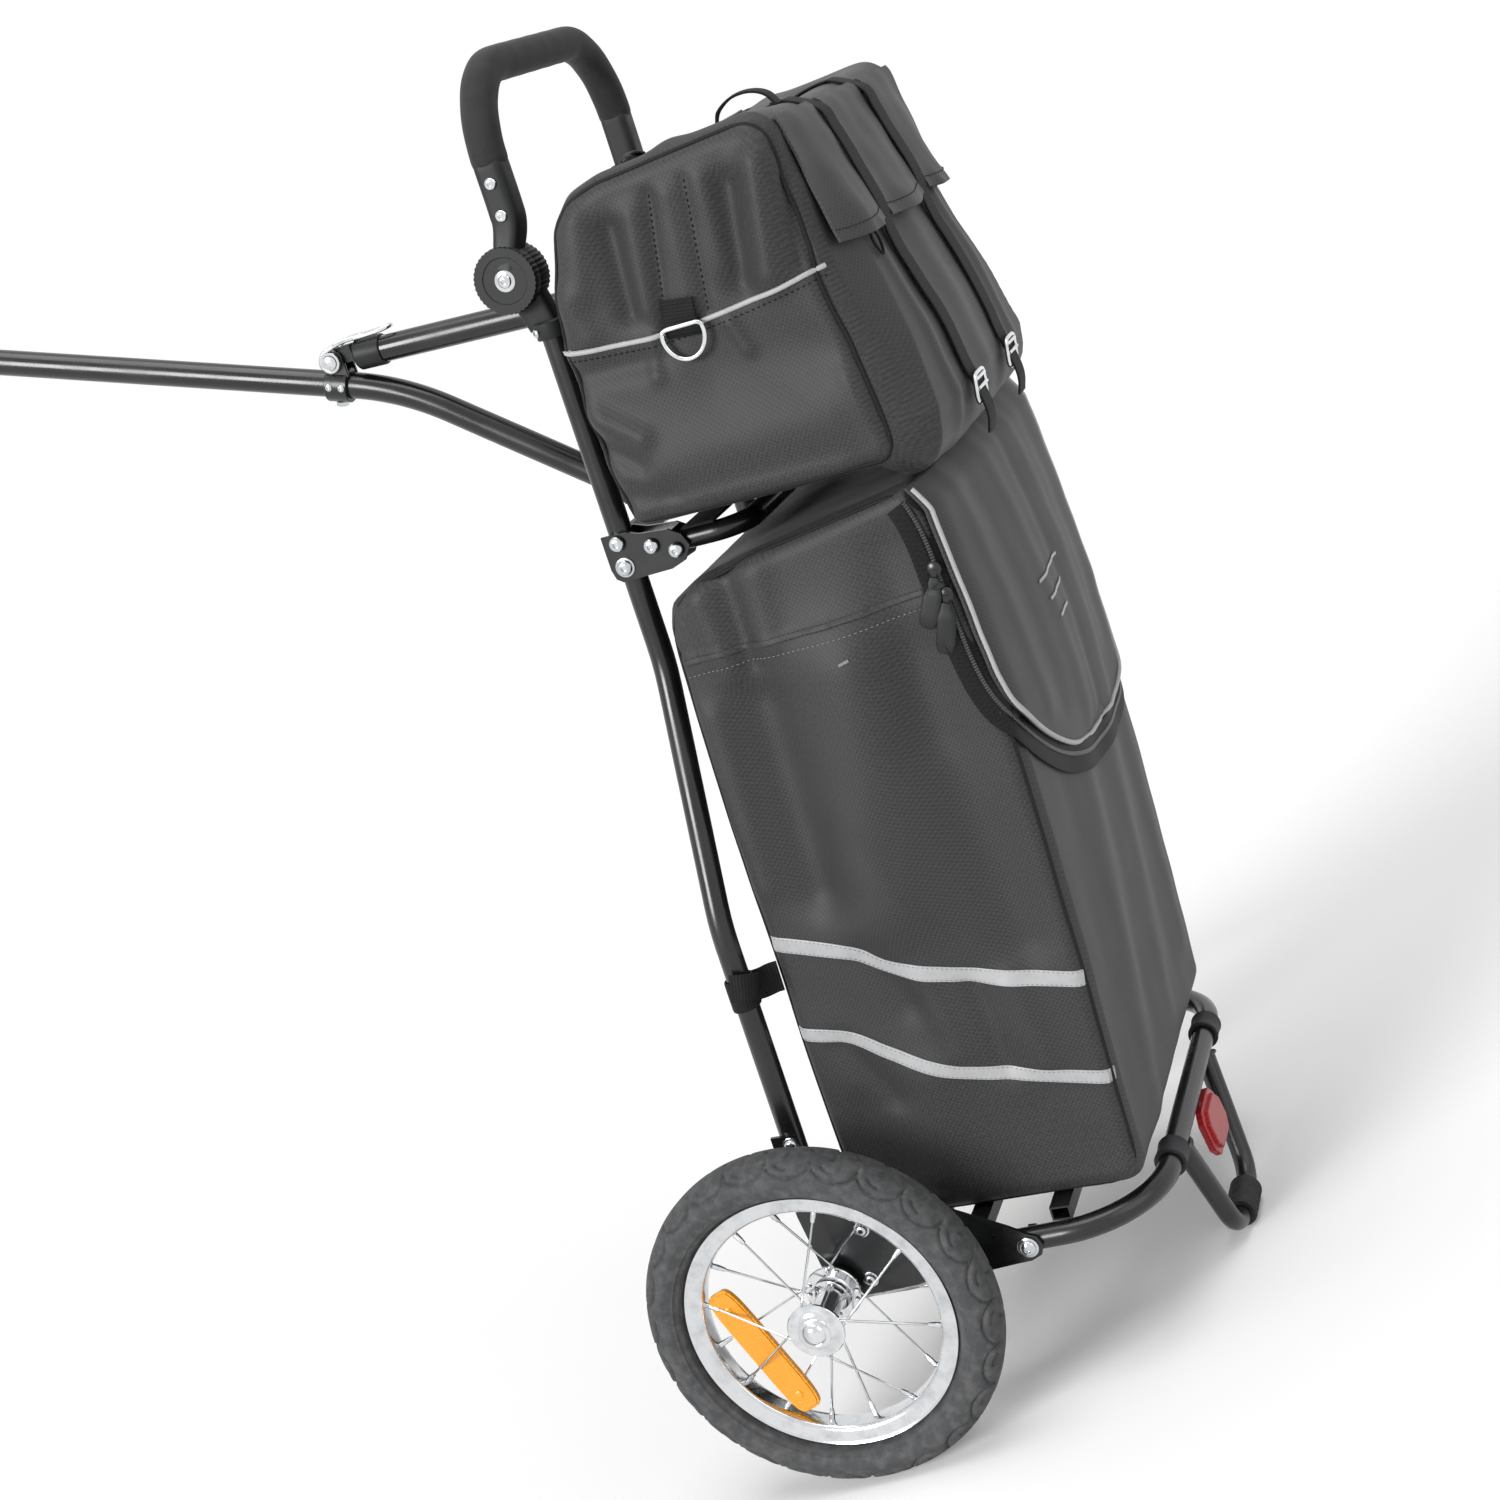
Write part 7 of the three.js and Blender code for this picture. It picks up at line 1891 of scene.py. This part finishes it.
    def zip(self, shell: SewnShell) -> None:
        """Zip across the top: tape, coil, slider and its puller."""
        tape, coil = Skin(), Skin()
        path, out = shell.land(np.column_stack([np.linspace(-152, 152, 100), np.full(100, 97.0),
                                                np.full(100, 960.0)]), (0, 0, -1))
        tape.add(ribbon(path, out, 18.0, 1.6, 0.5)).build("top_zip_tape", DARK_TAPE_AND_CREASE_SHADE, "upper_frame",
                                                          "plastic", ("upper_zip",))
        coil.add(ribbon(path, out, 4.0, 2.6, 1.4)).build("top_zip_coil", ZIP_TEETH, "upper_frame", "plastic")
        end = path[-5] + out[-5] * 3.2
        pull = Skin().add(turned([(3.6, -2.0), (4.8, -1.2), (4.8, 1.0), (3.4, 2.0)], tuple(end),
                                 tuple(out[-5]), 16))
        hang = np.array([end + [0, 0, 1.8], end + [-8, 2, 2.4], end + [-18, 3, 0.6], end + [-27, 3.5, -1.6]])
        pull.add(sweep(spline(hang.tolist(), 20), slab(8.0, 2.6, 4.0, 16), (0, 0, 1),
                       np.interp(np.arange(20), [0, 3, 16, 19], [0.5, 1, 0.9, 0.6])))
        pull.build("top_zip_pull", NYLON, "zip_pull", "plastic", ("zip_pull",))

    def build(self) -> None:
        """Builds the bag and all its trim."""
        shell = self.shell()
        for side in Side:
            self.side_trim(shell, side)
        self.lid(shell)
        self.straps(shell)
        self.zip(shell)


# Studio

@dataclass
class Studio:
    """Pale floor, white surround, soft lamps, and the camera, whose place is in the trailer's own millimetres."""

    lens_mm: float = 60.72
    shift: float = 0.0033
    eye: tuple = (1888.0, 740.0, 933.0)
    right: tuple = (-0.27682, 0.91137, -0.30458)
    up: tuple = (-0.34608, 0.20114, 0.91639)
    floor_radius: float = 30.0
    lamps: tuple = (("key", (1.7, -0.8, 0.7), 26.0, 2.7), ("top", (0.2, 0.3, 2.6), 45.0, 1.3),
                    ("fill", (1.0, 2.4, 1.3), 45.0, 0.4))

    def camera(self) -> None:
        """Sets the camera by its right and up directions."""
        place = parked(np.array(self.eye))
        right, up = ((parked(np.array(self.eye) + np.array(way)) - place) / MM for way in (self.right,
            self.up))
        back = np.cross(right, up)
        data = bpy.data.cameras.new("camera")
        data.lens, data.sensor_width, data.shift_x, data.clip_end = self.lens_mm, 36.0, self.shift, 100.0
        camera = bpy.data.objects.new("camera", data)
        camera.matrix_world = Matrix([[right[i], up[i], back[i], place[i]] for i in range(3)] + [[0, 0, 0,
            1]])
        bpy.context.scene.collection.objects.link(camera)
        bpy.context.scene.camera = camera

    def lamp(self, name: str, place: tuple, spread_deg: float, strength: float) -> None:
        """Adds a wide, soft lamp that shines evenly from a place's direction."""
        data = bpy.data.lights.new(name, "SUN")
        data.angle, data.energy = math.radians(spread_deg), strength
        lamp = bpy.data.objects.new(name, data)
        aim = -Vector(place)
        lamp.matrix_world = Matrix.Translation(place) @ aim.to_track_quat("-Z", "Y").to_matrix().to_4x4()
        bpy.context.scene.collection.objects.link(lamp)

    def shown_white(self, tree: bpy.types.NodeTree) -> bpy.types.NodeSocket:
        """One where a ray comes from the camera, a reflection or a refraction, and zero for plain light."""
        path = node(tree, "LightPath")
        most = node(tree, "Math", {0: path.outputs["Is Camera Ray"], 1: path.outputs["Is Glossy Ray"]},
                    operation="MAXIMUM")
        return node(tree, "Math", {0: most.outputs[0], 1: path.outputs["Is Transmission Ray"]},
                    operation="MAXIMUM").outputs[0]

    def surround(self) -> None:
        """White world to the eye, plain soft light to the trailer, and a pale floor that keeps the shadow."""
        world = bpy.data.worlds.new("surround")
        bpy.context.scene.world = world
        world.use_nodes = True
        tree = world.node_tree
        tree.nodes.clear()
        plain = node(tree, "Background", {"Color": linear("ffffff"), "Strength": 0.24})
        white = node(tree, "Background", {"Color": linear("ffffff"), "Strength": 1.0})
        mix = node(tree, "MixShader", {0: self.shown_white(tree), 1: plain.outputs[0], 2: white.outputs[0]})
        node(tree, "OutputWorld", {"Surface": mix.outputs[0]})
        mesh = bpy.data.meshes.new("floor")
        ring = circle(self.floor_radius, 96)
        mesh.from_pydata(np.column_stack([ring, np.zeros(96)]), [], [list(range(96))])
        sheet = bpy.data.materials.new("matt_paper_floor")
        sheet.use_nodes = True
        shader = sheet.node_tree.nodes["Principled BSDF"]
        shader.inputs["Base Color"].default_value = linear("f6f6f6")
        shader.inputs["Roughness"].default_value = 0.9
        shader.inputs["Specular IOR Level"].default_value = 0.1
        shader.inputs["Emission Color"].default_value = linear("ffffff")
        lift = node(sheet.node_tree, "Math", {0: self.shown_white(sheet.node_tree), 1: 0.12},
                    operation="MULTIPLY")
        sheet.node_tree.links.new(lift.outputs[0], shader.inputs["Emission Strength"])
        mesh.materials.append(sheet)
        floor = bpy.data.objects.new("floor", mesh)
        bpy.context.scene.collection.objects.link(floor)

    def build(self) -> None:
        """Sets the camera, surround and lamps."""
        self.camera()
        self.surround()
        for lamp in self.lamps:
            self.lamp(*lamp)


def main() -> None:
    """Builds the trailer's sub-assemblies and the studio in order."""
    logging.basicConfig(level=logging.INFO, format="%(name)s: %(message)s")
    bpy.context.scene.view_settings.view_transform = "Standard"
    for part in (Studio(), Wheel(Side.LEFT), Wheel(Side.RIGHT), LowerFrame(), Platform(), UpperFrame(),
                 TiltHandle(), Drawbar(), TallBag(), TopBag()):
        part.build()
        LOG.info("built %s", type(part).__name__)


if __name__ == "__main__":
    main()
